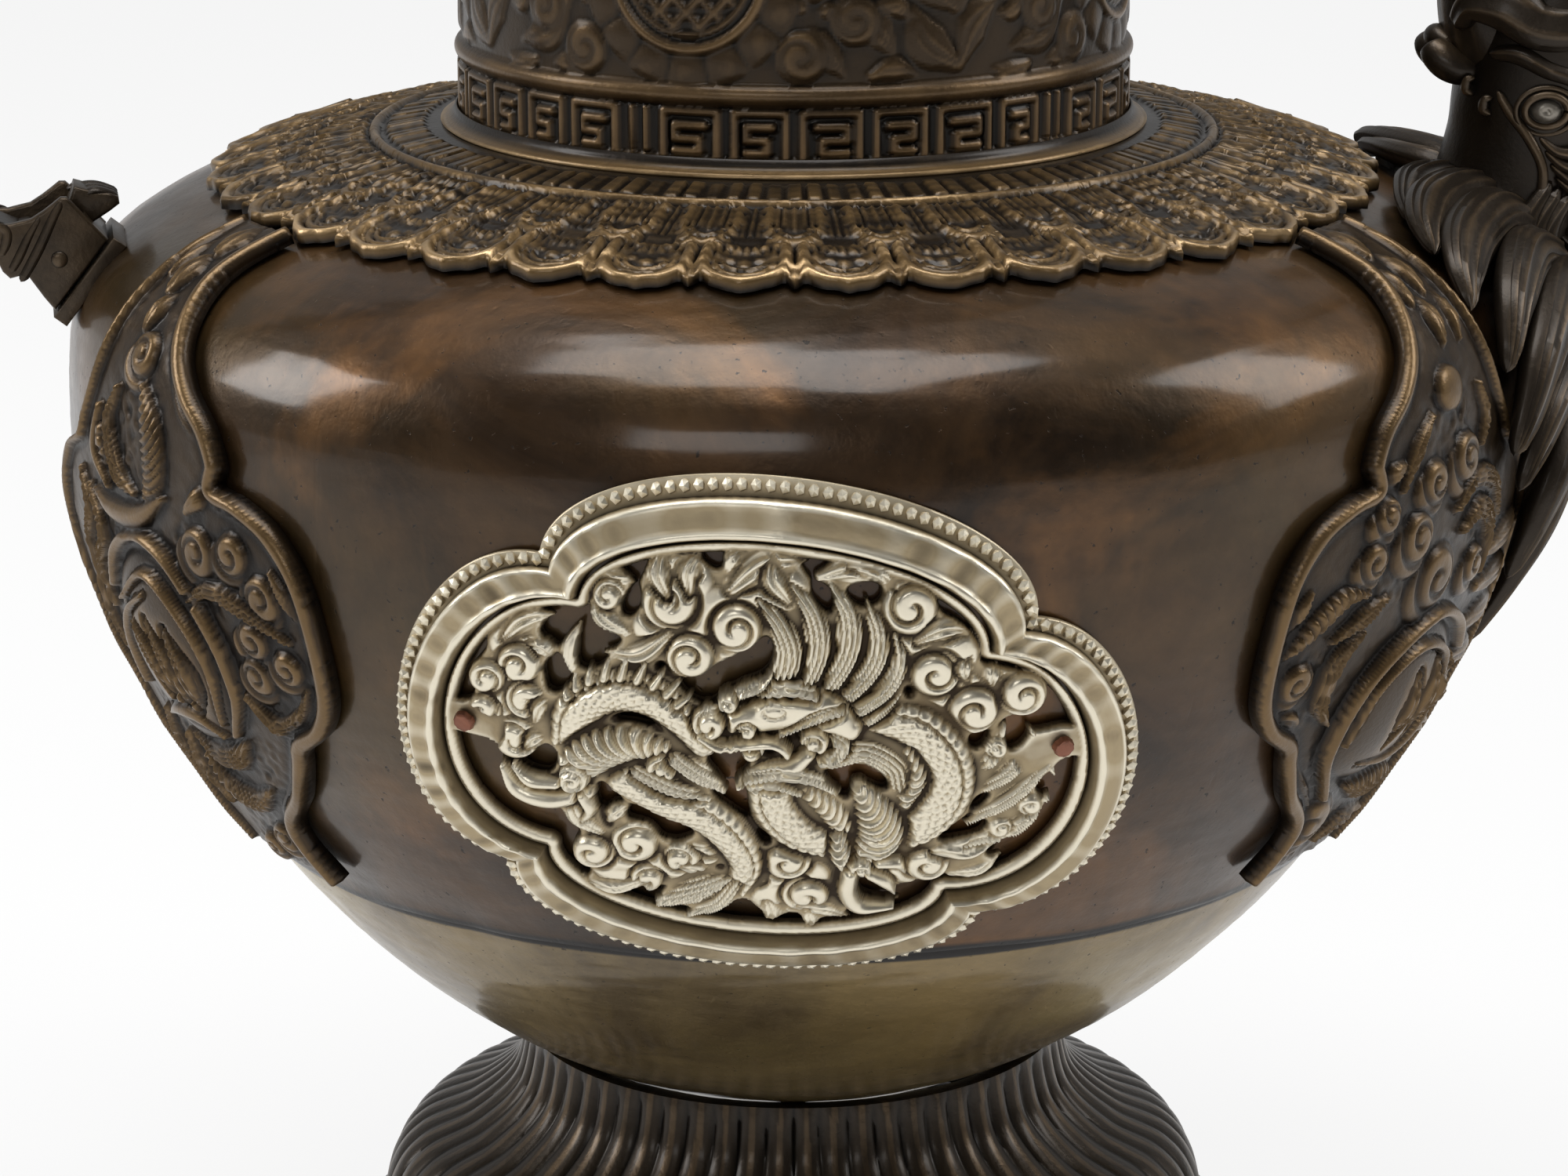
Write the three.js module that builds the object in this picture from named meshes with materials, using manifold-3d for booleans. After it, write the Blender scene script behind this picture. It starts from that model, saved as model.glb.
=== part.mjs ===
// A raised copper teapot: round body on a fluted foot, straight neck, loose lid, cast spout root and
// strap handle, with silver openwork plaques. Millimetres, +Z up, origin on the axis under the foot.
// The front faces -Y, the spout points to +X and the handle to -X.
import * as THREE from 'three';
import { mergeVertices } from 'three/addons/utils/BufferGeometryUtils.js';
import Module from 'manifold-3d';

const wasm = await Module();
wasm.setup();

// Sheet metal and fits
const SHEET = 1.6;
const SEAT_GAP = 0.3;
const SKIN_GAP = 0.4;
const PIN_CLEARANCE = 0.3;

// Body outline
const BODY_RADIUS = 120;
const BOWL_BOTTOM_Z = 36;
const BOWL_FLOOR_PULL = 77;
const BOWL_SIDE_PULL = 32;
const EQUATOR_Z = 156;
const SHOULDER_SIDE_PULL = 26;
const SHOULDER_TOP_PULL = 64;
const SHOULDER_SLOPE = 0.1625;
const SHOULDER_TOP_Z = 202;
const SEAM_Z = 89;
const SEAM_LAP = 5;

// Foot
const FOOT_WAIST_RADIUS = 46;
const FOOT_BASE_RADIUS = 78;
const FOOT_BASE_STEP = 5.5;
const FOOT_BASE_WIDTH = 11.9;
const FOOT_BELL_RADIUS = FOOT_BASE_RADIUS - FOOT_BASE_STEP;
const FOOT_BASE_HEIGHT = 8;
const FLUTES = 64;
const FLUTE_DEPTH = 1.2;

// Neck and mouth
const NECK_RADIUS = 55;
const NECK_TUCK = 3.5;
const NECK_BASE_HEIGHT = 3.2;
const NECK_BASE_WIDTH = 1.7;
const MEANDER_HEIGHT = 8.3;
const NECK_BEAD_HEIGHT = 2.6;
const NECK_BEAD_DEPTH = 1.2;
const FOLIAGE_HEIGHT = 46;
const UPPER_BAND_HEIGHT = 15;
const MOUTH_RIM_HEIGHT = 5;
const MOUTH_RIM_DEPTH = 2.6;

// Shoulder collar, distances run down the shoulder from the neck
const COLLAR_LOBES = 38;
const COLLAR_REACH = 42;
const LOBE_DEPTH = 4.2;
const COLLAR_START = NECK_BASE_WIDTH + 3 * SEAT_GAP;
const COLLAR_RING_AT = 14;
const COLLAR_RING_HALF = 2.2;
const COLLAR_TIER_AT = 29;
const COLLAR_TIER_DEPTH = 3;
const COLLAR_RIDGE = 2.2;
const COLLAR_SHEET = 1.3;
const COLLAR_RELIEF = 1.3;

// Lid
const LID_OVERHANG = 2.2;
const LID_RIM_HEIGHT = 2.4;
const LID_DOME_RISE = 27;
const LID_CROWN_RADIUS = 13;
const SPIGOT_DEPTH = 11;
const SPIGOT_CLEARANCE = 0.8;
const FINIAL_BASE_HEIGHT = 6;
const FINIAL_BASE_RADIUS = 10.5;
const FINIAL_BUD_RADIUS = 8;
const FINIAL_BUD_HEIGHT = 23;

// Silver plaque
const PLAQUE_HALF_WIDTH = 57;
const PLAQUE_HALF_HEIGHT = 44.5;
const PLAQUE_CUSP_X = 36.5;
const PLAQUE_CUSP_Y = 27.5;
const OPENING_HALF_WIDTH = 48.7;
const OPENING_HALF_HEIGHT = 35.2;
const OPENING_CUSP_X = 30;
const OPENING_CUSP_Y = 22.5;
const PLAQUE_CENTRE_Z = 128;
const PLAQUE_OFFSET = -4.5;
const PLAQUE_TILT = -7.5;
const FRAME_RIDGE = 4.8;
const FRAME_LEDGE = 1.1;
const BEAD_RADIUS = 1.1;
const PANEL_SHEET = 1.5;
const BORDER_WIDTH = 2;
const RIVET_RADIUS = 2;
const RIVET_HEAD = 1.3;
const RIVET_INSET = 5;

// Relief side plates, heights run along the body from the plate's middle
const PLATE_AZIMUTH = 57;
const PLATE_CENTRE_Z = 130;
const PLATE_GAP = 0.8;
const PLATE_SHEET = 1.4;
const PLATE_RIM = 3.2;
const PLATE_RIM_WIDTH = 3.4;

// Spout
const REACH = 182;
const SPOUT_ROOT_Z = 182;
const SPOUT_TIP_Z = 300;
const SPOUT_OUTER = 7.4;
const SPOUT_BORE = 5;
const SPOUT_LIP = 1.6;
const SPOUT_LIP_LENGTH = 5;
const HEAD_TOP_Z = 232;
const HEAD_HALF_WIDTH = 13;
const SPOUT_FIT = 0.5;
const SPOUT_HOLE_EASE = 0.2;
const SPOUT_RISE = 14;
const EYE_RADIUS = 2.6;

// Handle
const HANDLE_SWING = 9;
const HANDLE_ROOT_Z = 180.3;
const HANDLE_TILT = 38;
const HANDLE_WIDTH = 16;
const HANDLE_THICKNESS = 6.4;
const HANDLE_TOP_Z = 284;
const SOCKET_LENGTH = 14.4;
const SOCKET_HEIGHT = 8.8;
const SOCKET_WALL = 2.2;
const TENON_LIFT = 3;
const SLEEVE_LENGTH = 13;
const SLEEVE_FLOOR = 1.5;
const FLANGE_THICKNESS = 1.4;
const FLANGE_MARGIN = 1;
const FLANGE_SINK = 8;
const PIN_RADIUS = 1.4;
const PIN_STANDOUT = 0.8;

// Facets
const ROUND = 32;
const SMALL_ROUND = 16;
const TUBE_SIDES = 12;
const PIN_SIDES = 10;
const SPOUT_STEPS = 12;
const STRAP_STEPS = 22;
const LOBE_COLUMNS = 4;
const FOOT_ROWS = 3;
const PLATE_COLUMNS = 13;
const PLATE_ROW = 5;
const FRAME_STEPS = 10;
const SIMPLIFY_TOLERANCE = 0.08;

const DEGREE = Math.PI / 180;

// Materials
function metal(color, roughness, metalness = 0.9) {
  return new THREE.MeshStandardMaterial({ color, roughness, metalness });
}
const copper = () => metal(0x5a3a24, 0.38);
const brassyCopper = () => metal(0x66532b, 0.42);
const darkBronze = () => metal(0x3a2c20, 0.45);
const wornBronze = () => metal(0x6e5334, 0.42);
const silver = () => metal(0xb9ad8c, 0.35);
const redCopper = () => metal(0x8c4a35, 0.45);

const teapot = new THREE.Group();

function addPiece(name, geometry, material) {
  const mesh = new THREE.Mesh(geometry, material);
  mesh.name = name;
  teapot.add(mesh);
  return mesh;
}

// Solids
function signedVolume(geometry) {
  const p = geometry.attributes.position;
  const index = geometry.index.array;
  const [a, b, c] = [new THREE.Vector3(), new THREE.Vector3(), new THREE.Vector3()];
  let volume = 0;
  for (let i = 0; i < index.length; i += 3) {
    a.fromBufferAttribute(p, index[i]);
    b.fromBufferAttribute(p, index[i + 1]);
    c.fromBufferAttribute(p, index[i + 2]);
    volume += a.dot(b.cross(c)) / 6;
  }
  return volume;
}

// Merges shared corners, drops triangles with no area and turns the faces outward.
function closed(source) {
  const bare = source.index ? source : source.clone();
  bare.deleteAttribute('normal');
  bare.deleteAttribute('uv');
  const geometry = mergeVertices(bare, 1e-4);
  const kept = [];
  const index = geometry.index.array;
  for (let i = 0; i < index.length; i += 3) {
    const [a, b, c] = [index[i], index[i + 1], index[i + 2]];
    if (a !== b && b !== c && c !== a) kept.push(a, b, c);
  }
  geometry.setIndex(kept);
  if (signedVolume(geometry) < 0) geometry.setIndex(kept.reverse());
  geometry.computeVertexNormals();
  return geometry;
}

function toManifold(geometry) {
  const solid = closed(geometry);
  return new wasm.Manifold(new wasm.Mesh({
    numProp: 3,
    vertProperties: new Float32Array(solid.attributes.position.array),
    triVerts: new Uint32Array(solid.index.array),
  }));
}

function fromManifold(solid) {
  const mesh = solid.simplify(SIMPLIFY_TOLERANCE).getMesh();
  const geometry = new THREE.BufferGeometry();
  geometry.setAttribute('position', new THREE.BufferAttribute(mesh.vertProperties.slice(), 3));
  geometry.setIndex(Array.from(mesh.triVerts));
  geometry.computeVertexNormals();
  return geometry;
}

function join(geometries) {
  let solid = toManifold(geometries[0]);
  for (const geometry of geometries.slice(1)) solid = solid.add(toManifold(geometry));
  return fromManifold(solid);
}

function cut(geometry, tools) {
  let solid = toManifold(geometry);
  for (const tool of tools) solid = solid.subtract(toManifold(tool));
  return fromManifold(solid);
}

// Rings of points skinned into a closed solid. Neighbouring rings may have different counts.
function skin(rings, loop = false) {
  const positions = [];
  const triangles = [];
  const starts = [];
  for (const ring of rings) {
    starts.push(positions.length / 3);
    for (const point of ring) positions.push(point.x, point.y, point.z);
  }
  const zip = (a, b) => {
    const [n, m] = [rings[a].length, rings[b].length];
    const [pa, pb] = [(k) => starts[a] + (k % n), (k) => starts[b] + (k % m)];
    let i = 0;
    let j = 0;
    while (i < n || j < m) {
      if (j >= m || (i < n && (i + 1) * m <= (j + 1) * n)) {
        triangles.push(pa(i), pa(i + 1), pb(j));
        i += 1;
      } else {
        triangles.push(pa(i), pb(j + 1), pb(j));
        j += 1;
      }
    }
  };
  for (let k = 1; k < rings.length; k += 1) zip(k - 1, k);
  if (loop) zip(rings.length - 1, 0);
  const cap = (k, flip) => {
    const centre = new THREE.Vector3();
    for (const point of rings[k]) centre.addScaledVector(point, 1 / rings[k].length);
    const tip = positions.length / 3;
    positions.push(centre.x, centre.y, centre.z);
    for (let i = 0; i < rings[k].length; i += 1) {
      const [a, b] = [starts[k] + i, starts[k] + ((i + 1) % rings[k].length)];
      triangles.push(...(flip ? [tip, b, a] : [tip, a, b]));
    }
  };
  if (!loop) {
    cap(0, true);
    cap(rings.length - 1, false);
  }
  const geometry = new THREE.BufferGeometry();
  geometry.setAttribute('position', new THREE.Float32BufferAttribute(positions, 3));
  geometry.setIndex(triangles);
  return closed(geometry);
}

// A profile of [radius, z] pairs turned round the Z axis.
function turned(profile, segments = ROUND) {
  const points = profile.map(([radius, z]) => new THREE.Vector2(radius, z));
  const geometry = new THREE.LatheGeometry(points, segments);
  geometry.rotateX(Math.PI / 2);
  return closed(geometry);
}

// A profile of [radius, z] pairs that closes on itself: a ring.
const turnedRing = (profile, segments = ROUND) => turned([...profile, profile[0]], segments);

// The body's outer outline
const bodyOutline = new THREE.CurvePath();
bodyOutline.add(new THREE.CubicBezierCurve(
  new THREE.Vector2(0, BOWL_BOTTOM_Z),
  new THREE.Vector2(BOWL_FLOOR_PULL, BOWL_BOTTOM_Z),
  new THREE.Vector2(BODY_RADIUS, EQUATOR_Z - BOWL_SIDE_PULL),
  new THREE.Vector2(BODY_RADIUS, EQUATOR_Z),
));
bodyOutline.add(new THREE.CubicBezierCurve(
  new THREE.Vector2(BODY_RADIUS, EQUATOR_Z),
  new THREE.Vector2(BODY_RADIUS, EQUATOR_Z + SHOULDER_SIDE_PULL),
  new THREE.Vector2(
    NECK_RADIUS + SEAT_GAP + SHOULDER_TOP_PULL,
    SHOULDER_TOP_Z - SHOULDER_TOP_PULL * SHOULDER_SLOPE,
  ),
  new THREE.Vector2(NECK_RADIUS + SEAT_GAP, SHOULDER_TOP_Z),
));
const OUTLINE_STEPS = 1400;
const outlinePoints = bodyOutline.getSpacedPoints(OUTLINE_STEPS);
const OUTLINE_LENGTH = bodyOutline.getLength();

function outlineAt(distance) {
  const place = THREE.MathUtils.clamp(distance / OUTLINE_LENGTH, 0, 1) * OUTLINE_STEPS;
  const step = Math.min(Math.floor(place), OUTLINE_STEPS - 1);
  const [from, to] = [outlinePoints[step], outlinePoints[step + 1]];
  const point = from.clone().lerp(to, place - step);
  const along = to.clone().sub(from).normalize();
  return { point, normal: new THREE.Vector2(along.y, -along.x) };
}

function distanceAtHeight(z) {
  const step = outlinePoints.findIndex((point) => point.y >= z);
  const [from, to] = [outlinePoints[step - 1], outlinePoints[step]];
  return (step - 1 + (z - from.y) / (to.y - from.y)) * OUTLINE_LENGTH / OUTLINE_STEPS;
}

// [radius, z] on the outline, moved out by lift
function outlinePair(distance, lift = 0) {
  const { point, normal } = outlineAt(distance);
  return [Math.max(point.x + normal.x * lift, 0), point.y + normal.y * lift];
}

// A point on the body: azimuth in radians from the front, distance up the outline, height over it.
function onBody(azimuth, distance, lift = 0) {
  const [radius, z] = outlinePair(distance, lift);
  return new THREE.Vector3(radius * Math.sin(azimuth), -radius * Math.cos(azimuth), z);
}

function spaced(from, to, count) {
  return Array.from({ length: count }, (_, i) => from + (to - from) * i / (count - 1));
}

const SEAM_AT = distanceAtHeight(SEAM_Z);

// [radius, z] stations of the two raised sheets' outer faces
const stations = (from, to, count, lift) => (
  spaced(from, to, count).map((distance) => outlinePair(distance, lift)));
const bowlStations = (lift) => stations(0, SEAM_AT - SEAT_GAP, 7, lift);
const shellStations = (lift) => stations(SEAM_AT, OUTLINE_LENGTH, 9, lift);

// Everything that seats on the body is cut by this solid, the body swelled by a gap.
function bodyCore(gap) {
  const profile = [...bowlStations(gap).slice(1), ...shellStations(gap)];
  return turned([[0, BOWL_BOTTOM_Z - gap], ...profile, [0, SHOULDER_TOP_Z + gap]]);
}

function lowerBowl() {
  const lap = SHEET + SEAT_GAP;
  const step = [
    outlinePair(SEAM_AT - SEAT_GAP, -lap),
    outlinePair(SEAM_AT + SEAM_LAP, -lap),
    outlinePair(SEAM_AT + SEAM_LAP, -lap - SHEET),
    outlinePair(SEAM_AT - SEAM_LAP, -lap - SHEET),
  ];
  const inner = spaced(SEAM_AT - 2 * SEAM_LAP, 0, 5).map((distance) => outlinePair(distance, -SHEET));
  return turned([...bowlStations(0), ...step, ...inner]);
}

function upperShell(holeTools) {
  const lapTop = SEAM_AT + SEAM_LAP + SEAT_GAP;
  const inner = [...stations(OUTLINE_LENGTH, lapTop, 7, -SHEET), outlinePair(SEAM_AT, -SHEET)];
  inner[0][0] = NECK_RADIUS + SEAT_GAP;
  return cut(turnedRing([...shellStations(0), ...inner]), holeTools);
}

// Foot: a bell of flutes round the waist, and the plain moulding under it
function footOutline() {
  const bowlFoot = outlinePoints.find((point) => point.x >= FOOT_WAIST_RADIUS);
  const top = bowlFoot.y - SEAT_GAP;
  const flare = FOOT_BELL_RADIUS - FOOT_WAIST_RADIUS;
  const drop = top - FOOT_BASE_HEIGHT;
  const bell = new THREE.SplineCurve([
    new THREE.Vector2(FOOT_WAIST_RADIUS, top - 1),
    new THREE.Vector2(FOOT_WAIST_RADIUS + flare * 0.1, top - drop * 0.26),
    new THREE.Vector2(FOOT_WAIST_RADIUS + flare * 0.38, top - drop * 0.43),
    new THREE.Vector2(FOOT_WAIST_RADIUS + flare * 0.72, top - drop * 0.54),
    new THREE.Vector2(FOOT_WAIST_RADIUS + flare * 0.9, top - drop * 0.7),
    new THREE.Vector2(FOOT_BELL_RADIUS, FOOT_BASE_HEIGHT + SEAT_GAP),
  ]);
  return bell.getSpacedPoints(FOOT_ROWS);
}

function footSkirt() {
  const outline = footOutline();
  const circle = (radius, z, count, depth) => Array.from({ length: count }, (_, i) => {
    const angle = (i / count) * 2 * Math.PI;
    const r = radius - (i % 2 ? depth : 0);
    return new THREE.Vector3(r * Math.sin(angle), -r * Math.cos(angle), z);
  });
  const outer = outline.map((point) => circle(point.x, point.y, FLUTES * 2, FLUTE_DEPTH));
  const wall = SHEET + FLUTE_DEPTH;
  const inner = outline.map((point) => circle(point.x - wall, point.y, ROUND, 0)).reverse();
  return skin([...outer, ...inner], true);
}

function footBaseRing() {
  const inside = FOOT_BASE_RADIUS - FOOT_BASE_WIDTH;
  return turnedRing([
    [inside, 0],
    [FOOT_BASE_RADIUS, 0],
    [FOOT_BASE_RADIUS + 0.8, FOOT_BASE_HEIGHT * 0.35],
    [FOOT_BASE_RADIUS - 0.6, FOOT_BASE_HEIGHT * 0.7],
    [FOOT_BELL_RADIUS + 1.5, FOOT_BASE_HEIGHT],
    [inside, FOOT_BASE_HEIGHT],
  ]);
}

// Neck levels, from the shoulder upward
const MEANDER_Z = SHOULDER_TOP_Z + SEAT_GAP + NECK_BASE_HEIGHT;
const BEAD_Z = MEANDER_Z + MEANDER_HEIGHT;
const FOLIAGE_Z = BEAD_Z + NECK_BEAD_HEIGHT;
const UPPER_BAND_Z = FOLIAGE_Z + FOLIAGE_HEIGHT;
const NECK_TOP_Z = UPPER_BAND_Z + UPPER_BAND_HEIGHT;
const MOUTH_Z = NECK_TOP_Z + SEAT_GAP;

function neckShell() {
  const bore = NECK_RADIUS - SHEET;
  const bead = NECK_RADIUS + NECK_BEAD_DEPTH;
  return turnedRing([
    [bore, SHOULDER_TOP_Z - NECK_TUCK],
    [NECK_RADIUS, SHOULDER_TOP_Z - NECK_TUCK],
    [NECK_RADIUS, BEAD_Z],
    [bead, BEAD_Z + NECK_BEAD_HEIGHT * 0.3],
    [bead, BEAD_Z + NECK_BEAD_HEIGHT * 0.7],
    [NECK_RADIUS, FOLIAGE_Z],
    [NECK_RADIUS - 0.2, UPPER_BAND_Z - NECK_BEAD_HEIGHT],
    [bead, UPPER_BAND_Z - NECK_BEAD_HEIGHT / 2],
    [NECK_RADIUS, UPPER_BAND_Z],
    [NECK_RADIUS, NECK_TOP_Z],
    [bore, NECK_TOP_Z],
  ]);
}

function neckBaseRing() {
  const inside = NECK_RADIUS + SEAT_GAP;
  const foot = SHOULDER_TOP_Z + SEAT_GAP;
  return turnedRing([
    [inside, foot],
    [inside + NECK_BASE_WIDTH, foot],
    [inside + NECK_BASE_WIDTH + 0.2, foot + NECK_BASE_HEIGHT * 0.4],
    [inside + NECK_BASE_WIDTH * 0.4, foot + NECK_BASE_HEIGHT],
    [inside, foot + NECK_BASE_HEIGHT],
  ]);
}

function mouthRim() {
  const bore = NECK_RADIUS - SHEET;
  const out = NECK_RADIUS + MOUTH_RIM_DEPTH;
  return turnedRing([
    [bore, MOUTH_Z],
    [NECK_RADIUS, MOUTH_Z],
    [out, MOUTH_Z + MOUTH_RIM_HEIGHT * 0.35],
    [out, MOUTH_Z + MOUTH_RIM_HEIGHT * 0.75],
    [out - 1, MOUTH_Z + MOUTH_RIM_HEIGHT],
    [bore, MOUTH_Z + MOUTH_RIM_HEIGHT],
  ]);
}

// Shoulder collar: double-ridged lobes at the hem, a tier of tongues between them, a raised ring and a
// plain inner edge. Each upper ring is [points, distance, lobe share, tongue share, lift, lift between].
function shoulderCollar() {
  const between = (turn) => Math.abs(((turn * COLLAR_LOBES) % 1) - 0.5) * 2;
  const ring = (count, reach, lobe, tongue, lift, liftBetween = lift) => (
    Array.from({ length: count }, (_, i) => {
      const turn = i / count;
      const share = between(turn);
      const hem = lobe * LOBE_DEPTH * (1 - Math.sqrt(1 - share ** 2));
      const swing = tongue * COLLAR_TIER_DEPTH * (share - 0.5);
      const raised = lift + (liftBetween - lift) * share;
      return onBody(turn * 2 * Math.PI, OUTLINE_LENGTH - reach + hem - swing, raised);
    }));
  const hemCount = COLLAR_LOBES * LOBE_COLUMNS;
  const tierCount = COLLAR_LOBES * 2;
  const sheet = SKIN_GAP + COLLAR_SHEET;
  const crest = (share) => sheet + COLLAR_RELIEF * share;
  const inLobe = (ridges) => COLLAR_REACH - ridges * COLLAR_RIDGE;
  return skin([
    ring(hemCount, COLLAR_REACH, 1, 0, SKIN_GAP),
    ring(hemCount, inLobe(0.2), 1, 0, crest(0.8)),
    ring(hemCount, inLobe(1), 1, 0, crest(0.1)),
    ring(hemCount, inLobe(2), 0.9, 0, crest(0.7)),
    ring(tierCount, inLobe(3), 0.7, 0, crest(0), crest(0.5)),
    ring(tierCount, inLobe(4.2), 0.3, 0, crest(0.8), crest(0.2)),
    ring(tierCount, COLLAR_TIER_AT + COLLAR_RIDGE, 0, 1, crest(0.1), crest(0.2)),
    ring(tierCount, COLLAR_TIER_AT, 0, 1, crest(0.6), crest(1)),
    ring(tierCount, COLLAR_TIER_AT - 1.5 * COLLAR_RIDGE, 0, 1, crest(0.8), crest(0.1)),
    ring(tierCount, COLLAR_TIER_AT - 3 * COLLAR_RIDGE, 0, 1, crest(0.4), crest(0.8)),
    ring(tierCount, COLLAR_RING_AT + 2 * COLLAR_RING_HALF, 0, 0, crest(0.2)),
    ring(ROUND, COLLAR_RING_AT + COLLAR_RING_HALF, 0, 0, sheet),
    ring(ROUND, COLLAR_RING_AT, 0, 0, crest(1)),
    ring(ROUND, COLLAR_RING_AT - COLLAR_RING_HALF, 0, 0, sheet),
    ring(ROUND, COLLAR_START, 0, 0, sheet),
    ring(ROUND, COLLAR_START, 0, 0, SKIN_GAP),
    ring(ROUND, COLLAR_TIER_AT, 0, 0, SKIN_GAP),
    ring(tierCount, inLobe(3), 0, 0, SKIN_GAP),
  ], true);
}

// The room that the collar and a gap round it take up
function collarRoom() {
  const room = SKIN_GAP + COLLAR_SHEET + COLLAR_RELIEF + 2 * SKIN_GAP;
  const far = COLLAR_REACH + 2 * SKIN_GAP;
  return turnedRing([
    outlinePair(OUTLINE_LENGTH, 0),
    outlinePair(OUTLINE_LENGTH - far, -SHEET),
    outlinePair(OUTLINE_LENGTH - far, room),
    outlinePair(OUTLINE_LENGTH, room),
  ], ROUND * 2);
}

// Lid
const LID_Z = MOUTH_Z + MOUTH_RIM_HEIGHT + SEAT_GAP;
const LID_RADIUS = NECK_RADIUS + MOUTH_RIM_DEPTH + LID_OVERHANG;
const DOME_Z = LID_Z + LID_RIM_HEIGHT + SEAT_GAP;
const DOME_TOP_Z = DOME_Z + LID_DOME_RISE;
const SPIGOT_RADIUS = NECK_RADIUS - SHEET - SPIGOT_CLEARANCE;

function lidRimRing() {
  const inside = SPIGOT_RADIUS + SEAT_GAP;
  return turnedRing([
    [inside, LID_Z],
    [LID_RADIUS, LID_Z],
    [LID_RADIUS + 0.6, LID_Z + LID_RIM_HEIGHT / 2],
    [LID_RADIUS, LID_Z + LID_RIM_HEIGHT],
    [inside, LID_Z + LID_RIM_HEIGHT],
  ]);
}

function lidSpigot() {
  const bore = SPIGOT_RADIUS - SHEET;
  return turnedRing([
    [bore, LID_Z - SPIGOT_DEPTH],
    [SPIGOT_RADIUS, LID_Z - SPIGOT_DEPTH],
    [SPIGOT_RADIUS, DOME_Z - SEAT_GAP],
    [bore, DOME_Z - SEAT_GAP],
  ]);
}

function lidDome() {
  const edge = LID_RADIUS - 2;
  const dome = new THREE.CubicBezierCurve(
    new THREE.Vector2(edge, DOME_Z),
    new THREE.Vector2(edge - 3, DOME_Z + LID_DOME_RISE * 0.75),
    new THREE.Vector2(edge * 0.55, DOME_TOP_Z - 4),
    new THREE.Vector2(LID_CROWN_RADIUS, DOME_TOP_Z),
  );
  const outer = dome.getPoints(6).map((point) => [point.x, point.y]);
  const inner = dome.getPoints(3).reverse().map((point) => [point.x - SHEET, point.y - SHEET]);
  inner[inner.length - 1] = [edge - 2 * SHEET, DOME_Z];
  return turned([...outer, [0, DOME_TOP_Z], [0, DOME_TOP_Z - SHEET], ...inner, [edge, DOME_Z]]);
}

function finialBase() {
  const foot = DOME_TOP_Z + SEAT_GAP;
  return turned([
    [0, foot],
    [FINIAL_BASE_RADIUS, foot],
    [FINIAL_BASE_RADIUS + 0.8, foot + FINIAL_BASE_HEIGHT * 0.25],
    [FINIAL_BASE_RADIUS - 4, foot + FINIAL_BASE_HEIGHT * 0.6],
    [FINIAL_BASE_RADIUS - 3, foot + FINIAL_BASE_HEIGHT],
    [0, foot + FINIAL_BASE_HEIGHT],
  ], SMALL_ROUND);
}

function finialBud() {
  const foot = DOME_TOP_Z + FINIAL_BASE_HEIGHT + 2 * SEAT_GAP;
  const bud = new THREE.SplineCurve([
    new THREE.Vector2(FINIAL_BUD_RADIUS * 0.55, foot),
    new THREE.Vector2(FINIAL_BUD_RADIUS, foot + FINIAL_BUD_HEIGHT * 0.32),
    new THREE.Vector2(FINIAL_BUD_RADIUS * 0.62, foot + FINIAL_BUD_HEIGHT * 0.68),
    new THREE.Vector2(FINIAL_BUD_RADIUS * 0.15, foot + FINIAL_BUD_HEIGHT * 0.95),
  ]);
  const side = bud.getPoints(7).map((point) => [point.x, point.y]);
  return turned([[0, foot], ...side, [0, foot + FINIAL_BUD_HEIGHT]], SMALL_ROUND);
}

// Plaque: flat drawing coordinates x, y in millimetres, wrapped on the body round its centre
const PLAQUE_AT = distanceAtHeight(PLAQUE_CENTRE_Z);

function onPlaque(x, y, lift, back) {
  const tilt = PLAQUE_TILT * DEGREE;
  const across = x * Math.cos(tilt) - y * Math.sin(tilt) + PLAQUE_OFFSET;
  const distance = PLAQUE_AT + x * Math.sin(tilt) + y * Math.cos(tilt);
  const turn = across / outlineAt(distance).point.x;
  return onBody(turn + (back ? Math.PI : 0), distance, lift);
}

// Four half ellipses that meet at the cusps, from the right cusp over the top and round.
function lobedOutline(halfWidth, halfHeight, cuspX, cuspY, stepsPerLobe) {
  const points = [];
  const lobes = [
    [0, cuspY, cuspX, halfHeight - cuspY, 0],
    [-cuspX, 0, halfWidth - cuspX, cuspY, 90],
    [0, -cuspY, cuspX, halfHeight - cuspY, 180],
    [cuspX, 0, halfWidth - cuspX, cuspY, 270],
  ];
  for (const [x, y, a, b, start] of lobes) {
    for (let i = 0; i < stepsPerLobe; i += 1) {
      const angle = (start + (i / stepsPerLobe) * 180) * DEGREE;
      points.push(new THREE.Vector2(x + a * Math.cos(angle), y + b * Math.sin(angle)));
    }
  }
  return points;
}

const frameOuter = lobedOutline(
  PLAQUE_HALF_WIDTH, PLAQUE_HALF_HEIGHT, PLAQUE_CUSP_X, PLAQUE_CUSP_Y, FRAME_STEPS);
const frameInner = lobedOutline(
  OPENING_HALF_WIDTH, OPENING_HALF_HEIGHT, OPENING_CUSP_X, OPENING_CUSP_Y, FRAME_STEPS);

// A ring that follows the frame: share 0 is the outer edge, 1 the opening's edge.
function frameRing(share, lift, back) {
  return frameOuter.map((point, i) => {
    const place = point.clone().lerp(frameInner[i], share);
    return onPlaque(place.x, place.y, lift, back);
  });
}

function plaqueFrame(back) {
  const ledge = SKIN_GAP + FRAME_LEDGE;
  const ridge = SKIN_GAP + FRAME_RIDGE;
  return skin([
    frameRing(0, SKIN_GAP, back),
    frameRing(0, ledge, back),
    frameRing(0.32, ledge, back),
    frameRing(0.42, ledge + (ridge - ledge) * 0.5, back),
    frameRing(0.92, ridge, back),
    frameRing(1, ridge - 0.8, back),
    frameRing(1, SKIN_GAP, back),
  ], true);
}

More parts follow.
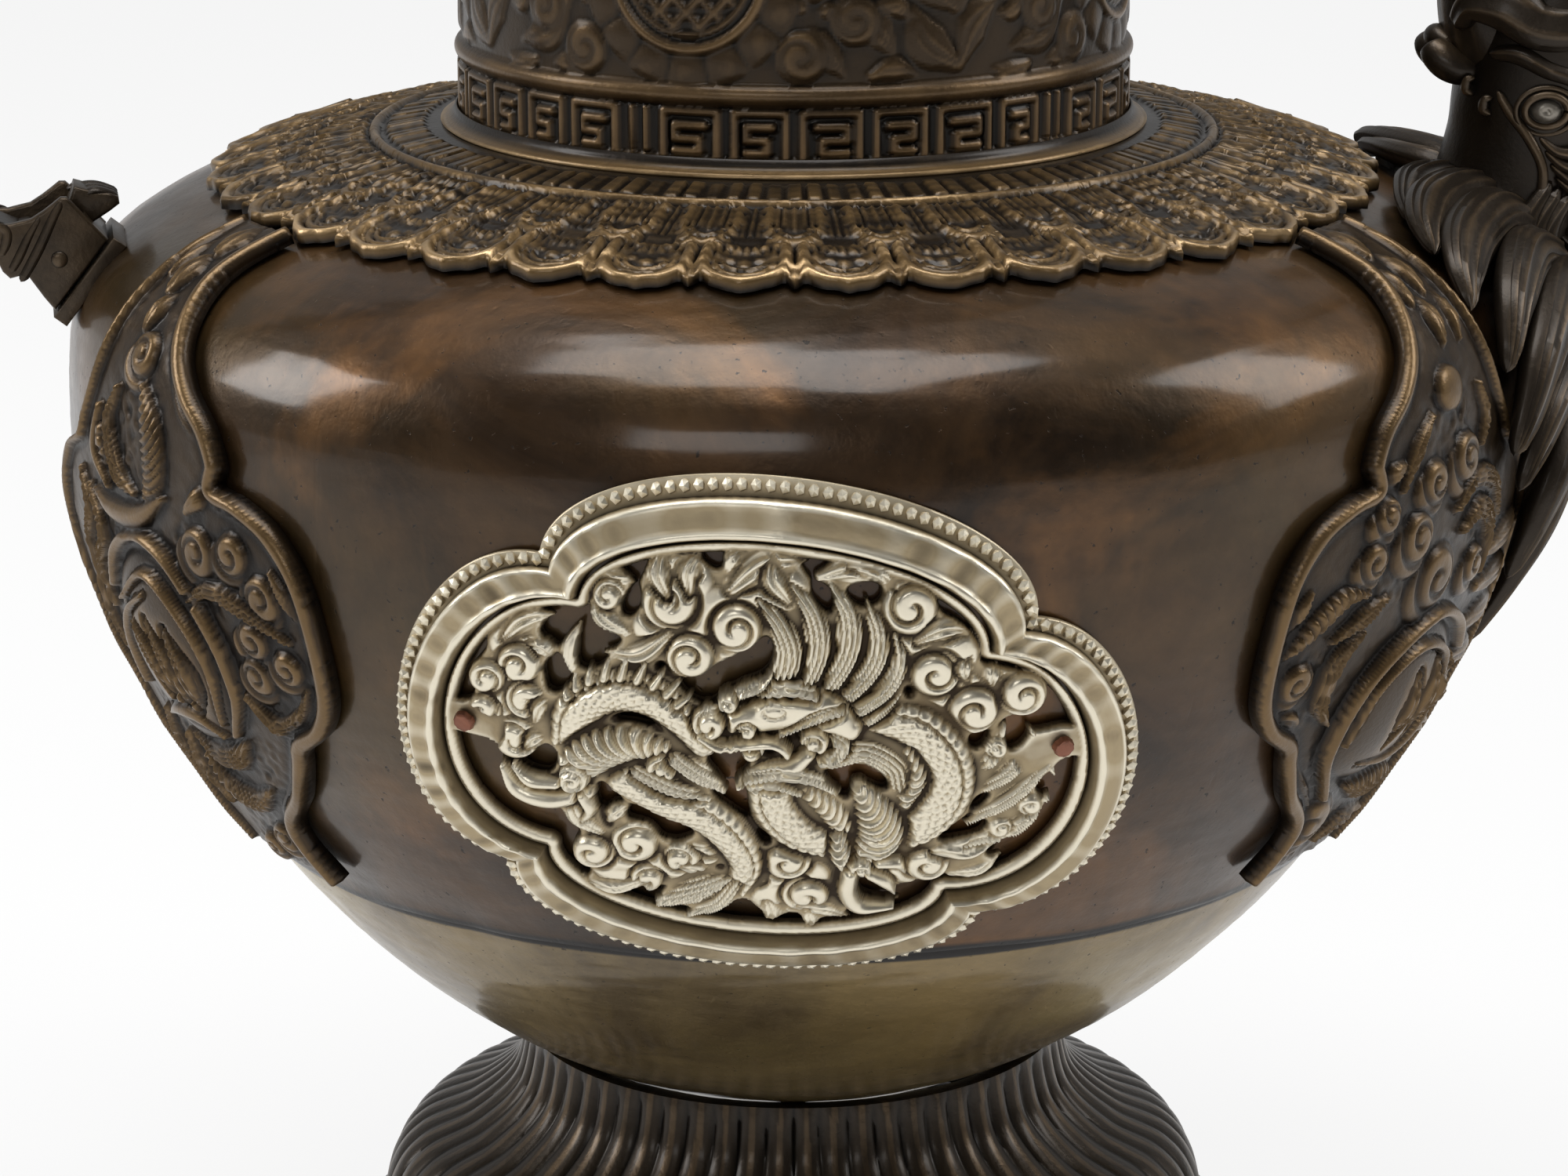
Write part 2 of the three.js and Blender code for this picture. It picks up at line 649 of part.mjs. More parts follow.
function plaqueBead(back) {
  const middle = SKIN_GAP + FRAME_LEDGE + SEAT_GAP + BEAD_RADIUS;
  const spread = BEAD_RADIUS / (PLAQUE_HALF_HEIGHT - OPENING_HALF_HEIGHT);
  return skin([
    frameRing(0.15 - spread, middle, back),
    frameRing(0.15, middle + BEAD_RADIUS, back),
    frameRing(0.15 + spread, middle, back),
    frameRing(0.15, middle - BEAD_RADIUS, back),
  ], true);
}

// The opening's outline drawn in from the frame's wall
const openingOutline = (inset) => lobedOutline(
  OPENING_HALF_WIDTH - inset, OPENING_HALF_HEIGHT - inset,
  OPENING_CUSP_X - inset, OPENING_CUSP_Y - inset, FRAME_STEPS);

// The panel's border strip joins every motif and seats against the frame's wall.
const borderLine = openingOutline(SEAT_GAP + BORDER_WIDTH / 2);

function panelBorder(back) {
  const ring = (inset, lift) => openingOutline(inset).map((point) => onPlaque(point.x, point.y, lift, back));
  return skin([
    ring(SEAT_GAP, SKIN_GAP),
    ring(SEAT_GAP, SKIN_GAP + PANEL_SHEET),
    ring(SEAT_GAP + BORDER_WIDTH, SKIN_GAP),
  ], true);
}

// The place on the border nearest to a drawn point, where a motif ends.
function tie(x, y) {
  const target = new THREE.Vector2(x, y);
  const near = borderLine.reduce((best, point) => (
    point.distanceTo(target) < best.distanceTo(target) ? point : best));
  return [near.x, near.y, 0.7, PANEL_SHEET * 0.8];
}

// A relief strip drawn along points of [x, y, half width, height]: a ridge, or flat where crown > 0.
function strip(points, back, crown = 0) {
  const line = new THREE.CatmullRomCurve3(points.map(([x, y]) => new THREE.Vector3(x, y, 0)));
  const rings = points.map(([x, y, halfWidth, height], i) => {
    const along = line.getTangent(i / (points.length - 1));
    const corner = (side, lift) => onPlaque(
      x - along.y * side * halfWidth, y + along.x * side * halfWidth, lift, back);
    const top = crown ? [corner(-crown, SKIN_GAP + height), corner(crown, SKIN_GAP + height)]
      : [corner(0, SKIN_GAP + height)];
    return [corner(-1, SKIN_GAP), ...top, corner(1, SKIN_GAP)];
  });
  return skin(rings);
}

// The dragon: body loops, skull and snout, jaw, legs with claws, mane locks
const maneTips = [[-3, 25.5], [2.5, 28.5], [7.5, 29], [12.5, 26.5], [16, 20]];
const dragonStrips = [
  [[9, 11, 4.6, 4.2], [19, 10.5, 4.4, 4.4], [26, 3, 4, 4.6], [26, -6, 3.8, 4.2], [19, -11, 3.4, 3.4],
    [9, -10, 3.4, 3.4], [1, -7, 3.6, 3.8], [-5, -12, 3.6, 4], [-3, -20, 3, 3.4], [-6, -28, 3.4, 3]],
  [[-2, -6, 3, 3.4], [-16, -5, 3.6, 3.8], [-26, 0, 3.8, 4.2], [-25, 8, 3.8, 4.4], [-18, 10, 3.8, 4.4],
    [-10, 6, 3.4, 3.6]],
  [[10, 12, 4.6, 5], [1, 10, 5.4, 6.2], [-6, 8, 3.6, 5.8], [-11, 7, 2.2, 5]],
  [[6, 7, 3, 4.6], [1, 2.5, 2.2, 4.8], [-2, -6, 1.6, 4]],
  [[-13, -5, 2.4, 3], [-21, -3, 3.4, 4.2], [-28, -8, 3, 4.2], [-36, -11, 1.6, 3], tie(-40, -15)],
  [[9, -9, 2.4, 3], [16, -8, 3.2, 4.2], [17.5, -17, 3, 4.2], [19, -25, 1.8, 3], tie(20, -31)],
  ...maneTips.map(([x, y], i) => [[1 + i * 2, 13 - i * 0.8, 1.9, 4.8], [x, y, 0.7, 3.4]]),
];

// Cloud banks and leaves round the dragon, each tied to the border
const cloudStrips = [
  [tie(-29, 22), [-24, 21, 3, 3.2], [-15, 19, 4.4, 3.8], [-8, 22, 4.2, 4], [-7, 29, 3, 3.2], tie(-6, 35)],
  [tie(-20, 33), [-17, 27, 3.6, 3.4], [-14, 16, 4.4, 4], [-12, 7, 2.2, 3]],
  [tie(6, 35), [12, 30, 3, 3.2], [18, 27, 4, 4], [23, 17, 3.8, 3.8], [31, 13, 4.4, 4], tie(43, 19)],
  [[31, 12, 2.6, 3.4], [33, 2, 2.8, 3.2], tie(39, -17)],
  [tie(-38, 22), [-38, 13, 3.6, 3.4], [-38, 4, 4.8, 4], [-35, -5, 3, 3.4], [-28, -7, 2.4, 3]],
  [tie(-29, -25), [-22, -21, 4, 3.6], [-14, -18, 4.4, 4], [-4, -18, 3, 3.2]],
  [tie(-14, -34), [-9, -27, 3, 3.2], [4, -27, 3.2, 3.4], [8, -21, 4, 3.8], [3, -10, 2, 3]],
];

const RIVET_LEFT = [RIVET_INSET - OPENING_HALF_WIDTH, -1];
const RIVET_RIGHT = [OPENING_HALF_WIDTH - RIVET_INSET, OPENING_HALF_HEIGHT / 5];
const rivetLeaves = [
  [tie(...RIVET_LEFT), [...RIVET_LEFT, 3.2, PANEL_SHEET], [-36, 2, 3, PANEL_SHEET],
    [-27, 3, 2, PANEL_SHEET]],
  [tie(...RIVET_RIGHT), [...RIVET_RIGHT, 3.2, PANEL_SHEET], [36, -2, 2.8, PANEL_SHEET],
    [26, -8, 2, PANEL_SHEET]],
];

function openworkPanel(back) {
  const ridged = [...dragonStrips, ...cloudStrips].map((points) => strip(points, back));
  const flat = rivetLeaves.map((points) => strip(points, back, 0.8));
  return join([panelBorder(back), ...ridged, ...flat]);
}

function largestPiece(solid) {
  const pieces = solid.decompose();
  return pieces.reduce((best, piece) => (piece.volume() > best.volume() ? piece : best));
}

function placeOnBody(geometry, position, outward) {
  const turn = new THREE.Quaternion().setFromUnitVectors(new THREE.Vector3(0, 0, 1), outward);
  geometry.applyQuaternion(turn);
  geometry.translate(position.x, position.y, position.z);
  return geometry;
}

function rivetAxis([x, y], back) {
  const seat = onPlaque(x, y, 0, back);
  return { seat, outward: onPlaque(x, y, 1, back).sub(seat).normalize() };
}

function rivet(place, back) {
  const { seat, outward } = rivetAxis(place, back);
  const foot = SKIN_GAP + PANEL_SHEET + SEAT_GAP;
  const head = turned([
    [0, foot],
    [RIVET_RADIUS, foot],
    [RIVET_RADIUS * 0.9, foot + RIVET_HEAD * 0.7],
    [0, foot + RIVET_HEAD],
  ], 8);
  return placeOnBody(head, seat, outward);
}

// Side plates: [height, inner edge, outer edge], edges from the plate's middle line toward the front
const PLATE_AT = distanceAtHeight(PLATE_CENTRE_Z);
const PLATE_TOP = OUTLINE_LENGTH - COLLAR_REACH - 2 * PLATE_GAP - PLATE_AT;
const plateStations = [
  [PLATE_TOP, 10.5, 7], [62, 10.5, 7.5], [52, 12.5, 9], [42, 18, 13], [33, 27, 21], [31, 30, 25],
  [22, 38, 32], [10, 42.5, 37], [-2, 42, 37], [-12, 37, 32], [-20, 29, 25], [-22, 26, 23],
  [-30, 22, 19], [-37, 18, 15],
];

// Forms on the plates: [toward the front, height, radius, rise, ridge]. One with a ridge is a raised
// loop of that half width, one without it is a dome.
const rightForms = [
  [3, -8, 13, 3.2, 0], [0, -9, 18, 1.8, 3], [5, 14, 5, 1.5, 3], [12, 22, 5, 1.4, 0], [8, 31, 5, 1.2, 0],
  [3, 43, 5.5, 1.3, 0], [-1.5, 31, 4.5, 1.2, 0], [-9, 21, 7, 1.3, 0], [33, -6, 6, 1.5, 0],
  [34, 11, 7, 1.3, 0], [24, 0, 6, 1.3, 0], [25, -15, 7, 1.2, 0], [10, -30, 7, 1.5, 0],
  [-6, -26, 7, 1.3, 0], [-22, 8, 7, 1.2, 0], [-26, -8, 7, 1.3, 0], [0, 58, 6, 1.1, 0],
];
const leftForms = [
  [3, 2, 11, 3, 0], [3, 3, 17, 1.8, 3], [-10, -2, 6, 1.2, 0], [0, -10, 7, 1.3, 0], [22, 20, 7, 1.5, 0],
  [28, 12, 5, 1.4, 0], [26, 2, 7, 1.3, 0], [30, -8, 6, 1.4, 0], [2, 25, 7, 1.3, 0], [7, 35, 6, 1.3, 0],
  [2, 48, 6, 1.4, 0], [-2, 62, 6, 1.2, 0], [3, -24, 7, 1.4, 0], [10, -33, 5, 1.3, 0],
  [-22, 10, 8, 1.3, 0], [-26, -6, 7, 1.3, 0], [-12, -22, 6, 1.2, 0],
];

const smooth = THREE.MathUtils.smoothstep;

// Height of the forms over the plate's sheet at one place
function formsLift(forms, across, height) {
  const lifts = forms.map(([x, y, radius, rise, ridge]) => {
    const away = Math.hypot(across - x, height - y);
    const share = ridge ? (away - radius) / ridge : away / radius;
    return rise * Math.max(0, 1 - share ** 2);
  });
  return Math.max(0, ...lifts);
}

// The plate's edges at one height, straight between the stations
function plateEdges(height) {
  const next = Math.max(1, plateStations.findIndex(([at]) => at <= height));
  const [above, below] = [plateStations[next - 1], plateStations[next]];
  const share = (above[0] - height) / (above[0] - below[0]);
  return [1, 2].map((k) => above[k] + (below[k] - above[k]) * share);
}

const plateHeights = plateStations.slice(1).flatMap(([height], i) => {
  const above = plateStations[i][0];
  const count = Math.ceil((above - height) / PLATE_ROW);
  return Array.from({ length: count }, (_, k) => above + (height - above) * k / count);
}).concat(plateStations[plateStations.length - 1][0]);

function sidePlate(front, right) {
  const forms = right ? rightForms : leftForms;
  const rows = plateHeights.map((height) => {
    const [inner, outer] = plateEdges(height);
    const distance = PLATE_AT + height;
    const radius = outlineAt(distance).point.x;
    const place = (across, lift) => {
      const azimuth = PLATE_AZIMUTH * DEGREE - across / radius;
      const faced = front ? azimuth : Math.PI - azimuth;
      return onBody(right ? faced : -faced, distance, lift);
    };
    const top = PLATE_GAP + PLATE_SHEET;
    const rim = top + (PLATE_RIM - PLATE_SHEET) * (1 - 0.5 * smooth(height, 48, PLATE_TOP));
    const field = spaced(-outer + PLATE_RIM_WIDTH, inner - PLATE_RIM_WIDTH, PLATE_COLUMNS);
    return [
      place(-outer, PLATE_GAP),
      place(-outer + PLATE_RIM_WIDTH * 0.35, rim),
      ...field.map((across) => place(across, top + formsLift(forms, across, height))),
      place(inner - PLATE_RIM_WIDTH * 0.35, rim),
      place(inner, PLATE_GAP),
      ...[0.5, 0, -0.5].map((share) => place(share * (inner + outer) / 2, PLATE_GAP)),
    ];
  });
  return skin(rows);
}

// Spout: one curved channel, its casting, its lip and the eyes
const SPOUT_AT = distanceAtHeight(SPOUT_ROOT_Z);

function spoutAxis() {
  const { point, normal } = outlineAt(SPOUT_AT);
  const root = (lift) => new THREE.Vector3(point.x + normal.x * lift, 0, point.y + normal.y * lift);
  const tipSlope = 50 * DEGREE;
  const lipReach = (SPOUT_OUTER + SEAT_GAP + SPOUT_LIP) * Math.sin(tipSlope);
  const tip = new THREE.Vector3(REACH - lipReach, 0, SPOUT_TIP_Z);
  const back = (length) => tip.clone().add(
    new THREE.Vector3(-Math.cos(tipSlope) * length, 0, -Math.sin(tipSlope) * length));
  const path = new THREE.CatmullRomCurve3([
    root(-SHEET * 3), root(SPOUT_RISE * 0.2), root(SPOUT_RISE),
    new THREE.Vector3(point.x + SPOUT_RISE, 0, HEAD_TOP_Z - SPOUT_RISE * 1.15),
    new THREE.Vector3(point.x + SPOUT_RISE * 1.45, 0, HEAD_TOP_Z + SPOUT_RISE * 0.4),
    back(SPOUT_RISE * 2.1), back(SPOUT_RISE * 0.85), tip,
  ]);
  return { path, tip, tipSlope };
}

function tubeAlong(path, outer, bore, steps, sides) {
  const section = new THREE.Shape();
  section.absarc(0, 0, outer, 0, 2 * Math.PI, false);
  if (bore > 0) {
    const hole = new THREE.Path();
    hole.absarc(0, 0, bore, 0, 2 * Math.PI, true);
    section.holes.push(hole);
  }
  return closed(new THREE.ExtrudeGeometry(section, {
    steps, curveSegments: sides, extrudePath: path, bevelEnabled: false,
  }));
}

function spoutTube() {
  return tubeAlong(spoutAxis().path, SPOUT_OUTER, SPOUT_BORE, SPOUT_STEPS, TUBE_SIDES / 2);
}

function spoutHole() {
  const { point, normal } = outlineAt(SPOUT_AT);
  const radius = SPOUT_OUTER + SPOUT_FIT + SPOUT_HOLE_EASE;
  const tool = new THREE.CylinderGeometry(radius, radius, SHEET * 15, SMALL_ROUND);
  tool.rotateX(Math.PI / 2);
  const outward = new THREE.Vector3(normal.x, 0, normal.y).normalize();
  return placeOnBody(tool, new THREE.Vector3(point.x, 0, point.y), outward);
}

function spoutLip() {
  const { path, tip, tipSlope } = spoutAxis();
  const inside = SPOUT_OUTER + SEAT_GAP;
  const lip = turnedRing([
    [inside, -SPOUT_LIP_LENGTH],
    [inside + SPOUT_LIP * 0.6, -SPOUT_LIP_LENGTH],
    [inside + SPOUT_LIP, -SPOUT_LIP_LENGTH * 0.4],
    [inside + SPOUT_LIP, 0],
    [inside, 0],
  ], SMALL_ROUND);
  const along = path.getTangent(1);
  return placeOnBody(lip, tip, along.normalize());
}

// A blob of elliptic sections along points of [x, z, half depth, half width]
function casting(points, sides, steps) {
  const line = new THREE.CatmullRomCurve3(points.map(([x, z]) => new THREE.Vector3(x, 0, z)));
  const sizes = new THREE.CatmullRomCurve3(points.map(([, , a, b]) => new THREE.Vector3(a, b, 0)));
  const rings = [];
  for (let i = 0; i < steps; i += 1) {
    const t = i / (steps - 1);
    const middle = line.getPoint(t);
    const along = line.getTangent(t);
    const { x: depth, y: width } = sizes.getPoint(t);
    rings.push(Array.from({ length: sides }, (_, k) => {
      const angle = (k / sides) * 2 * Math.PI;
      const side = depth * Math.cos(angle);
      return new THREE.Vector3(
        middle.x - along.z * side, width * Math.sin(angle), middle.z + along.x * side);
    }));
  }
  return skin(rings);
}

// A mane lock that lies on the body: points of [azimuth offset in degrees, distance, half width,
// height], the last three in half widths of the head
function lock(points) {
  const azimuth = 90;
  const rings = points.map(([turn, distance, halfWidth, height], i) => {
    const before = points[Math.max(i - 1, 0)];
    const after = points[Math.min(i + 1, points.length - 1)];
    const at = SPOUT_AT + distance * HEAD_HALF_WIDTH;
    const half = halfWidth * HEAD_HALF_WIDTH;
    const radius = outlineAt(at).point.x;
    const swing = (after[0] - before[0]) * DEGREE * radius;
    const along = new THREE.Vector2(swing, (after[1] - before[1]) * HEAD_HALF_WIDTH).normalize();
    const corner = (side, lift) => {
      const across = turn * DEGREE - (along.y * side * half) / radius;
      return onBody(azimuth * DEGREE + across, at + along.x * side * half, lift);
    };
    const top = height * HEAD_HALF_WIDTH;
    return [corner(-1, SKIN_GAP), corner(-0.6, top), corner(0.6, top), corner(1, SKIN_GAP)];
  });
  return skin(rings);
}

function maneLocks() {
  const locks = [];
  for (const side of [-1, 1]) {
    locks.push(
      lock([[0, 0.46, 0.62, 0.92], [side * 9, 0.69, 0.54, 0.69], [side * 17, 0.77, 0.31, 0.38],
        [side * 22, 0.54, 0.12, 0.15]]),
      lock([[0, 0, 0.62, 1], [side * 9, 0.15, 0.54, 0.69], [side * 15, -0.31, 0.38, 0.46],
        [side * 18, -1, 0.12, 0.15]]),
      lock([[0, -0.31, 0.62, 1], [side * 6, -0.92, 0.54, 0.69], [side * 9, -1.85, 0.38, 0.54],
        [side * 11, -2.77, 0.12, 0.15]]),
    );
  }
  locks.push(lock([[0, -0.31, 0.62, 1], [0, -1.38, 0.54, 0.77], [0, -2.62, 0.38, 0.54],
    [0, -4, 0.12, 0.15]]));
  return locks;
}

// Casting points of [out, up, half depth, half width] in half widths of the head, from a base
function headPoints(base, points) {
  return points.map((point) => {
    const [out, up, depth, width] = point.map((share) => share * HEAD_HALF_WIDTH);
    return [base.x + out, base.y + up, depth, width];
  });
}

function spoutRoot() {
  const { point } = outlineAt(SPOUT_AT);
  const top = new THREE.Vector2(point.x, HEAD_TOP_Z);
  const body = casting([
    ...headPoints(point, [[-0.15, -0.3, 1.23, 1.15], [0.46, 0.92, 1, 1], [0.92, 2, 1.08, 1]]),
    ...headPoints(top, [[1.15, -0.92, 1.08, 1], [1.46, 0, 0.96, 0.92]]),
  ], 10, 6);
  const upperJaw = casting(headPoints(top, [
    [0.15, -1.4, 0.46, 0.7], [0.23, -0.46, 0.46, 0.62], [0.3, 0.46, 0.35, 0.46],
    [0.08, 1.23, 0.23, 0.3], [-0.3, 1.3, 0.12, 0.18],
  ]), 6, 5);
  const lowerJaw = casting(headPoints(top, [
    [1.92, -1.7, 0.38, 0.62], [2.46, -0.77, 0.3, 0.54], [3.08, 0, 0.23, 0.38], [3.6, 0.23, 0.12, 0.18],
  ]), 6, 4);
  const nose = casting(headPoints(top, [
    [0.3, -1.54, 0.23, 0.3], [-0.3, -1.46, 0.28, 0.34], [-0.77, -1.3, 0.23, 0.28],
  ]), 6, 4);
  const solid = join([body, upperJaw, lowerJaw, nose, ...maneLocks()]);
  const { path } = spoutAxis();
  const bore = tubeAlong(path, SPOUT_OUTER + SPOUT_FIT, 0, SPOUT_STEPS, TUBE_SIDES / 2);
  const eyeSeats = [-1, 1].map((side) => eyeSolid(side, EYE_RADIUS + SEAT_GAP));
  const trimmed = cut(solid, [bodyCore(SKIN_GAP), collarRoom(), bore, ...eyeSeats]);
  return fromManifold(largestPiece(toManifold(trimmed)));
}

function eyeSolid(side, radius) {
  const { point } = outlineAt(SPOUT_AT);
  const eye = new THREE.SphereGeometry(radius, 8, 5);
  const across = HEAD_HALF_WIDTH * 0.77 + EYE_RADIUS;
  eye.translate(point.x + HEAD_HALF_WIDTH * 0.77, side * across, HEAD_TOP_Z - HEAD_HALF_WIDTH * 2);
  return closed(eye);
}

// Handle: drawn in the XZ plane on the left, then swung round the axis toward the front. The socket
// frame gives places by their rise along the root's axis and their distance along the body.
function swung(geometry) {
  return closed(geometry.rotateZ(HANDLE_SWING * DEGREE));
}

function socketFrame() {
  const { point } = outlineAt(distanceAtHeight(HANDLE_ROOT_Z));
  const tilt = HANDLE_TILT * DEGREE;
  const out = new THREE.Vector2(-Math.cos(tilt), Math.sin(tilt));
  const up = new THREE.Vector2(Math.sin(tilt), Math.cos(tilt));
  const seat = new THREE.Vector2(-point.x, point.y);
  return (rise, along) => seat.clone().addScaledVector(out, rise).addScaledVector(up, along);
}

// A plate in the XZ plane, given as its outline, centred on y = 0
function slab(outline, width) {
  const shape = new THREE.Shape(outline);
  const geometry = new THREE.ExtrudeGeometry(shape, { depth: width, bevelEnabled: false });
  geometry.rotateX(Math.PI / 2);
  geometry.translate(0, width / 2, 0);
  return closed(geometry);
}

const SOCKET_HALF = SOCKET_LENGTH / 2;
const SOCKET_FOOT = FLANGE_THICKNESS + SEAT_GAP;
const SOCKET_TOP = SOCKET_FOOT + SOCKET_HEIGHT;
const PIN_LENGTH = HANDLE_WIDTH + 2 * PIN_STANDOUT;
const PIN_HOLE_LENGTH = HANDLE_WIDTH * 2;

// Square socket whose cheeks run out in an ogee beside the strap, with an open trough between them and
// a curled leaf on its upper wall
function handleRoot() {
  const at = socketFrame();
  const [low, high] = [-SOCKET_HALF, SOCKET_HALF];
  const cheeks = slab([
    at(SOCKET_FOOT, low), at(SOCKET_FOOT + 2.7, low + 0.7), at(SOCKET_TOP - 2.4, low + 1.9),
    at(SOCKET_TOP - 1.2, low + 1.6), at(SOCKET_TOP, low), at(SOCKET_TOP + 3.3, low + 1.1),
    at(SOCKET_TOP + 5.4, low + 1), at(SOCKET_TOP + 8.3, low + 5.1), at(SOCKET_TOP + 5.3, low + 7.3),
    at(SOCKET_TOP + 3, high - 4.6), at(SOCKET_TOP + 1.7, high - 1), at(SOCKET_TOP + 1.3, high + 1.2),
    at(SOCKET_TOP - 0.3, high + 1.6), at(SOCKET_FOOT + 3.2, high + 0.5), at(SOCKET_FOOT, high),
  ], HANDLE_WIDTH);
  const trough = slab([
    at(SOCKET_FOOT + TENON_LIFT - SEAT_GAP, low + SOCKET_WALL),
    at(SOCKET_TOP + SOCKET_HEIGHT, low - SOCKET_LENGTH),
    at(SOCKET_TOP + 3 * SOCKET_HEIGHT, low), at(SOCKET_TOP + SOCKET_HEIGHT, high + SOCKET_LENGTH),
    at(SOCKET_TOP, high + SOCKET_LENGTH), at(SOCKET_FOOT + SOCKET_HEIGHT / 2, high - SOCKET_WALL),
    at(SOCKET_FOOT + TENON_LIFT - SEAT_GAP, high - SOCKET_WALL),
  ], HANDLE_WIDTH - 2 * SOCKET_WALL);
  const curlLeaf = slab([
    at(SOCKET_TOP, high + 3), at(SOCKET_TOP - 3.4, high + 4.4), at(SOCKET_TOP - 5.6, high + 5.6),
    at(SOCKET_TOP - 7.1, high + 5.2), at(SOCKET_TOP - 6.4, high + 2.5), at(SOCKET_FOOT + 2, high - 0.4),
    at(SOCKET_FOOT + 2, high - SOCKET_WALL), at(SOCKET_TOP - 2.5, high - SOCKET_WALL + 1),
    at(SOCKET_TOP - 0.5, high),
  ], HANDLE_WIDTH * 0.45);
  const hole = rootPin(PIN_RADIUS + PIN_CLEARANCE, PIN_HOLE_LENGTH);
  return cut(join([cut(cheeks, [trough]), curlLeaf]), [strapSolid(SEAT_GAP), hole]);
}

function rootPin(radius, length) {
  const place = socketFrame()(SOCKET_FOOT + SOCKET_HEIGHT * 0.5, 0);
  const pin = new THREE.CylinderGeometry(radius, radius, length, PIN_SIDES);
  pin.translate(place.x, 0, place.y);
  return closed(pin);
}

function handleFlange() {
  const at = socketFrame();
  const reach = SOCKET_HALF + FLANGE_MARGIN;
  const plate = slab([
    at(-FLANGE_SINK, -reach), at(FLANGE_THICKNESS, -reach),
    at(FLANGE_THICKNESS, reach), at(-FLANGE_SINK, reach),
  ], HANDLE_WIDTH + 2 * FLANGE_MARGIN);
  return cut(swung(plate), [bodyCore(SKIN_GAP)]);
}

// The neck socket sits in the plain band under the mouth.
const HANDLE_NECK_Z = (UPPER_BAND_Z + NECK_TOP_Z) / 2;
const NECK_PAD_HALF = UPPER_BAND_HEIGHT / 2 - SEAT_GAP;
const NECK_PAD_X = -(NECK_RADIUS + SEAT_GAP);
const SLEEVE_X = NECK_PAD_X - FLANGE_THICKNESS - SEAT_GAP;

// Strap: it swings out from the socket to the full reach and returns to the neck.
function strapPath() {
  const at = socketFrame();
  const start = at(SOCKET_FOOT + SEAT_GAP + TENON_LIFT, 0);
  const inSocket = at(SOCKET_TOP, -SOCKET_LENGTH * 0.06);
  const leave = at(SOCKET_TOP + SOCKET_HEIGHT * 0.8, -SOCKET_LENGTH * 0.3);
  const outermost = -REACH + HANDLE_THICKNESS / 2;
  const neckEnd = SLEEVE_X - SLEEVE_FLOOR - SEAT_GAP;
  const rise = HANDLE_TOP_Z - HANDLE_ROOT_Z;
  const run = neckEnd - outermost;
  const loop = [[0.08, 0.245], [0, 0.49], [0.08, 0.755], [0.36, 0.962], [0.66, 1]];
  return new THREE.CatmullRomCurve3([
    new THREE.Vector3(start.x, 0, start.y),
    new THREE.Vector3(inSocket.x, 0, inSocket.y),
    new THREE.Vector3(leave.x, 0, leave.y),
    ...loop.map(([across, up]) => (
      new THREE.Vector3(outermost + run * across, 0, HANDLE_ROOT_Z + rise * up))),
    new THREE.Vector3(neckEnd - SLEEVE_LENGTH * 1.1, 0, HANDLE_NECK_Z),
    new THREE.Vector3(neckEnd, 0, HANDLE_NECK_Z),
  ], false, 'centripetal');
}

// The strap's solid, swelled by a clearance where it cuts its own sockets
function strapSolid(clearance = 0) {
  const path = strapPath();
  const tenon = HANDLE_WIDTH / 2 - SOCKET_WALL - SEAT_GAP;
  const rings = [];
  for (let i = 0; i < STRAP_STEPS; i += 1) {
    const t = i / (STRAP_STEPS - 1);
    const middle = path.getPointAt(t);
    const along = path.getTangentAt(t);
    const swell = Math.min(1, Math.min(t / 0.16, (1 - t) / 0.12));
    const width = tenon + (HANDLE_WIDTH / 2 - tenon) * Math.max(0, swell * 2 - 1) + clearance;
    const thick = (HANDLE_THICKNESS / 2) * (0.82 + 0.18 * swell) + clearance;
    const corner = (side, rise) => new THREE.Vector3(
      middle.x - along.z * rise * thick, side * width, middle.z + along.x * rise * thick);
    rings.push([
      corner(-0.9, -1), corner(0.9, -1), corner(1, 0),
      corner(0.62, 1), corner(-0.62, 1), corner(-1, 0),
    ]);
  }
  return skin(rings);
}

function handleStrap() {
  const hole = PIN_RADIUS + PIN_CLEARANCE;
  return cut(strapSolid(), [rootPin(hole, PIN_HOLE_LENGTH), neckPin(hole, PIN_HOLE_LENGTH)]);
}

// Neck socket: a short sleeve round the strap's upper end, on a pad shaped to the neck
function neckPin(radius, length) {
  const pin = new THREE.CylinderGeometry(radius, radius, length, PIN_SIDES);
  pin.translate(SLEEVE_X - SLEEVE_LENGTH * 0.55, 0, HANDLE_NECK_Z);
  return closed(pin);
}

// A block in the XZ plane between two x values, a half height round the neck socket's middle
function neckBlock(from, to, halfHeight, width) {
  return slab([
    new THREE.Vector2(from, HANDLE_NECK_Z - halfHeight),
    new THREE.Vector2(from, HANDLE_NECK_Z + halfHeight),
    new THREE.Vector2(to, HANDLE_NECK_Z + halfHeight),
    new THREE.Vector2(to, HANDLE_NECK_Z - halfHeight),
  ], width);
}

function neckSleeve() {
  const room = HANDLE_THICKNESS / 2 + SEAT_GAP;
  const outside = SLEEVE_X - SLEEVE_LENGTH;
  const block = neckBlock(SLEEVE_X, outside, room + SOCKET_WALL, HANDLE_WIDTH);
  const slot = neckBlock(
    SLEEVE_X - SLEEVE_FLOOR, outside - SLEEVE_LENGTH, room, HANDLE_WIDTH - 2 * SOCKET_WALL);
  return cut(block, [slot, neckPin(PIN_RADIUS + PIN_CLEARANCE, PIN_HOLE_LENGTH)]);
}

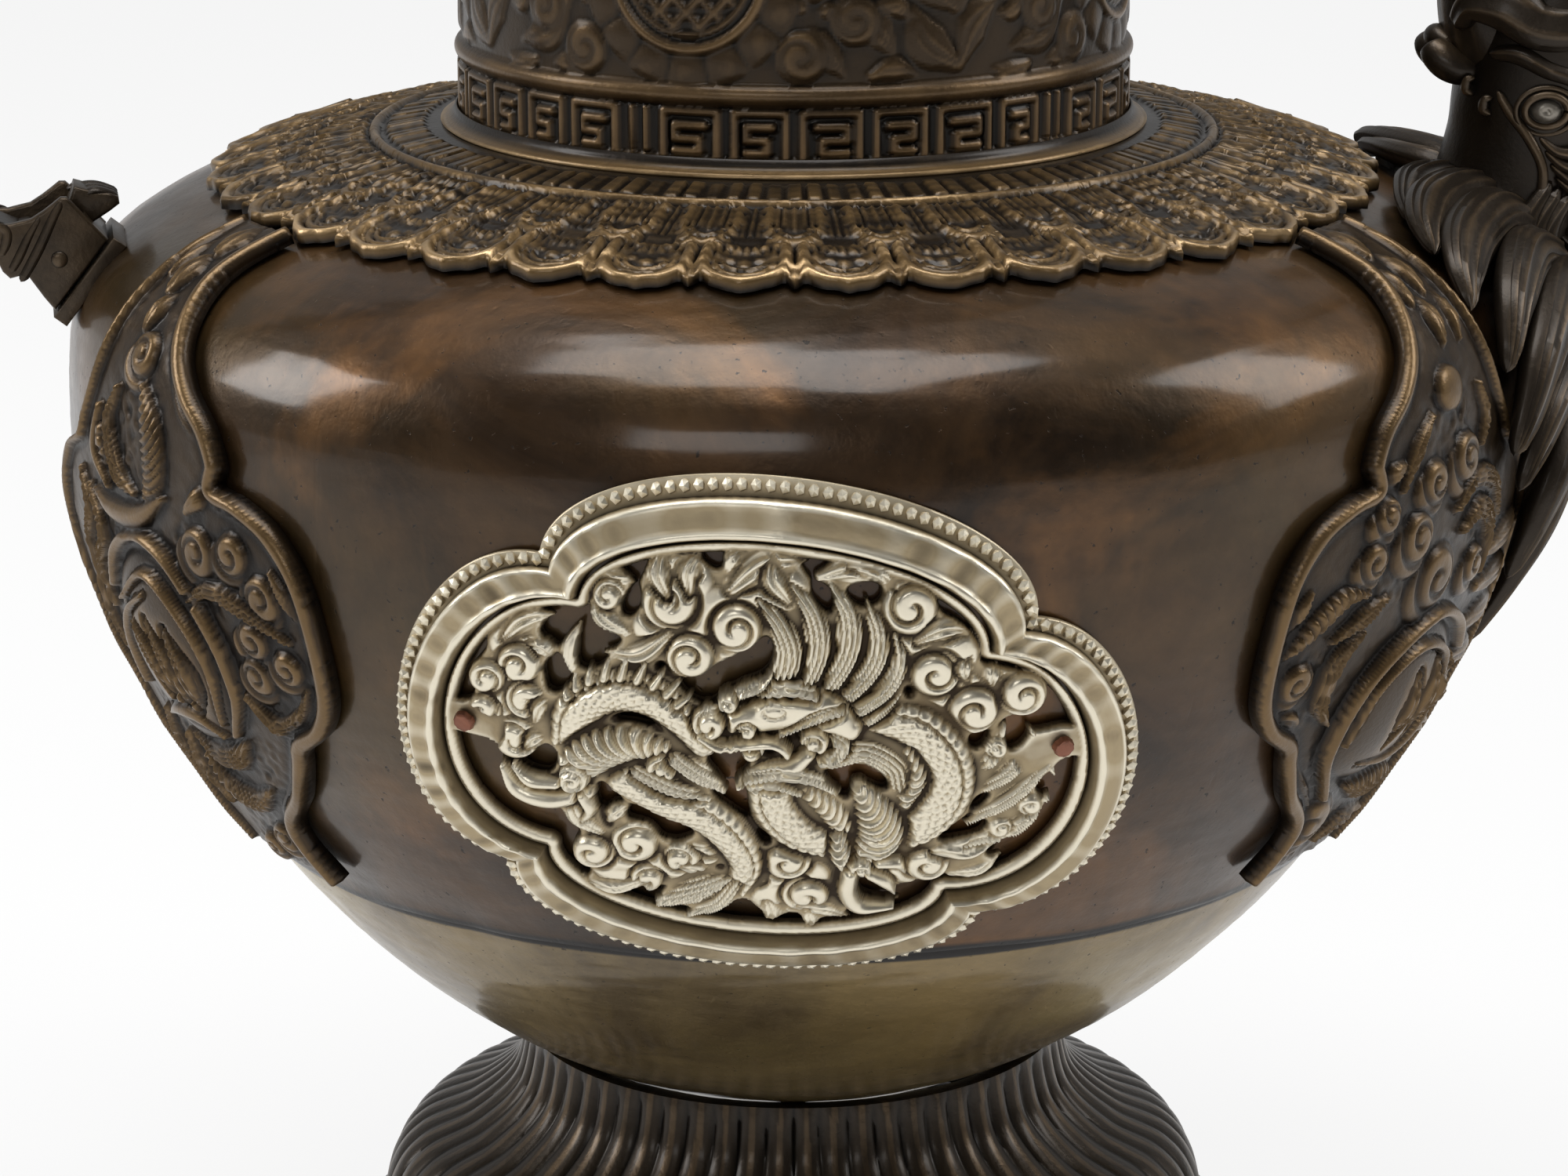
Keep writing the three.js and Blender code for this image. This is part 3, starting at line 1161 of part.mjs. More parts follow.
function neckPad() {
  const block = neckBlock(
    NECK_PAD_X + FLANGE_SINK, NECK_PAD_X - FLANGE_THICKNESS, NECK_PAD_HALF,
    HANDLE_WIDTH + 4 * FLANGE_MARGIN);
  const radius = NECK_RADIUS + SEAT_GAP;
  const neck = new THREE.CylinderGeometry(radius, radius, NECK_PAD_HALF * 4, ROUND * 2);
  neck.rotateX(Math.PI / 2);
  neck.translate(0, 0, HANDLE_NECK_Z);
  return cut(swung(block), [neck]);
}

// Assembly
addPiece('foot_skirt', footSkirt(), darkBronze());
addPiece('foot_base_ring', footBaseRing(), darkBronze());
addPiece('lower_bowl', lowerBowl(), brassyCopper());
addPiece('upper_shell', upperShell([spoutHole()]), copper());
addPiece('shoulder_collar', shoulderCollar(), wornBronze());
addPiece('neck_base_ring', neckBaseRing(), darkBronze());
addPiece('neck_shell', neckShell(), copper());
addPiece('mouth_rim', mouthRim(), copper());
addPiece('lid_rim_ring', lidRimRing(), copper());
addPiece('lid_spigot', lidSpigot(), copper());
addPiece('lid_dome', lidDome(), copper());
addPiece('finial_base', finialBase(), wornBronze());
addPiece('finial_bud', finialBud(), wornBronze());

for (const back of [false, true]) {
  const face = back ? 'back' : 'front';
  addPiece(`plaque_frame_${face}`, plaqueFrame(back), silver());
  addPiece(`plaque_bead_${face}`, plaqueBead(back), silver());
  addPiece(`plaque_panel_${face}`, openworkPanel(back), silver());
  [RIVET_LEFT, RIVET_RIGHT].forEach((place, i) => {
    addPiece(`plaque_rivet_${face}_${i + 1}`, rivet(place, back), redCopper());
  });
}

for (const front of [true, false]) {
  for (const right of [true, false]) {
    const name = `side_plate_${front ? 'front' : 'back'}_${right ? 'right' : 'left'}`;
    addPiece(name, sidePlate(front, right), wornBronze());
  }
}

addPiece('spout_root', spoutRoot(), darkBronze());
addPiece('spout_tube', spoutTube(), darkBronze());
addPiece('spout_lip', spoutLip(), darkBronze());
addPiece('spout_eye_front', eyeSolid(-1, EYE_RADIUS), silver());
addPiece('spout_eye_back', eyeSolid(1, EYE_RADIUS), silver());

addPiece('handle_flange', handleFlange(), darkBronze());
addPiece('handle_root', swung(handleRoot()), darkBronze());
addPiece('handle_strap', swung(handleStrap()), darkBronze());
addPiece('handle_neck_sleeve', swung(neckSleeve()), darkBronze());
addPiece('handle_neck_pad', neckPad(), darkBronze());
addPiece('handle_root_pin', swung(rootPin(PIN_RADIUS, PIN_LENGTH)), redCopper());
addPiece('handle_neck_pin', swung(neckPin(PIN_RADIUS, PIN_LENGTH)), redCopper());

export default teapot;
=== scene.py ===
import math

import bmesh
import bpy
import numpy as np
from mathutils import Matrix, Vector


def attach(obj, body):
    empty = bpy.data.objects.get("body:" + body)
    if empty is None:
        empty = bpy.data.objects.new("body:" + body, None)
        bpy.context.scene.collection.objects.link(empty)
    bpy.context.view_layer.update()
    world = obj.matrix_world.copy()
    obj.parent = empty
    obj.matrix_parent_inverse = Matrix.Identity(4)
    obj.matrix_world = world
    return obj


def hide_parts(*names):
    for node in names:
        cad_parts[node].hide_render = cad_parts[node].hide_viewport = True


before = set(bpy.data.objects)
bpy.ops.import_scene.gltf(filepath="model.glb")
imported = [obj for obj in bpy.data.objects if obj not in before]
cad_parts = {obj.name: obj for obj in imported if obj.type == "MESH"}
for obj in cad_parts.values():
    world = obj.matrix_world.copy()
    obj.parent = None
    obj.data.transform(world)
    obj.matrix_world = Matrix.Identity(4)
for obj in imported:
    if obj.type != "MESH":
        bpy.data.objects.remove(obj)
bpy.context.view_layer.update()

MM = 0.001
TURN = 2 * math.pi

# The pot's sizes, the same as in the model's own source
BODY_RADIUS = 120
BOWL_BOTTOM_Z = 36
EQUATOR_Z = 156
SHOULDER_TOP_Z = 202
NECK_RADIUS = 55
NECK_OPENING = 55.3
NECK_FOOT_Z = 198.5
SEAM_Z = 89
SHEET = 1.6
SKIN_GAP = 0.4
MEANDER_Z = 205.5
BEAD_Z = 213.8
FOLIAGE_Z = 216.4
MEANDER_H = BEAD_Z - MEANDER_Z
FRET_BLOCKS = 34
UPPER_BAND_Z = 262.4
NECK_TOP_Z = 277.4
MOUTH_Z = 277.7
LID_Z = 283
DOME_Z = 285.7
DOME_TOP_Z = 312.7
COLLAR_LOBES = 38
COLLAR_REACH = 42
COLLAR_START = 2.3
LOBE_SHOULDER = 33
LOBE_POWER = 2.3
HEM_RADIUS = 96.7
PLAQUE_TILT = math.radians(-7.5)
PLAQUE_OFFSET = -4.5
PLAQUE_CENTRE_Z = 128
PLAQUE_BEADS = 156
PLATE_AZIMUTH = math.radians(57)
PLATE_CENTRE_Z = 130
FLUTES = 64
FOOT_TOP_Z = 46.1
FOOT_BASE_Z = 8.3
LID_RADIUS = 59.8
LID_BORE = 52.9
BUD_HEIGHT = 23
SPOUT_ROOT_Z = 182
SPOUT_TIP_X = 182
SPOUT_TIP_Z = 300
SPOUT_LEAN = math.radians(50)
LIP_RADIUS = 9.3
PIPE_RADIUS = 7.4
PIPE_BORE = 5
HANDLE_FAR_X = -182
HANDLE_TOP_Z = 284

# Grid steps of the drawn reliefs. Finer ones make a piece too heavy
FRET_STEP = 0.22
LEAF_STEP = 0.3
PANEL_STEP = 0.3
FRONT_PLATE_STEP = 0.42
BACK_PLATE_STEP = 0.75


# The body's outline and places on it

def cubic(a, b, c, d, t):
    """A curve from a to d, pulled towards b and c."""
    t = t[:, None]
    a, b, c, d = (np.array(p, float) for p in (a, b, c, d))
    return (1 - t) ** 3 * a + 3 * (1 - t) ** 2 * t * b + 3 * (1 - t) * t * t * c + t ** 3 * d


def run_lengths(line):
    """How far along a line of points each one lies."""
    return np.concatenate([[0], np.cumsum(np.hypot(*np.diff(line, axis=0).T))])


def body_outline():
    """Distances along the outline from the bowl's bottom, with radius, height and outward direction."""
    share = np.linspace(0, 1, 4001)
    bowl = cubic((0, BOWL_BOTTOM_Z), (77, BOWL_BOTTOM_Z), (BODY_RADIUS, EQUATOR_Z - 32),
        (BODY_RADIUS, EQUATOR_Z), share)
    shoulder = cubic((BODY_RADIUS, EQUATOR_Z), (BODY_RADIUS, EQUATOR_Z + 26),
        (NECK_OPENING + 64, SHOULDER_TOP_Z - 64 * 0.1625), (NECK_OPENING, SHOULDER_TOP_Z), share)
    line = np.vstack([bowl, shoulder[1:]])
    length = run_lengths(line)
    place = np.linspace(0, length[-1], 2801)
    radius, height = (np.interp(place, length, line[:, i]) for i in (0, 1))
    slope = np.hypot(np.gradient(radius), np.gradient(height))
    return place, radius, height, np.gradient(height) / slope, -np.gradient(radius) / slope


OUT_S, OUT_R, OUT_Z, OUT_NR, OUT_NZ = body_outline()
TOP_S = OUT_S[-1]


def round_axis(turn, radius, z):
    """Places at a radius and a height. A turn of 0 is the front, and a quarter is the right."""
    return np.stack([radius * np.sin(turn), -radius * np.cos(turn), z], -1)


def outline(distance):
    """Radius, height and outward direction at distances along the outline."""
    return tuple(np.interp(distance, OUT_S, column) for column in (OUT_R, OUT_Z, OUT_NR, OUT_NZ))


def distance_at(z):
    """The distance along the outline at a height."""
    return float(np.interp(z, OUT_Z, OUT_S))


def on_body(turn, distance, lift=0.0):
    """Places on the body, lifted off it."""
    radius, z, nr, nz = outline(distance)
    radius = np.maximum(radius + nr * lift, 0)
    return round_axis(turn, radius, z + nz * lift)


SEAM_S = distance_at(SEAM_Z)
PLAQUE_S = distance_at(PLAQUE_CENTRE_Z)
PLATE_S = distance_at(PLATE_CENTRE_Z)


def smooth(value, low, high):
    """0 under low, 1 over high, with an easy run between them."""
    t = np.clip((value - low) / (high - low), 0, 1)
    return t * t * (3 - 2 * t)


def bump(value, centre, half):
    """1 at the centre, falling to 0 at half either side, rounded like a bead."""
    return np.sqrt(np.clip(1 - ((value - centre) / half) ** 2, 0, 1))


def wave_noise(u, v, seed, count=10, low=1, high=6):
    """Soft waves over a surface. u repeats every whole turn, from 0 to 1."""
    rng = np.random.default_rng(seed)
    total = np.zeros(np.broadcast(u, v).shape)
    for _ in range(count):
        around = rng.integers(low, high + 1)
        along = rng.uniform(-high, high)
        total = total + np.cos(TURN * (around * u + along * v) + rng.uniform(0, TURN))
    return total / count ** 0.5


# Metal finishes

class Wire:
    """A node socket that takes part in sums as a number does."""

    def __init__(self, finish, socket):
        self.finish = finish
        self.socket = socket

    def sum(self, operation, *values):
        inputs = {i: value for i, value in enumerate(values)}
        return self.finish.node("Math", settings={"operation": operation}, inputs=inputs)

    def __add__(self, other):
        return self.sum("ADD", self, other)

    def __radd__(self, other):
        return self.sum("ADD", other, self)

    def __sub__(self, other):
        return self.sum("SUBTRACT", self, other)

    def __rsub__(self, other):
        return self.sum("SUBTRACT", other, self)

    def __mul__(self, other):
        return self.sum("MULTIPLY", self, other)

    def __rmul__(self, other):
        return self.sum("MULTIPLY", other, self)

    def clipped(self):
        return self.sum("MINIMUM", self.sum("MAXIMUM", self, 0.0), 1.0)


class Finish:
    """A metal's material, built node by node."""

    def __init__(self, name):
        self.material = bpy.data.materials.new(name)
        self.material.use_nodes = True
        self.tree = self.material.node_tree
        self.shader = self.tree.nodes["Principled BSDF"]
        self.place = self.node("TexCoord", output="Object")

    def node(self, kind, output=0, settings=None, inputs=None):
        made = self.tree.nodes.new("ShaderNode" + kind)
        for key, value in (settings or {}).items():
            setattr(made, key, value)
        for key, value in (inputs or {}).items():
            self.feed(made.inputs[key], value)
        return Wire(self, made.outputs[output])

    def feed(self, socket, value):
        if isinstance(value, Wire):
            self.tree.links.new(value.socket, socket)
        elif socket.type == "RGBA" and len(value) == 3:
            socket.default_value = (*value, 1)
        else:
            socket.default_value = value

    def give(self, **sockets):
        for name, value in sockets.items():
            self.feed(self.shader.inputs[name.replace("_", " ")], value)

    def noise(self, scale, detail=4.0, rough=0.55, stretch=None, distort=0.0):
        place = self.place
        if stretch:
            place = self.node("Mapping", inputs={"Vector": place, "Scale": stretch})
        return self.node("TexNoise", output="Fac",
            inputs={"Vector": place, "Scale": scale, "Detail": detail, "Roughness": rough,
            "Distortion": distort})

    def mixed(self, factor, a, b):
        return self.node("Mix", output=2, settings={"data_type": "RGBA"}, inputs={0: factor, 6: a, 7: b})

    def ramp(self, factor, low, high):
        """0 under low, 1 over high."""
        return self.node("MapRange", output="Result", settings={"clamp": True},
            inputs={"Value": factor, "From Min": low, "From Max": high})

    def tone(self):
        """How high a place stands on its relief: 0 in a recess, 0.5 on the flat, 1 on a ridge. On some
        pieces it also carries painted light and shade: the seam's edge, the bowl under it, the frames'
        inner walls, and the tops and undersides of cast forms.
        """
        return self.node("Attribute", output="Fac", settings={"attribute_name": "tone"})

    def bumped(self, height, strength, depth):
        return self.node("Bump", inputs={"Strength": strength, "Distance": depth, "Height": height})


def copper_skin(name, deep, brown, warm, olive, olive_share):
    """Brown patinated sheet: mottled, with dark specks, rubbed warm patches and faint scratches, and
    painted shade where the tone is low.
    """
    f = Finish(name)
    cloud = f.ramp(f.noise(26, 6, 0.68, distort=0.8), 0.36, 0.64)
    fine = f.ramp(f.noise(150, 4, 0.65), 0.35, 0.7)
    tint = f.mixed(cloud, deep, brown)
    tint = f.mixed(f.ramp(f.noise(13, 5, 0.62, distort=1.0), 0.5, 0.68) * 0.8, tint, warm)
    tint = f.mixed(f.ramp(f.noise(9, 3, 0.5, (1, 1, 1.7)), 0.45, 0.62) * olive_share, tint, olive)
    tint = f.mixed(fine * 0.28, tint, deep)
    specks = f.ramp(f.noise(900, 2, 0.5), 0.69, 0.75)
    tint = f.mixed(specks * 0.7, tint, (0.012, 0.01, 0.008))
    # Painted shade: near black where the tone falls under 0.4, as along the seam's gap and just under the
    # shell's lip
    tint = f.mixed(f.ramp(0.5 - f.tone(), 0.1, 0.4), tint, (0.008, 0.006, 0.005))
    scratches = f.ramp(f.noise(260, 3, 0.5, (1, 1, 0.06), 0.3), 0.66, 0.74)
    f.give(Base_Color=tint, Metallic=0.6, Coat_Weight=0.5, Coat_Roughness=0.13, Specular_IOR_Level=0.25,
        Roughness=0.3 + fine * 0.12 + cloud * 0.06 + specks * 0.3,
        Normal=f.bumped(fine * 0.5 + scratches * -0.25 + specks * -0.6, 0.35, 0.0004))
    return f.material


def worked_bronze(name, recess, face, worn, rough=0.36, coat=0.35):
    """Chased or cast bronze: black in the recesses and brassy where hands rub the ridges."""
    f = Finish(name)
    tone = f.tone()
    grain = f.noise(120, 4, 0.6)
    fine = f.noise(1100, 3, 0.6)
    tint = f.mixed(f.ramp(tone + (grain - 0.5) * 0.25, 0.12, 0.5), recess, face)
    tint = f.mixed(f.ramp(tone + (grain - 0.5) * 0.5, 0.62, 1.02), tint, worn)
    f.give(Base_Color=tint, Metallic=0.7, Coat_Weight=coat, Coat_Roughness=0.22, Specular_IOR_Level=0.3,
        Roughness=rough + grain * 0.16 - f.ramp(tone, 0.6, 1.0) * 0.08,
        Normal=f.bumped(fine + grain, 0.4, 0.00022))
    return f.material


def tarnished_silver(name):
    """Warm old silver: polished ridges, yellow-cream flats, brown recesses and stains."""
    f = Finish(name)
    tone = f.tone()
    grain = f.noise(90, 4, 0.6)
    fine = f.noise(900, 3, 0.55)
    tint = f.mixed(f.ramp(tone + (grain - 0.5) * 0.16, 0.02, 0.36), (0.035, 0.024, 0.015),
        (0.43, 0.345, 0.215))
    tint = f.mixed(f.ramp(tone + (grain - 0.5) * 0.2, 0.42, 0.82), tint, (0.86, 0.79, 0.63))
    stains = f.ramp(f.noise(34, 5, 0.65, distort=0.8), 0.54, 0.7) * (1 - f.ramp(tone, 0.55, 0.8))
    tint = f.mixed(stains * 0.5, tint, (0.16, 0.11, 0.055))
    f.give(Base_Color=tint, Metallic=0.85, Roughness=0.43 - f.ramp(tone, 0.5, 1.0) * 0.14 + grain * 0.1,
        Normal=f.bumped(fine, 0.3, 0.00018))
    return f.material


COPPER = copper_skin("aged_copper", (0.025, 0.0145, 0.0075), (0.082, 0.042, 0.0165), (0.22, 0.1, 0.03),
    (0.1, 0.066, 0.024), 0.45)
# The lower bowl's sheet: brassier than the shell, and lighter still as a painted reflection of the pale
# floor
BRASSY_AND_PAINTED_SHEEN = copper_skin("brassy_copper", (0.12, 0.083, 0.037), (0.28, 0.2, 0.083), (0.3, 0.205, 0.075),
    (0.46, 0.355, 0.14), 0.8)
DARK = worked_bronze("dark_bronze", (0.01, 0.008, 0.006), (0.034, 0.025, 0.017), (0.17, 0.115, 0.065),
    coat=0.2)
WORN = worked_bronze("worn_bronze", (0.016, 0.011, 0.007), (0.17, 0.105, 0.042), (0.6, 0.41, 0.21))
PLATEWORK = worked_bronze("plate_bronze", (0.01, 0.007, 0.005), (0.05, 0.031, 0.015), (0.17, 0.105, 0.045),
    coat=0.2)
NECKWORK = worked_bronze("chased_copper", (0.01, 0.007, 0.004), (0.055, 0.034, 0.016), (0.22, 0.135, 0.06),
    coat=0.25)
SILVER = tarnished_silver("old_silver")
GREY = worked_bronze("eye_metal", (0.03, 0.027, 0.022), (0.2, 0.18, 0.15), (0.4, 0.36, 0.3), 0.3)
RED = worked_bronze("rivet_copper", (0.05, 0.02, 0.012), (0.28, 0.11, 0.065), (0.45, 0.2, 0.12), 0.5)


# Pieces

def finished(bm, name, material, replaces, slot, sharp=None, body="pot"):
    """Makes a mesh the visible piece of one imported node, smooth but for edges sharper than an angle."""
    mesh = bpy.data.meshes.new(name)
    bm.to_mesh(mesh)
    bm.free()
    piece = bpy.data.objects.new(name, mesh)
    bpy.context.scene.collection.objects.link(piece)
    mesh.materials.append(material)
    mesh.polygons.foreach_set("use_smooth", [True] * len(mesh.polygons))
    if sharp:
        mesh.set_sharp_from_angle(angle=math.radians(sharp))
    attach(piece, body)
    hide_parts(replaces)
    return piece


def shape_grid(bm, columns, rows, place):
    """Adds a grid of columns and rows, bent into a form by place(u, v), u and v from 0 to 1."""
    tone = bm.verts.layers.float.get("tone") or bm.verts.layers.float.new("tone")
    before = len(bm.verts)
    made = bmesh.ops.create_grid(bm, x_segments=columns, y_segments=rows, size=0.5)["verts"]
    flat = np.array([vert.co[:2] for vert in made]) + 0.5
    result = place(flat[:, 0], flat[:, 1])
    points, tones = result if isinstance(result, tuple) else (result, np.full(len(flat), 0.5))
    for vert, point, value in zip(made, points * MM, tones):
        vert.co = point
        vert[tone] = value
    bmesh.ops.remove_doubles(bm, verts=made, dist=2e-7)
    bm.verts.ensure_lookup_table()
    faces = {face for vert in bm.verts[before:] for face in vert.link_faces}
    bmesh.ops.recalc_face_normals(bm, faces=list(faces))


def wrapped(name, columns, rows, place, material, **rest):
    """A piece made of one bent grid."""
    bm = bmesh.new()
    shape_grid(bm, columns, rows, place)
    return finished(bm, name, material, **rest)


def stations(v, *stops):
    """Runs v from 0 to 1 through stops of (share, value, value, ...)."""
    table = np.array(stops, float)
    return tuple(np.interp(v, table[:, 0], table[:, i]) for i in range(1, table.shape[1]))


def spun(name, profile, material, steps=192, **rest):
    """A profile of (radius, z, tone) turned round the pot's axis."""
    bm = bmesh.new()
    tone = bm.verts.layers.float.new("tone")
    verts = [bm.verts.new((p[0] * MM, 0, p[1] * MM)) for p in profile]
    for vert, p in zip(verts, profile):
        vert[tone] = p[2] if len(p) > 2 else 0.5
    edges = [bm.edges.new(pair) for pair in zip(verts, verts[1:])]
    if profile[0][0] > 0:
        edges.append(bm.edges.new((verts[-1], verts[0])))
    bmesh.ops.spin(bm, geom=verts + edges, cent=(0, 0, 0), axis=(0, 0, 1), dvec=(0, 0, 0), angle=TURN,
        steps=steps, use_merge=True, use_duplicate=False)
    bmesh.ops.remove_doubles(bm, verts=bm.verts, dist=1e-6)
    bmesh.ops.recalc_face_normals(bm, faces=bm.faces)
    return finished(bm, name, material, **rest)


def with_ends(points):
    """Adds a point before the first and one after the last, in line with their neighbours."""
    p = np.array(points, float)
    return np.vstack([2 * p[0] - p[1], p, 2 * p[-1] - p[-2]])


def between(a, b, c, d, t):
    """The smooth line from b to c, where a lies before them and d after."""
    return 0.5 * (2 * b + (c - a) * t + (2 * a - 5 * b + 4 * c - d) * t ** 2 + (3 * b - a - 3 * c + d)
        * t ** 3)


def curve_points(points, spacing=0.3):
    """A smooth line through points of any number of columns, x and y first."""
    p = with_ends(points)
    out = []
    for i in range(1, len(p) - 2):
        steps = max(2, int(np.hypot(*(p[i + 1] - p[i])[:2]) / spacing))
        out.append(between(*p[i - 1:i + 3], np.linspace(0, 1, steps, endpoint=False)[:, None]))
    out.append(p[-2][None])
    return np.vstack(out)


def walked(line, at, step):
    """The place and the heading, in x and z, after a length at of a line."""
    length = run_lengths(line)

    def reached(far):
        return np.stack([np.interp(far, length, column) for column in line.T])
    heading = reached(at + step) - reached(at - step)
    return (*reached(at), *(heading / np.hypot(*heading)))


# A stroke lowers what lies round it, out to this many of its half widths
MOAT_END = 1.35


class Relief:
    """A chased sheet drawn as heights over a flat grid in millimetres."""

    def __init__(self, left, right, low, high, step):
        self.step = step
        self.x = np.arange(left, right + step / 2, step)
        self.y = np.arange(low, high + step / 2, step)
        self.X, self.Y = np.meshgrid(self.x, self.y)
        self.H = np.zeros_like(self.X)

    def window(self, left, right, low, high):
        i = np.searchsorted(self.y, [low, high])
        j = np.searchsorted(self.x, [left, right])
        return slice(*i), slice(*j)

    def stroke(self, points, texture=None, moat=0.5, fullness=0.5):
        """A raised stroke through points of (x, y, half width, height)."""
        line = curve_points(points, max(0.3, self.step))
        x, y, wide, tall = line.T
        wide, tall = np.maximum(wide, 0.05), np.maximum(tall, 0)
        reach = wide.max() * 1.4 + self.step
        w = self.window(x.min() - reach, x.max() + reach, y.min() - reach, y.max() + reach)
        X, Y = self.X[w], self.Y[w]
        if not X.size:
            return
        near = ((X[..., None] - x) ** 2 + (Y[..., None] - y) ** 2).argmin(-1)
        tx, ty = np.gradient(x), np.gradient(y)
        size = np.maximum(np.hypot(tx, ty), 1e-9)
        tx, ty = tx / size, ty / size
        dx, dy = X - x[near], Y - y[near]
        side = tx[near] * dy - ty[near] * dx
        ahead = tx[near] * dx + ty[near] * dy
        length = run_lengths(line[:, :2])
        q = np.hypot(dx, dy) / wide[near]
        value = tall[near] * np.clip(1 - q * q, 0, 1) ** fullness
        if texture:
            value = value * texture(length[near] + ahead, side, wide[near])
        H = self.H[w]
        H = np.where(q < MOAT_END, H * (1 - moat * (1 - smooth(q, 1.0, MOAT_END))), H)
        self.H[w] = np.maximum(H, value)

    def curl(self, x, y, radius, height, hand=1, start=0.0, turns=1.4):
        """A rounded knob with a spiral cut into it, the usual end of a cloud scroll."""
        w = self.window(x - radius * 1.4, x + radius * 1.4, y - radius * 1.4, y + radius * 1.4)
        dx, dy = self.X[w] - x, self.Y[w] - y
        r = np.hypot(dx, dy)
        q = r / radius
        phase = np.mod(q * turns - hand * np.arctan2(dy, dx) / TURN + start, 1)
        groove = 1 - 0.4 * np.exp(-((phase - 0.5) / 0.14) ** 2) * smooth(q, 0.1, 0.24)
        value = height * groove * np.clip(1 - q ** 5, 0, 1) ** 0.5
        H = self.H[w]
        H = np.where(q < 1.22, H * (1 - 0.4 * (1 - smooth(q, 1.0, 1.22))), H)
        self.H[w] = np.maximum(H, np.where(q < 1, value, 0))

    def boss(self, x, y, rx, ry, height, power=0.5):
        q = ((self.X - x) / rx) ** 2 + ((self.Y - y) / ry) ** 2
        self.H = np.maximum(self.H, height * np.clip(1 - q, 0, 1) ** power)

    def leaf(self, x0, y0, x1, y1, wide, height, bend=0.15):
        """A smooth pointed leaf with a groove along its middle and one on either side."""
        mx, my = (x0 + x1) / 2 - (y1 - y0) * bend, (y0 + y1) / 2 + (x1 - x0) * bend
        self.stroke([(x0, y0, wide * 0.4, height * 0.9), (mx, my, wide, height),
            (x1, y1, 0.2, height * 0.5)], lambda s, d,
            w: 1 - 0.3 * np.exp(-(d / 0.32) ** 2) - 0.2 * np.exp(-((np.abs(d) / w - 0.55) / 0.13) ** 2),
            moat=0.6)

    def sampled(self, field, x, y):
        """Reads a field of this grid at any places."""
        fx = np.clip((x - self.x[0]) / self.step, 0, len(self.x) - 1.001)
        fy = np.clip((y - self.y[0]) / self.step, 0, len(self.y) - 1.001)
        i, j = fy.astype(int), fx.astype(int)
        a, b = fy - i, fx - j
        return ((field[i, j] * (1 - b) + field[i, j + 1] * b) * (1 - a) + (field[i + 1,
            j] * (1 - b) + field[i + 1, j + 1] * b) * a)

    def tones(self, reach=1.6, contrast=0.45, level=0.0):
        """Ridges come out over 0.5 and recesses under it."""
        H = self.H
        near = blurred(H, max(1, int(reach / self.step)))
        wide = blurred(H, max(2, int(reach * 3 / self.step)))
        return np.clip(0.5 + contrast * (H - near) * 1.3 + contrast * 0.5 * (H - wide) + level, 0, 1)


def blurred(field, reach):
    """Box averages over reach cells either way, twice in each direction."""
    for _ in range(2):
        for axis in (0, 1):
            pad = [(reach + 1, reach) if a == axis else (0, 0) for a in (0, 1)]
            total = np.cumsum(np.pad(field, pad, mode="edge"), axis=axis)
            count = field.shape[axis]
            high = np.take(total, np.arange(2 * reach + 1, 2 * reach + 1 + count), axis=axis)
            low = np.take(total, np.arange(0, count), axis=axis)
            field = (high - low) / (2 * reach + 1)
    return field


def polygon_distance(X, Y, outline_points):
    """Distance to a closed outline, positive inside it."""
    p = np.array(outline_points, float)
    best = np.full(X.shape, 1e9)
    inside = np.zeros(X.shape, bool)
    for (x0, y0), (x1, y1) in zip(p, np.roll(p, -1, axis=0)):
        ex, ey = x1 - x0, y1 - y0
        t = np.clip(((X - x0) * ex + (Y - y0) * ey) / max(ex * ex + ey * ey, 1e-9), 0, 1)
        best = np.minimum(best, np.hypot(X - x0 - t * ex, Y - y0 - t * ey))
        crosses = (y0 > Y) != (y1 > Y)
        with np.errstate(divide="ignore", invalid="ignore"):
            inside ^= crosses & (X < (x1 - x0) * (Y - y0) / (y1 - y0 if y1 != y0 else 1e-9) + x0)
    return np.where(inside, best, -best)


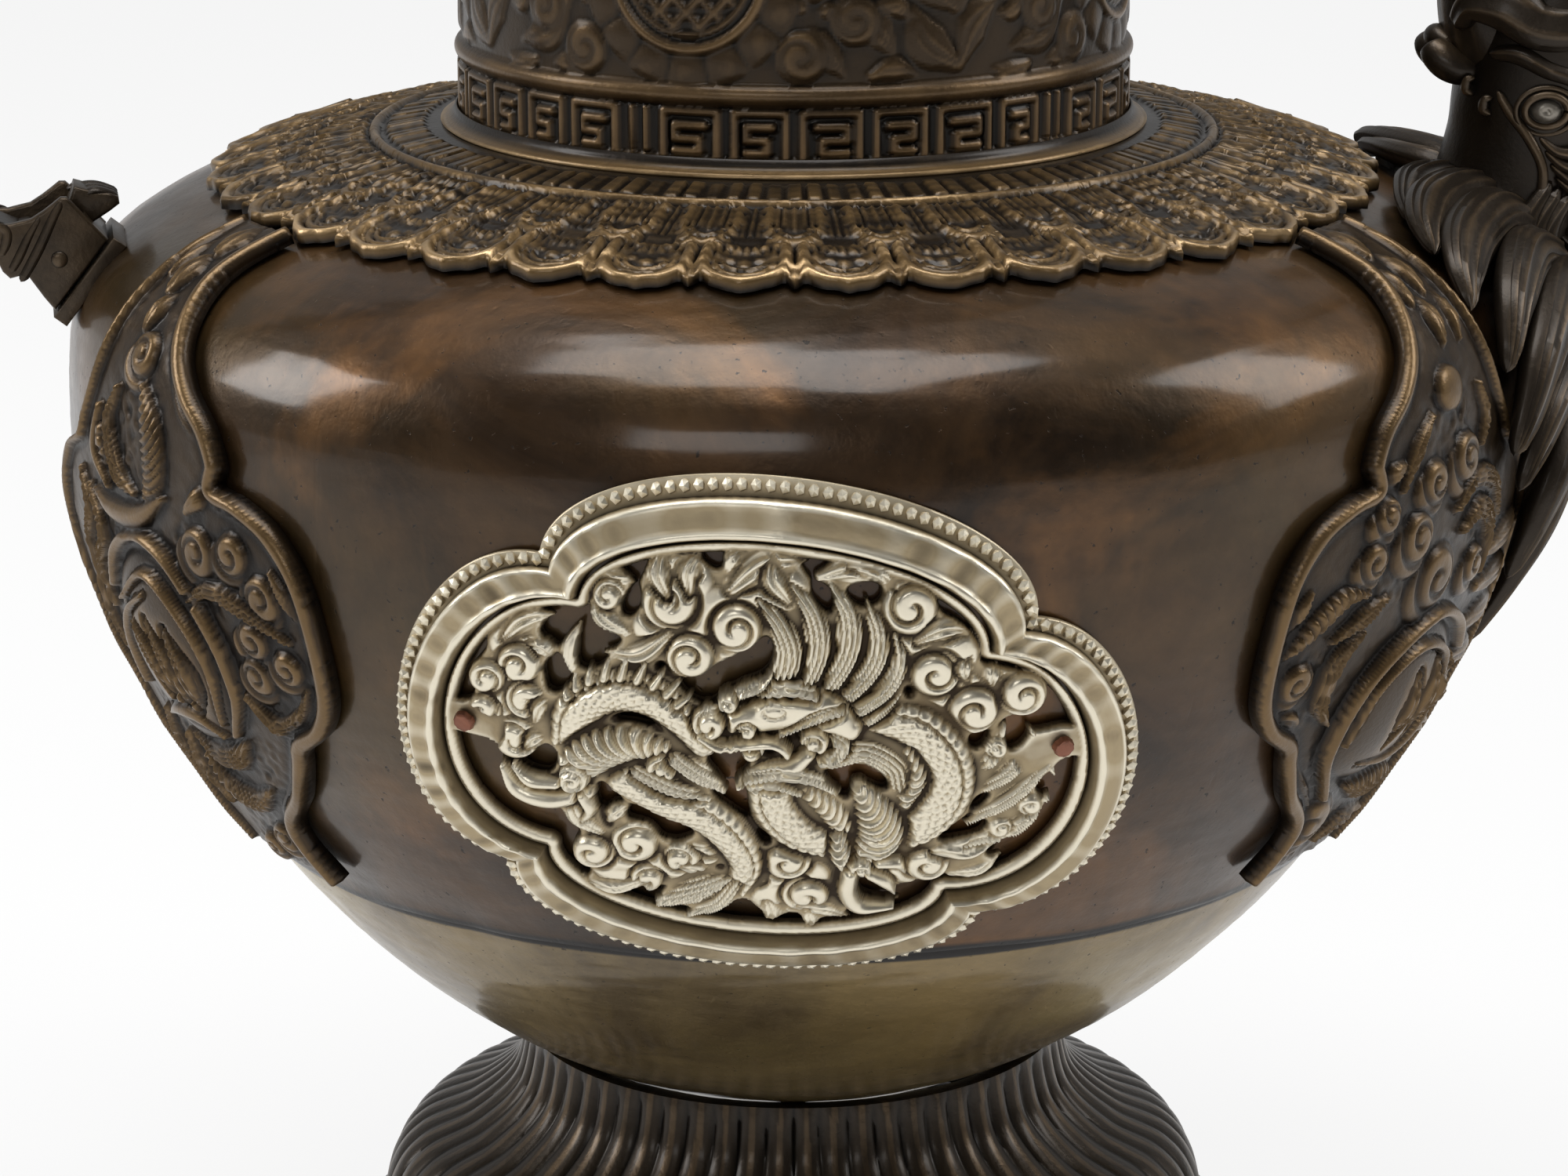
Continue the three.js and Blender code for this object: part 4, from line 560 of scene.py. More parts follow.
def relief_piece(name, relief, edge, wrap, floor, material, tones, **rest):
    """Cuts a drawn relief out along edge > 0, gives it a wall and an underside, and bends it on."""
    bm = bmesh.new()
    tone = bm.verts.layers.float.new("tone")
    columns, rows = len(relief.x) - 1, len(relief.y) - 1
    made = bmesh.ops.create_grid(bm, x_segments=columns, y_segments=rows, size=0.5)["verts"]
    flat = np.array([vert.co[:2] for vert in made]) + 0.5
    x = relief.x[0] + flat[:, 0] * (relief.x[-1] - relief.x[0])
    y = relief.y[0] + flat[:, 1] * (relief.y[-1] - relief.y[0])
    for vert, px, py in zip(made, x, y):
        vert.co = (px, py, 0)
    value = relief.sampled(edge, x, y)
    bm.verts.index_update()
    lost = [face for face in bm.faces if sum(value[v.index] > 0 for v in face.verts) < 3]
    bmesh.ops.delete(bm, geom=lost, context="FACES")
    stray = [vert for vert in bm.verts if not vert.link_faces]
    bmesh.ops.delete(bm, geom=stray, context="VERTS")
    gy, gx = np.gradient(edge, relief.step)
    border = [vert for vert in bm.verts if vert.is_boundary]
    bx, by = np.array([v.co.x for v in border]), np.array([v.co.y for v in border])
    off = relief.sampled(edge, bx, by)
    sx, sy = relief.sampled(gx, bx, by), relief.sampled(gy, bx, by)
    size = np.maximum(sx * sx + sy * sy, 0.05)
    limit = relief.step * 0.75
    for vert, mx, my in zip(border, np.clip(off * sx / size, -limit, limit),
            np.clip(off * sy / size, -limit, limit)):
        vert.co.x -= mx
        vert.co.y -= my
    upper = bmesh.ops.extrude_face_region(bm, geom=bm.faces[:], use_keep_orig=True)["geom"]
    upper = [item for item in upper if isinstance(item, bmesh.types.BMVert)]
    bmesh.ops.translate(bm, verts=upper, vec=(0, 0, 1))
    bmesh.ops.recalc_face_normals(bm, faces=bm.faces)
    co = np.array([vert.co for vert in bm.verts])
    top = co[:, 2] > 0.5
    lift = np.where(top, relief.sampled(relief.H, co[:, 0], co[:, 1]), floor)
    lift = np.maximum(lift, floor + np.where(top, 0.25, 0))
    shade = np.where(top, relief.sampled(tones, co[:, 0], co[:, 1]), 0.15)
    points = wrap(co[:, 0], co[:, 1], lift) * MM
    for vert, point, value in zip(bm.verts, points, shade):
        vert.co = point
        vert[tone] = value
    return finished(bm, name, material, **rest)


# Body sheets

def dented(turn, distance):
    """Hammer waves and small dents of the raised sheet, all inward."""
    u = turn / TURN
    v = distance / TOP_S
    lift = -0.28 + 0.1 * wave_noise(u, v * 1.5, 3, 14, 1, 7) + 0.035 * wave_noise(u, v * 6, 5, 16, 9, 26)
    rng = np.random.default_rng(12)
    for _ in range(90):
        at_turn, at = rng.uniform(-math.pi, math.pi), rng.uniform(60, TOP_S - 20)
        size, depth = rng.uniform(2.5, 9), rng.uniform(0.06, 0.22)
        across = (np.mod(turn - at_turn + math.pi, TURN) - math.pi) * 110
        lift = lift - depth * np.exp(-(across ** 2 + (distance - at) ** 2) / size ** 2)
    return np.minimum(lift, 0)


def seam_waver(turn):
    """How far the shell's lower edge strays from a true circle."""
    return 0.5 * np.sin(3 * turn + 1) + 0.35 * np.sin(8 * turn) + 0.2 * np.sin(19 * turn + 2)


def upper_shell():
    """The raised shell with its inner side, its lower edge wavering over the seam and painted dark as the
    shade in the seam's gap.
    """
    def place(u, v):
        turn = u * TURN
        distance, skin = stations(v, (0, SEAM_S, 0), (0.021, SEAM_S + 0.8, 0), (0.9, TOP_S, 0),
            (0.915, TOP_S, 1), (0.985, SEAM_S, 1), (1, SEAM_S, 0))
        edge = SEAM_S + seam_waver(turn) - 0.4
        distance = edge + (distance - SEAM_S) * (TOP_S - edge) / (TOP_S - SEAM_S)
        near_seam = np.exp(-((distance - edge) / 1.6) ** 2)
        lift = dented(turn, distance) + 0.34 * near_seam
        # Painted shade: the first 0.85 mm over the edge is dark, for the shadow in the seam's gap; the
        # slight rise just above it is a painted highlight on the lip
        tone = 0.5 + 0.1 * np.exp(-((distance - edge - 0.9) / 0.5) ** 2) - 0.5 * (distance < edge + 0.85)
        lift = np.where(skin > 0, -SHEET, lift)
        return on_body(turn, distance, lift), tone
    return wrapped("upper_shell_dressed", 360, 150, place, COPPER, replaces="upper_shell", slot="copper",
        sharp=50)


def lower_bowl():
    """The raised bowl, tucked in under the upper shell at the seam, with painted shade on the band just
    under the shell's lip.
    """
    def place(u, v):
        turn = u * TURN
        distance, skin = stations(v, (0, 0, 0), (0.74, SEAM_S - 4, 0), (0.8, SEAM_S + 1.5, 0),
            (0.82, SEAM_S + 4.5, 1), (0.84, SEAM_S + 4.5, 2), (1, 0, 2))
        lift = dented(turn, distance) - 0.5 * smooth(distance, SEAM_S - 2.2, SEAM_S - 0.2)
        lift = lift - 1.5 * smooth(distance, SEAM_S - 0.8, SEAM_S + 0.8)
        inner = np.where(skin > 1.5, -2 * SHEET - 0.5, -SHEET - 0.3)
        lift = np.where(skin > 0.5, np.where(distance > SEAM_S - 4, inner, -SHEET), lift)
        # Painted shade: the tone is 0 from 2.4 mm under the seam upward, so the band under the shell's lip
        # is dark
        return on_body(turn, distance, lift), 0.5 * (distance < SEAM_S - 2.4)
    return wrapped("lower_bowl_dressed", 300, 110, place, BRASSY_AND_PAINTED_SHEEN, replaces="lower_bowl",
        slot="brassy_copper", sharp=50)


# Shoulder collar

def round_end(across, reach, half, shoulder, tip, power):
    """How far out of a petal a place lies: 0 on its middle line, 1 on its edge."""
    sides = (np.abs(across) / half) ** power
    end = (np.maximum(reach - shoulder, 0) / (tip - shoulder)) ** power
    return (sides + end) ** (1 / power)


def collar_hem(turn):
    """How far the hem reaches from the neck: rounded lobes with small leaf tips between them."""
    pitch = TURN / COLLAR_LOBES
    across = np.mod(turn / pitch, 1) - 0.5
    rounding = np.clip(1 - np.abs(2 * across) ** LOBE_POWER, 0, 1) ** (1 / LOBE_POWER)
    lobe = LOBE_SHOULDER + (COLLAR_REACH - LOBE_SHOULDER) * rounding
    lobe = lobe + 0.5 * np.exp(-(across / 0.07) ** 2) - 0.4
    from_cusp = (0.5 - np.abs(across)) * pitch * HEM_RADIUS
    leaf = COLLAR_REACH - 1.3 - 0.5 * from_cusp - 0.5 * from_cusp ** 2
    torn = np.exp(-((turn + 0.385) * 97 / 3.4) ** 4) * (2.4 + 0.8 * np.sin(turn * 900))
    ragged = 0.18 * np.sin(turn * 61 + 1) + 0.12 * np.sin(turn * 173)
    return np.maximum(lobe, leaf) - 0.2 - torn + np.minimum(ragged, 0.15)


def collar_height(turn, reach):
    """The chasing: a ring of short bars, long ribbed tongues, and the hem's ridged lobes."""
    pitch = TURN / COLLAR_LOBES
    radius = np.interp(reach, TOP_S - OUT_S[::-1], OUT_R[::-1])
    across = np.mod(turn / pitch, 1) - 0.5
    other = np.mod(turn / pitch + 0.5, 1) - 0.5
    own = np.mod(np.sin(np.floor(turn / pitch) * 12.99) * 43758.5, 1) - 0.5
    half = np.interp(reach, [14, 20, 25, 30, 34], [0.2, 0.26, 0.38, 0.47, 0.5])
    q = round_end(across, reach, half, LOBE_SHOULDER, COLLAR_REACH + 0.2, LOBE_POWER)
    lobe = np.maximum(1.35 * bump(q, 0.86, 0.16) ** 0.8, 0.85 * bump(q, 0.62, 0.075))
    lobe = np.maximum(lobe, 0.75 * bump(q, 0.47, 0.06))
    x = across * pitch * radius
    below = reach - 27.4 - 0.6 * own
    far, angle = np.hypot(x, below), np.arctan2(x, below)
    fan = (0.55 + 0.3 * np.cos(17 * angle)) * bump(far, 3.6, 1.9) * (np.abs(angle) < 0.85)
    drop = 0.8 * bump(np.hypot(x - 0.3 * own, (reach - 35.2) * 0.8), 0, 1.2)
    dots = 0.7 * bump(np.hypot(np.abs(x) - 2.2, reach - 34), 0, 0.9)
    inside = np.maximum(np.maximum(fan, drop), np.maximum(dots, 0.3 * smooth(-q, -0.4, -0.3)))
    lobe = np.where(q < 0.4, np.where(reach > 26, inside, 0.35 + 0.3 * np.cos(TURN * x / 1.3)), lobe)
    q2 = round_end(other, reach, 0.36, 20, 29.4, 2.1)
    x2 = other * pitch * radius
    tongue = np.maximum(1.1 * bump(q2, 0.87, 0.13), 0.85 * bump(q2, 0.63, 0.085))
    ribs = 0.2 + (0.35 + 0.3 * np.cos(TURN * x2 / 1.5)) * smooth(-q2, -0.5, -0.3)
    tongue = np.where(q2 < 0.53, ribs, tongue)
    height = np.where(q2 < 1.02, tongue, lobe)
    leaf_x = (0.5 - np.abs(across)) * pitch * radius
    leaf = 1.15 * bump(leaf_x, 0, 2.2) * smooth(reach, 34, 37.5) * (0.8 + 0.2 * np.cos(leaf_x * 5))
    height = np.where((q > 1.0) & (q2 >= 1.02), leaf, height)
    bar = smooth(np.abs(np.cos(turn * 63 + 0.6 * np.sin(turn * 7))), 0.3,
        0.62) * (0.8 + 0.2 * np.sin(turn * 41))
    bars = 0.85 * bar * smooth(reach, 4.6, 5.4) * smooth(-reach, -11.9, -11.1)
    height = np.where(reach < 12.5, bars, height * smooth(reach, 14.3, 15.4))
    return np.maximum(height, 1.25 * bump(reach, 13.5, 0.85))


def shoulder_collar():
    """The scalloped sheet round the neck, chased and worn bright on its ridges."""
    def place(u, v):
        turn = u * TURN
        share, under = stations(v, (0, 0, 0), (0.9, 1, 0), (0.915, 1, 1), (0.99, 0, 1), (1, 0, 0))
        hem = collar_hem(turn)
        reach = COLLAR_START + (hem - COLLAR_START) * share
        height = collar_height(turn, reach)
        waver = 0.12 * wave_noise(u, share, 31, 10, 3, 14)
        rounded = smooth(hem - reach, 0, 0.8) * 0.6 + 0.4
        lift = SKIN_GAP + 0.7 + (height + waver * (reach > 15)) * rounded * 0.95
        lift = np.where(under > 0, SKIN_GAP, np.minimum(lift, SKIN_GAP + 2.6))
        worn = 0.75 + 0.25 * wave_noise(u, share, 77, 12, 2, 20)
        tone = 0.03 + 0.75 * np.clip((height - 0.1) / 1.1, 0, 1) * worn
        tone = tone + 0.22 * np.exp(-((hem - reach - 1) / 0.8) ** 2) - 0.3 * smooth(reach - hem, -0.5, 0)
        return on_body(turn, TOP_S - reach, lift), np.where(under > 0, 0.05, np.clip(tone, 0, 1))
    return wrapped("shoulder_collar_chased", COLLAR_LOBES * 24, 104, place, WORN,
        replaces="shoulder_collar", slot="worn_bronze", sharp=60)


# Neck

def key_tile(relief, x, wide, flip):
    """One block of the fret band: a hooked key inside a squared frame, with flat broad strokes."""
    h = wide / 2
    side = -1 if flip else 1
    top = MEANDER_H - 1.3
    frame_line = [(-h + 0.8, 0.3), (-h + 0.8, top), (h - 0.8, top), (h - 0.8, 0.3)]
    hook = [(-h + 2.9, top - 2.2), (h - 2.7, top - 2.2), (h - 2.7, 2.7), (-h + 3.7, 2.7), (-h + 3.7, 0.8),
        (h - 2.7, 0.8)]
    for line in (frame_line, hook):
        for (x0, y0), (x1, y1) in zip(line, line[1:]):
            relief.stroke([(x + side * x0, y0, 0.72, 0.9), (x + side * x1, y1, 0.72, 0.9)], moat=0.0,
                fullness=0.22)


def striped_block(relief, x, wide):
    """A narrow block between keys, with upright bars only."""
    bars = max(2, round(wide / 1.9))
    for k in range(bars):
        at = x + (k + 0.5 - bars / 2) * wide / bars
        relief.stroke([(at, 0.6, 0.55, 0.8), (at, MEANDER_H - 1.2, 0.6, 0.85)], moat=0.0, fullness=0.3)


def fret_band():
    """The whole ring of keys, with a narrow striped block after every eighth."""
    length = TURN * NECK_RADIUS
    relief = Relief(0, length, 0, MEANDER_H, FRET_STEP)
    rng = np.random.default_rng(4)
    count = FRET_BLOCKS
    wide = rng.uniform(0.9, 1.1, count)
    wide[4::9] = 0.55
    edges = np.concatenate([[0], np.cumsum(wide) / wide.sum() * length])
    for i in range(count):
        middle, size = (edges[i] + edges[i + 1]) / 2, edges[i + 1] - edges[i] - 1.1
        if wide[i] < 0.6:
            striped_block(relief, middle, size)
        else:
            key_tile(relief, middle, size, i > count / 2)
    relief.H = np.maximum(relief.H, 0.9 * smooth(relief.Y, MEANDER_H - 0.4, MEANDER_H - 0.1))
    return relief


def foliage_band():
    """A quarter of the neck's scrolling leaves: a ring medallion between two palmettes."""
    wide = TURN * NECK_RADIUS / 4
    relief = Relief(-wide / 2, wide / 2, 0, 46, LEAF_STEP)
    for side in (-1, 1):
        for x0, y0, x1, y1, leaf_width in ((15, 7, 25, 1.6, 3), (22, 12, 33, 4.4, 3.4),
                (18, 12.5, 15.5, 23, 2.8), (25, 14, 36, 17.6, 3.4), (22, 19, 34, 27.4, 3.2),
                (17, 30, 24.6, 23.4, 2.8), (24, 30, 37, 35.6, 3.4), (16, 33, 9.6, 42.6, 3),
                (22, 42, 35, 41.4, 3), (12, 40, 3.4, 44.6, 2.6), (43, 3, 35.6, 12.4, 3.6),
                (43, 12, 36.4, 23.4, 3.6), (43, 24, 37.4, 34.6, 3.6), (43, 34, 38, 43.6, 3.2),
                (29, 1.6, 36.5, 1.6, 1.9), (30, 12.6, 35.6, 10, 1.8), (14.6, 26, 14, 32.4, 1.8),
                (31.4, 29.6, 36, 26.8, 1.7), (23.6, 38, 31, 38.8, 1.9), (13, 44.4, 20.6, 45, 1.6),
                (33.6, 20.6, 38.6, 22.4, 1.6)):
            relief.leaf(side * x0, y0, side * x1, y1, leaf_width, 0.8)
        for x, y, size, hand in ((18, 4.8, 4.2, 1), (26.5, 10.4, 4, -1), (20, 16.6, 3.6, 1),
                (27.5, 22, 3.8, -1), (19.6, 28.6, 4, 1), (28, 34.4, 3.6, -1), (18.6, 39.4, 3.6, 1)):
            relief.curl(side * x, y, size, 0.8, side * hand)
    X, Y = relief.X, relief.Y
    r = np.hypot(X, Y - 18)
    angle = np.arctan2(X, 18 - Y)
    petals = 0.7 * bump(r, 15.8, 2.8) * np.abs(np.cos(angle * 8)) ** 0.5
    disc = r < 18.6
    plate = np.maximum(petals, 0.95 * bump(r, 12.4, 1))
    plate = np.maximum(plate, 0.6 * bump(r, 10.2, 0.5))
    lattice = 0.6 * bump(np.mod((X + Y - 18) / 4.4, 1), 0.5, 0.22)
    lattice = np.maximum(lattice, 0.6 * bump(np.mod((X - Y + 18) / 4.4, 1), 0.5, 0.22))
    plate = np.where(r < 9.4, lattice, plate)
    relief.H = np.where(disc, plate, relief.H)
    return relief


def neck_shell():
    """The neck's tube with the fret band, two beads and four quarters of leaves."""
    fret, leaves = fret_band(), foliage_band()
    fret_tone, leaf_tone = fret.tones(1.1, 0.6), leaves.tones(1.4, 0.6)
    quarter = leaves.x[-1] - leaves.x[0]

    def place(u, v):
        turn = u * TURN
        bore = NECK_RADIUS - SHEET
        z, inside = stations(v, (0, NECK_FOOT_Z, 0), (0.045, MEANDER_Z, 0), (0.19, BEAD_Z, 0),
            (0.25, FOLIAGE_Z, 0), (0.84, UPPER_BAND_Z, 0), (0.94, NECK_TOP_Z, 0), (0.948, NECK_TOP_Z, 1),
            (0.99, NECK_FOOT_Z, 1), (1, NECK_FOOT_Z, 0))
        arc = turn * NECK_RADIUS
        low = np.where((z > MEANDER_Z) & (z < BEAD_Z), fret.sampled(fret.H, arc, z - MEANDER_Z), 0)
        across = np.mod(arc + 17 + quarter / 2, quarter) - quarter / 2
        in_leaves = (z > FOLIAGE_Z) & (z < UPPER_BAND_Z)
        high = np.where(in_leaves, leaves.sampled(leaves.H, across, z - FOLIAGE_Z), 0)
        bead = 1.3 * bump(z, (BEAD_Z + FOLIAGE_Z) / 2, 1.5) + 1.1 * bump(z, UPPER_BAND_Z - 1.5, 1.4)
        radius = NECK_RADIUS - 0.75 + np.maximum(low * 0.95, high * 0.85) + bead
        radius = radius + np.where((z > UPPER_BAND_Z) | (z < MEANDER_Z), 0.7, 0)
        radius = np.where(inside > 0, bore, radius)
        tone = np.where(low > 0, fret.sampled(fret_tone, arc, z - MEANDER_Z), 0.5)
        tone = np.where(in_leaves, leaves.sampled(leaf_tone, across, z - FOLIAGE_Z), tone)
        tone = np.where((z > MEANDER_Z) & (z < BEAD_Z), fret.sampled(fret_tone, arc, z - MEANDER_Z), tone)
        tone = np.clip(tone + bead * 0.25, 0, 1)
        return round_axis(turn, radius, z), tone
    return wrapped("neck_chased", 660, 145, place, NECKWORK, replaces="neck_shell", slot="copper", sharp=60)


def plain_rings():
    """The moulding where the neck meets the collar, and the mouth's rolled rim."""
    foot = SHOULDER_TOP_Z + 0.3
    spun("neck_base_cove", [(NECK_OPENING, foot + 0.1), (NECK_OPENING + 1.7, foot + 0.1, 0.7),
        (NECK_OPENING + 2.7, foot + 0.8, 0.8), (NECK_OPENING + 1.7, foot + 1.2, 0.6),
        (NECK_OPENING + 0.9, foot + 1.7, 0.25), (NECK_OPENING + 0.4, foot + 2.3, 0.1),
        (NECK_OPENING + 0.3, foot + 3.2, 0.1), (NECK_OPENING, foot + 3.2, 0.1)], WORN,
        replaces="neck_base_ring", slot="dark_bronze")
    bore = NECK_RADIUS - SHEET
    out = NECK_RADIUS + 2.6
    spun("mouth_rim_turned", [(bore, MOUTH_Z), (NECK_RADIUS, MOUTH_Z), (NECK_RADIUS + 1.4, MOUTH_Z + 0.6),
        (out - 0.3, MOUTH_Z + 1.4), (out, MOUTH_Z + 2.6), (out - 0.3, MOUTH_Z + 3.8, 0.7),
        (out - 1, MOUTH_Z + 4.6, 0.7), (out - 1.8, MOUTH_Z + 5, 0.6), (bore + 0.4, MOUTH_Z + 5),
        (bore, MOUTH_Z + 4.6)], COPPER, replaces="mouth_rim", slot="copper", sharp=50)


# Lid

def lid_rings():
    """The moulded rim, and the spigot that sits in the neck."""
    edge, inside = LID_RADIUS, LID_BORE
    spun("lid_rim_turned", [(inside, LID_Z), (edge - 0.4, LID_Z), (edge + 0.4, LID_Z + 0.5, 0.7),
        (edge + 0.6, LID_Z + 1.2, 0.8), (edge + 0.4, LID_Z + 1.9, 0.7), (edge - 0.3, LID_Z + 2.4),
        (inside, LID_Z + 2.4)], WORN, body="lid", replaces="lid_rim_ring", slot="copper", sharp=50)
    spun("lid_spigot_turned", [(51, LID_Z - 11), (52.3, LID_Z - 11), (52.6, LID_Z - 10.6),
        (52.6, DOME_Z - 0.3), (51, DOME_Z - 0.3)], COPPER, body="lid", replaces="lid_spigot",
        slot="copper", sharp=50)


def lid_dome():
    """The raised dome, chased with petals round its lower part."""
    share = np.linspace(0, 1, 40)
    low = LID_RADIUS - 2
    dome = cubic((low, DOME_Z), (low - 3, DOME_Z + 20.25), (low * 0.55, DOME_TOP_Z - 4), (13, DOME_TOP_Z),
        share)

    def place(u, v):
        turn = u * TURN
        at, under = stations(v, (0, 0, 0), (0.8, 1, 0), (0.86, 1.3, 0), (0.87, 1.3, 1), (0.9, 1, 1),
            (0.99, 0, 1), (1, 0, 0))
        r = np.interp(at, np.append(share, 1.3), np.append(dome[:, 0], 0))
        z = np.interp(at, np.append(share, 1.3), np.append(dome[:, 1], DOME_TOP_Z))
        petal = np.abs(np.sin(turn * 12)) ** 0.35
        chased = smooth(at, 0.06, 0.1) * (1 - smooth(at, 0.3 + 0.1 * petal, 0.34 + 0.1 * petal))
        dip = -0.5 + 0.45 * chased * petal + 0.05 * wave_noise(u, at, 21, 10, 2, 9)
        dip = np.minimum(dip * smooth(at, 0.0, 0.05) * (1 - smooth(at, 0.94, 1.0)), 0)
        r = np.where(under > 0, np.maximum(r - SHEET, 0), r + dip * 0.6)
        z = np.where(under > 0, np.maximum(z - SHEET, DOME_Z), z + dip * 0.8)
        tone = np.where(under > 0, 0.3, 0.45 + 0.4 * chased * petal)
        return round_axis(turn, r, z), tone
    wrapped("lid_dome_raised", 288, 90, place, COPPER, body="lid", replaces="lid_dome", slot="copper",
        sharp=60)


def lid_finial():
    """The turned base and the chased bud on it."""
    base = DOME_TOP_Z + 0.3
    spun("finial_base_turned", [(0, base), (10.2, base), (10.9, base + 0.5, 0.7), (11.3, base + 1.4, 0.85),
        (10.6, base + 2.2, 0.6), (8.4, base + 2.9, 0.35), (6.8, base + 3.8, 0.3), (6.7, base + 4.8, 0.5),
        (7.4, base + 5.4, 0.8), (7.2, base + 6, 0.7), (0, base + 6)], WORN, body="lid",
        replaces="finial_base", slot="worn_bronze", steps=96)

    def bud(u, v):
        turn = u * TURN
        at = v * BUD_HEIGHT
        r = np.interp(at, [0, 0.01, 2, 5, 7.5, 10.5, 14, 17, 20, 22.3, BUD_HEIGHT],
            [0, 4.4, 6.4, 7.7, 8, 7.5, 5.8, 4, 2.2, 1, 0])
        petal = np.abs(np.cos(turn * 4 + smooth(at, 8, 12) * TURN / 16 * 4)) ** 0.5
        r = r * (0.9 + 0.1 * petal) - 0.02
        return round_axis(turn, r, base + 6.3 + at), 0.25 + 0.5 * petal
    wrapped("finial_bud_chased", 96, 60, bud, WORN, body="lid", replaces="finial_bud", slot="worn_bronze")


# Foot

def foot_pieces():
    """The fluted bell and the plain moulding that the pot stands on."""
    top, base = FOOT_TOP_Z, FOOT_BASE_Z
    drop = top + 1 - 8
    knots = np.array([(46, top), (48.65, top + 1 - drop * 0.26), (56.1, top + 1 - drop * 0.43),
        (65.1, top + 1 - drop * 0.54), (69.85, top + 1 - drop * 0.7), (72.5, base)])
    bell = curve_points(knots, 0.4)

    def place(u, v):
        turn = u * TURN
        at, under = stations(v, (0, 0, 0), (0.84, 1, 0), (0.86, 1, 1), (0.98, 0, 1), (1, 0, 0))
        share = np.linspace(0, 1, len(bell))
        r, z = np.interp(at, share, bell[:, 0]), np.interp(at, share, bell[:, 1])
        waver = 0.12 * np.sin(turn * 7 + at * 5) + 0.1 * np.sin(turn * 23 - at * 9)
        flute = np.abs(np.sin(turn * FLUTES / 2 + waver * (1 - at)))
        valley = 1 - flute ** 0.55
        depth = 1.15 * smooth(at, 0.0, 0.06) * (1 - 0.3 * smooth(at, 0.96, 1.0))
        r = np.where(under > 0, r - 2.8, r - 0.05 - depth * valley)
        tone = np.where(under > 0, 0.2, 0.62 - 0.55 * valley + 0.16 * (flute > 0.93))
        return round_axis(turn, r, z), tone
    wrapped("foot_fluted", FLUTES * 12, 60, place, DARK, replaces="foot_skirt", slot="dark_bronze",
        sharp=60)
    inside = 66.1
    spun("foot_base_moulding", [(inside, 0.4), (inside + 0.4, 0), (77.3, 0), (78.2, 0.5, 0.6),
        (78.7, 1.8, 0.7), (78.75, 3.1, 0.75), (78.3, 4.4, 0.65), (77.2, 5.2, 0.4), (76.6, 5.6, 0.3),
        (76, 6.6, 0.6), (75.2, 7.5, 0.75), (74, 8, 0.6), (inside, 8)], DARK, replaces="foot_base_ring",
        slot="dark_bronze", sharp=50)


# Silver plaques

def on_plaque(x, y, lift, face):
    """Places on the body from the plaque's own flat drawing."""
    across = x * math.cos(PLAQUE_TILT) - y * math.sin(PLAQUE_TILT) + PLAQUE_OFFSET
    distance = PLAQUE_S + x * math.sin(PLAQUE_TILT) + y * math.cos(PLAQUE_TILT)
    turn = across / outline(distance)[0] + (math.pi if face == "back" else 0)
    return on_body(turn, distance, lift)


def four_lobes(share, half_width, half_height, cusp_x, cusp_y):
    """Places round the plaque's outline, share from 0 to 1."""
    lobe = np.floor(np.mod(share, 1) * 4).astype(int)
    t = np.mod(share * 4, 1)
    angle = (lobe * 90 + t * 180) * math.pi / 180
    x = np.choose(lobe, [0, -cusp_x, 0, cusp_x]) + np.choose(lobe,
        [cusp_x, half_width - cusp_x] * 2) * np.cos(angle)
    y = np.choose(lobe, [cusp_y, 0, -cusp_y, 0]) + np.choose(lobe,
        [half_height - cusp_y, cusp_y] * 2) * np.sin(angle)
    return x, y


def even_shares(count, *sizes):
    """Shares round a four-lobed outline that lie evenly along it."""
    fine = np.linspace(0, 1, 4001)
    x, y = four_lobes(np.minimum(fine, 0.999999), *sizes)
    length = run_lengths(np.stack([x, y], -1))
    return np.interp(np.arange(count) / count * length[-1], length, fine)


FRAME_OUTER = (57, 44.5, 36.5, 27.5)
FRAME_INNER = (48.7, 35.2, 30, 22.5)


def plaque_frame(face):
    """The four-lobed frame: a channel for the beads, a flat band and a bright inner ridge."""
    # Rows of (share across the frame, lift, tone). The low tones down the inner wall to the panel are
    # painted shade
    profile = [(0.0, SKIN_GAP, 0.3), (0.0, 1.3, 0.5), (0.03, 1.5, 0.6), (0.3, 1.5, 0.2), (0.33, 1.55, 0.1),
        (0.345, 2.6, 0.35), (0.36, 3.5, 0.6), (0.385, 3.95, 0.9), (0.42, 4.15, 0.85), (0.46, 4.25, 0.5),
        (0.54, 4.35, 0.42), (0.64, 4.45, 0.4), (0.74, 4.5, 0.42), (0.8, 4.6, 0.55), (0.84, 5.0, 0.9),
        (0.88, 5.15, 0.98), (0.92, 5.0, 0.85), (0.95, 4.3, 0.45), (0.97, 3.2, 0.25), (0.995, 2.0, 0.1),
        (0.995, SKIN_GAP, 0.1)]
    table = np.array(profile)
    rows = len(table)

    def place(u, v):
        at = np.mod(np.round(v * rows), rows).astype(int)
        share, lift, tone = table[at].T
        ox, oy = four_lobes(np.minimum(u, 0.9999999), *FRAME_OUTER)
        ix, iy = four_lobes(np.minimum(u, 0.9999999), *FRAME_INNER)
        x, y = ox + (ix - ox) * share, oy + (iy - oy) * share
        ripple = wave_noise(u, share * 0, 31, 16, 18, 70)
        waver = wave_noise(u, share * 0.3, 33, 10, 2, 9)
        worked = (share > 0.36) & (share < 0.97)
        lift = lift + np.where(worked, np.minimum(0.09 * ripple - 0.12 + 0.12 * waver, 0.1), 0)
        tone = tone + np.where(worked, 0.12 * ripple, 0)
        return on_plaque(x, y, lift, face), np.clip(tone, 0, 1)
    return wrapped(f"plaque_frame_{face}_moulded", 640, rows, place, SILVER,
        replaces=f"plaque_frame_{face}", slot="silver", sharp=55)


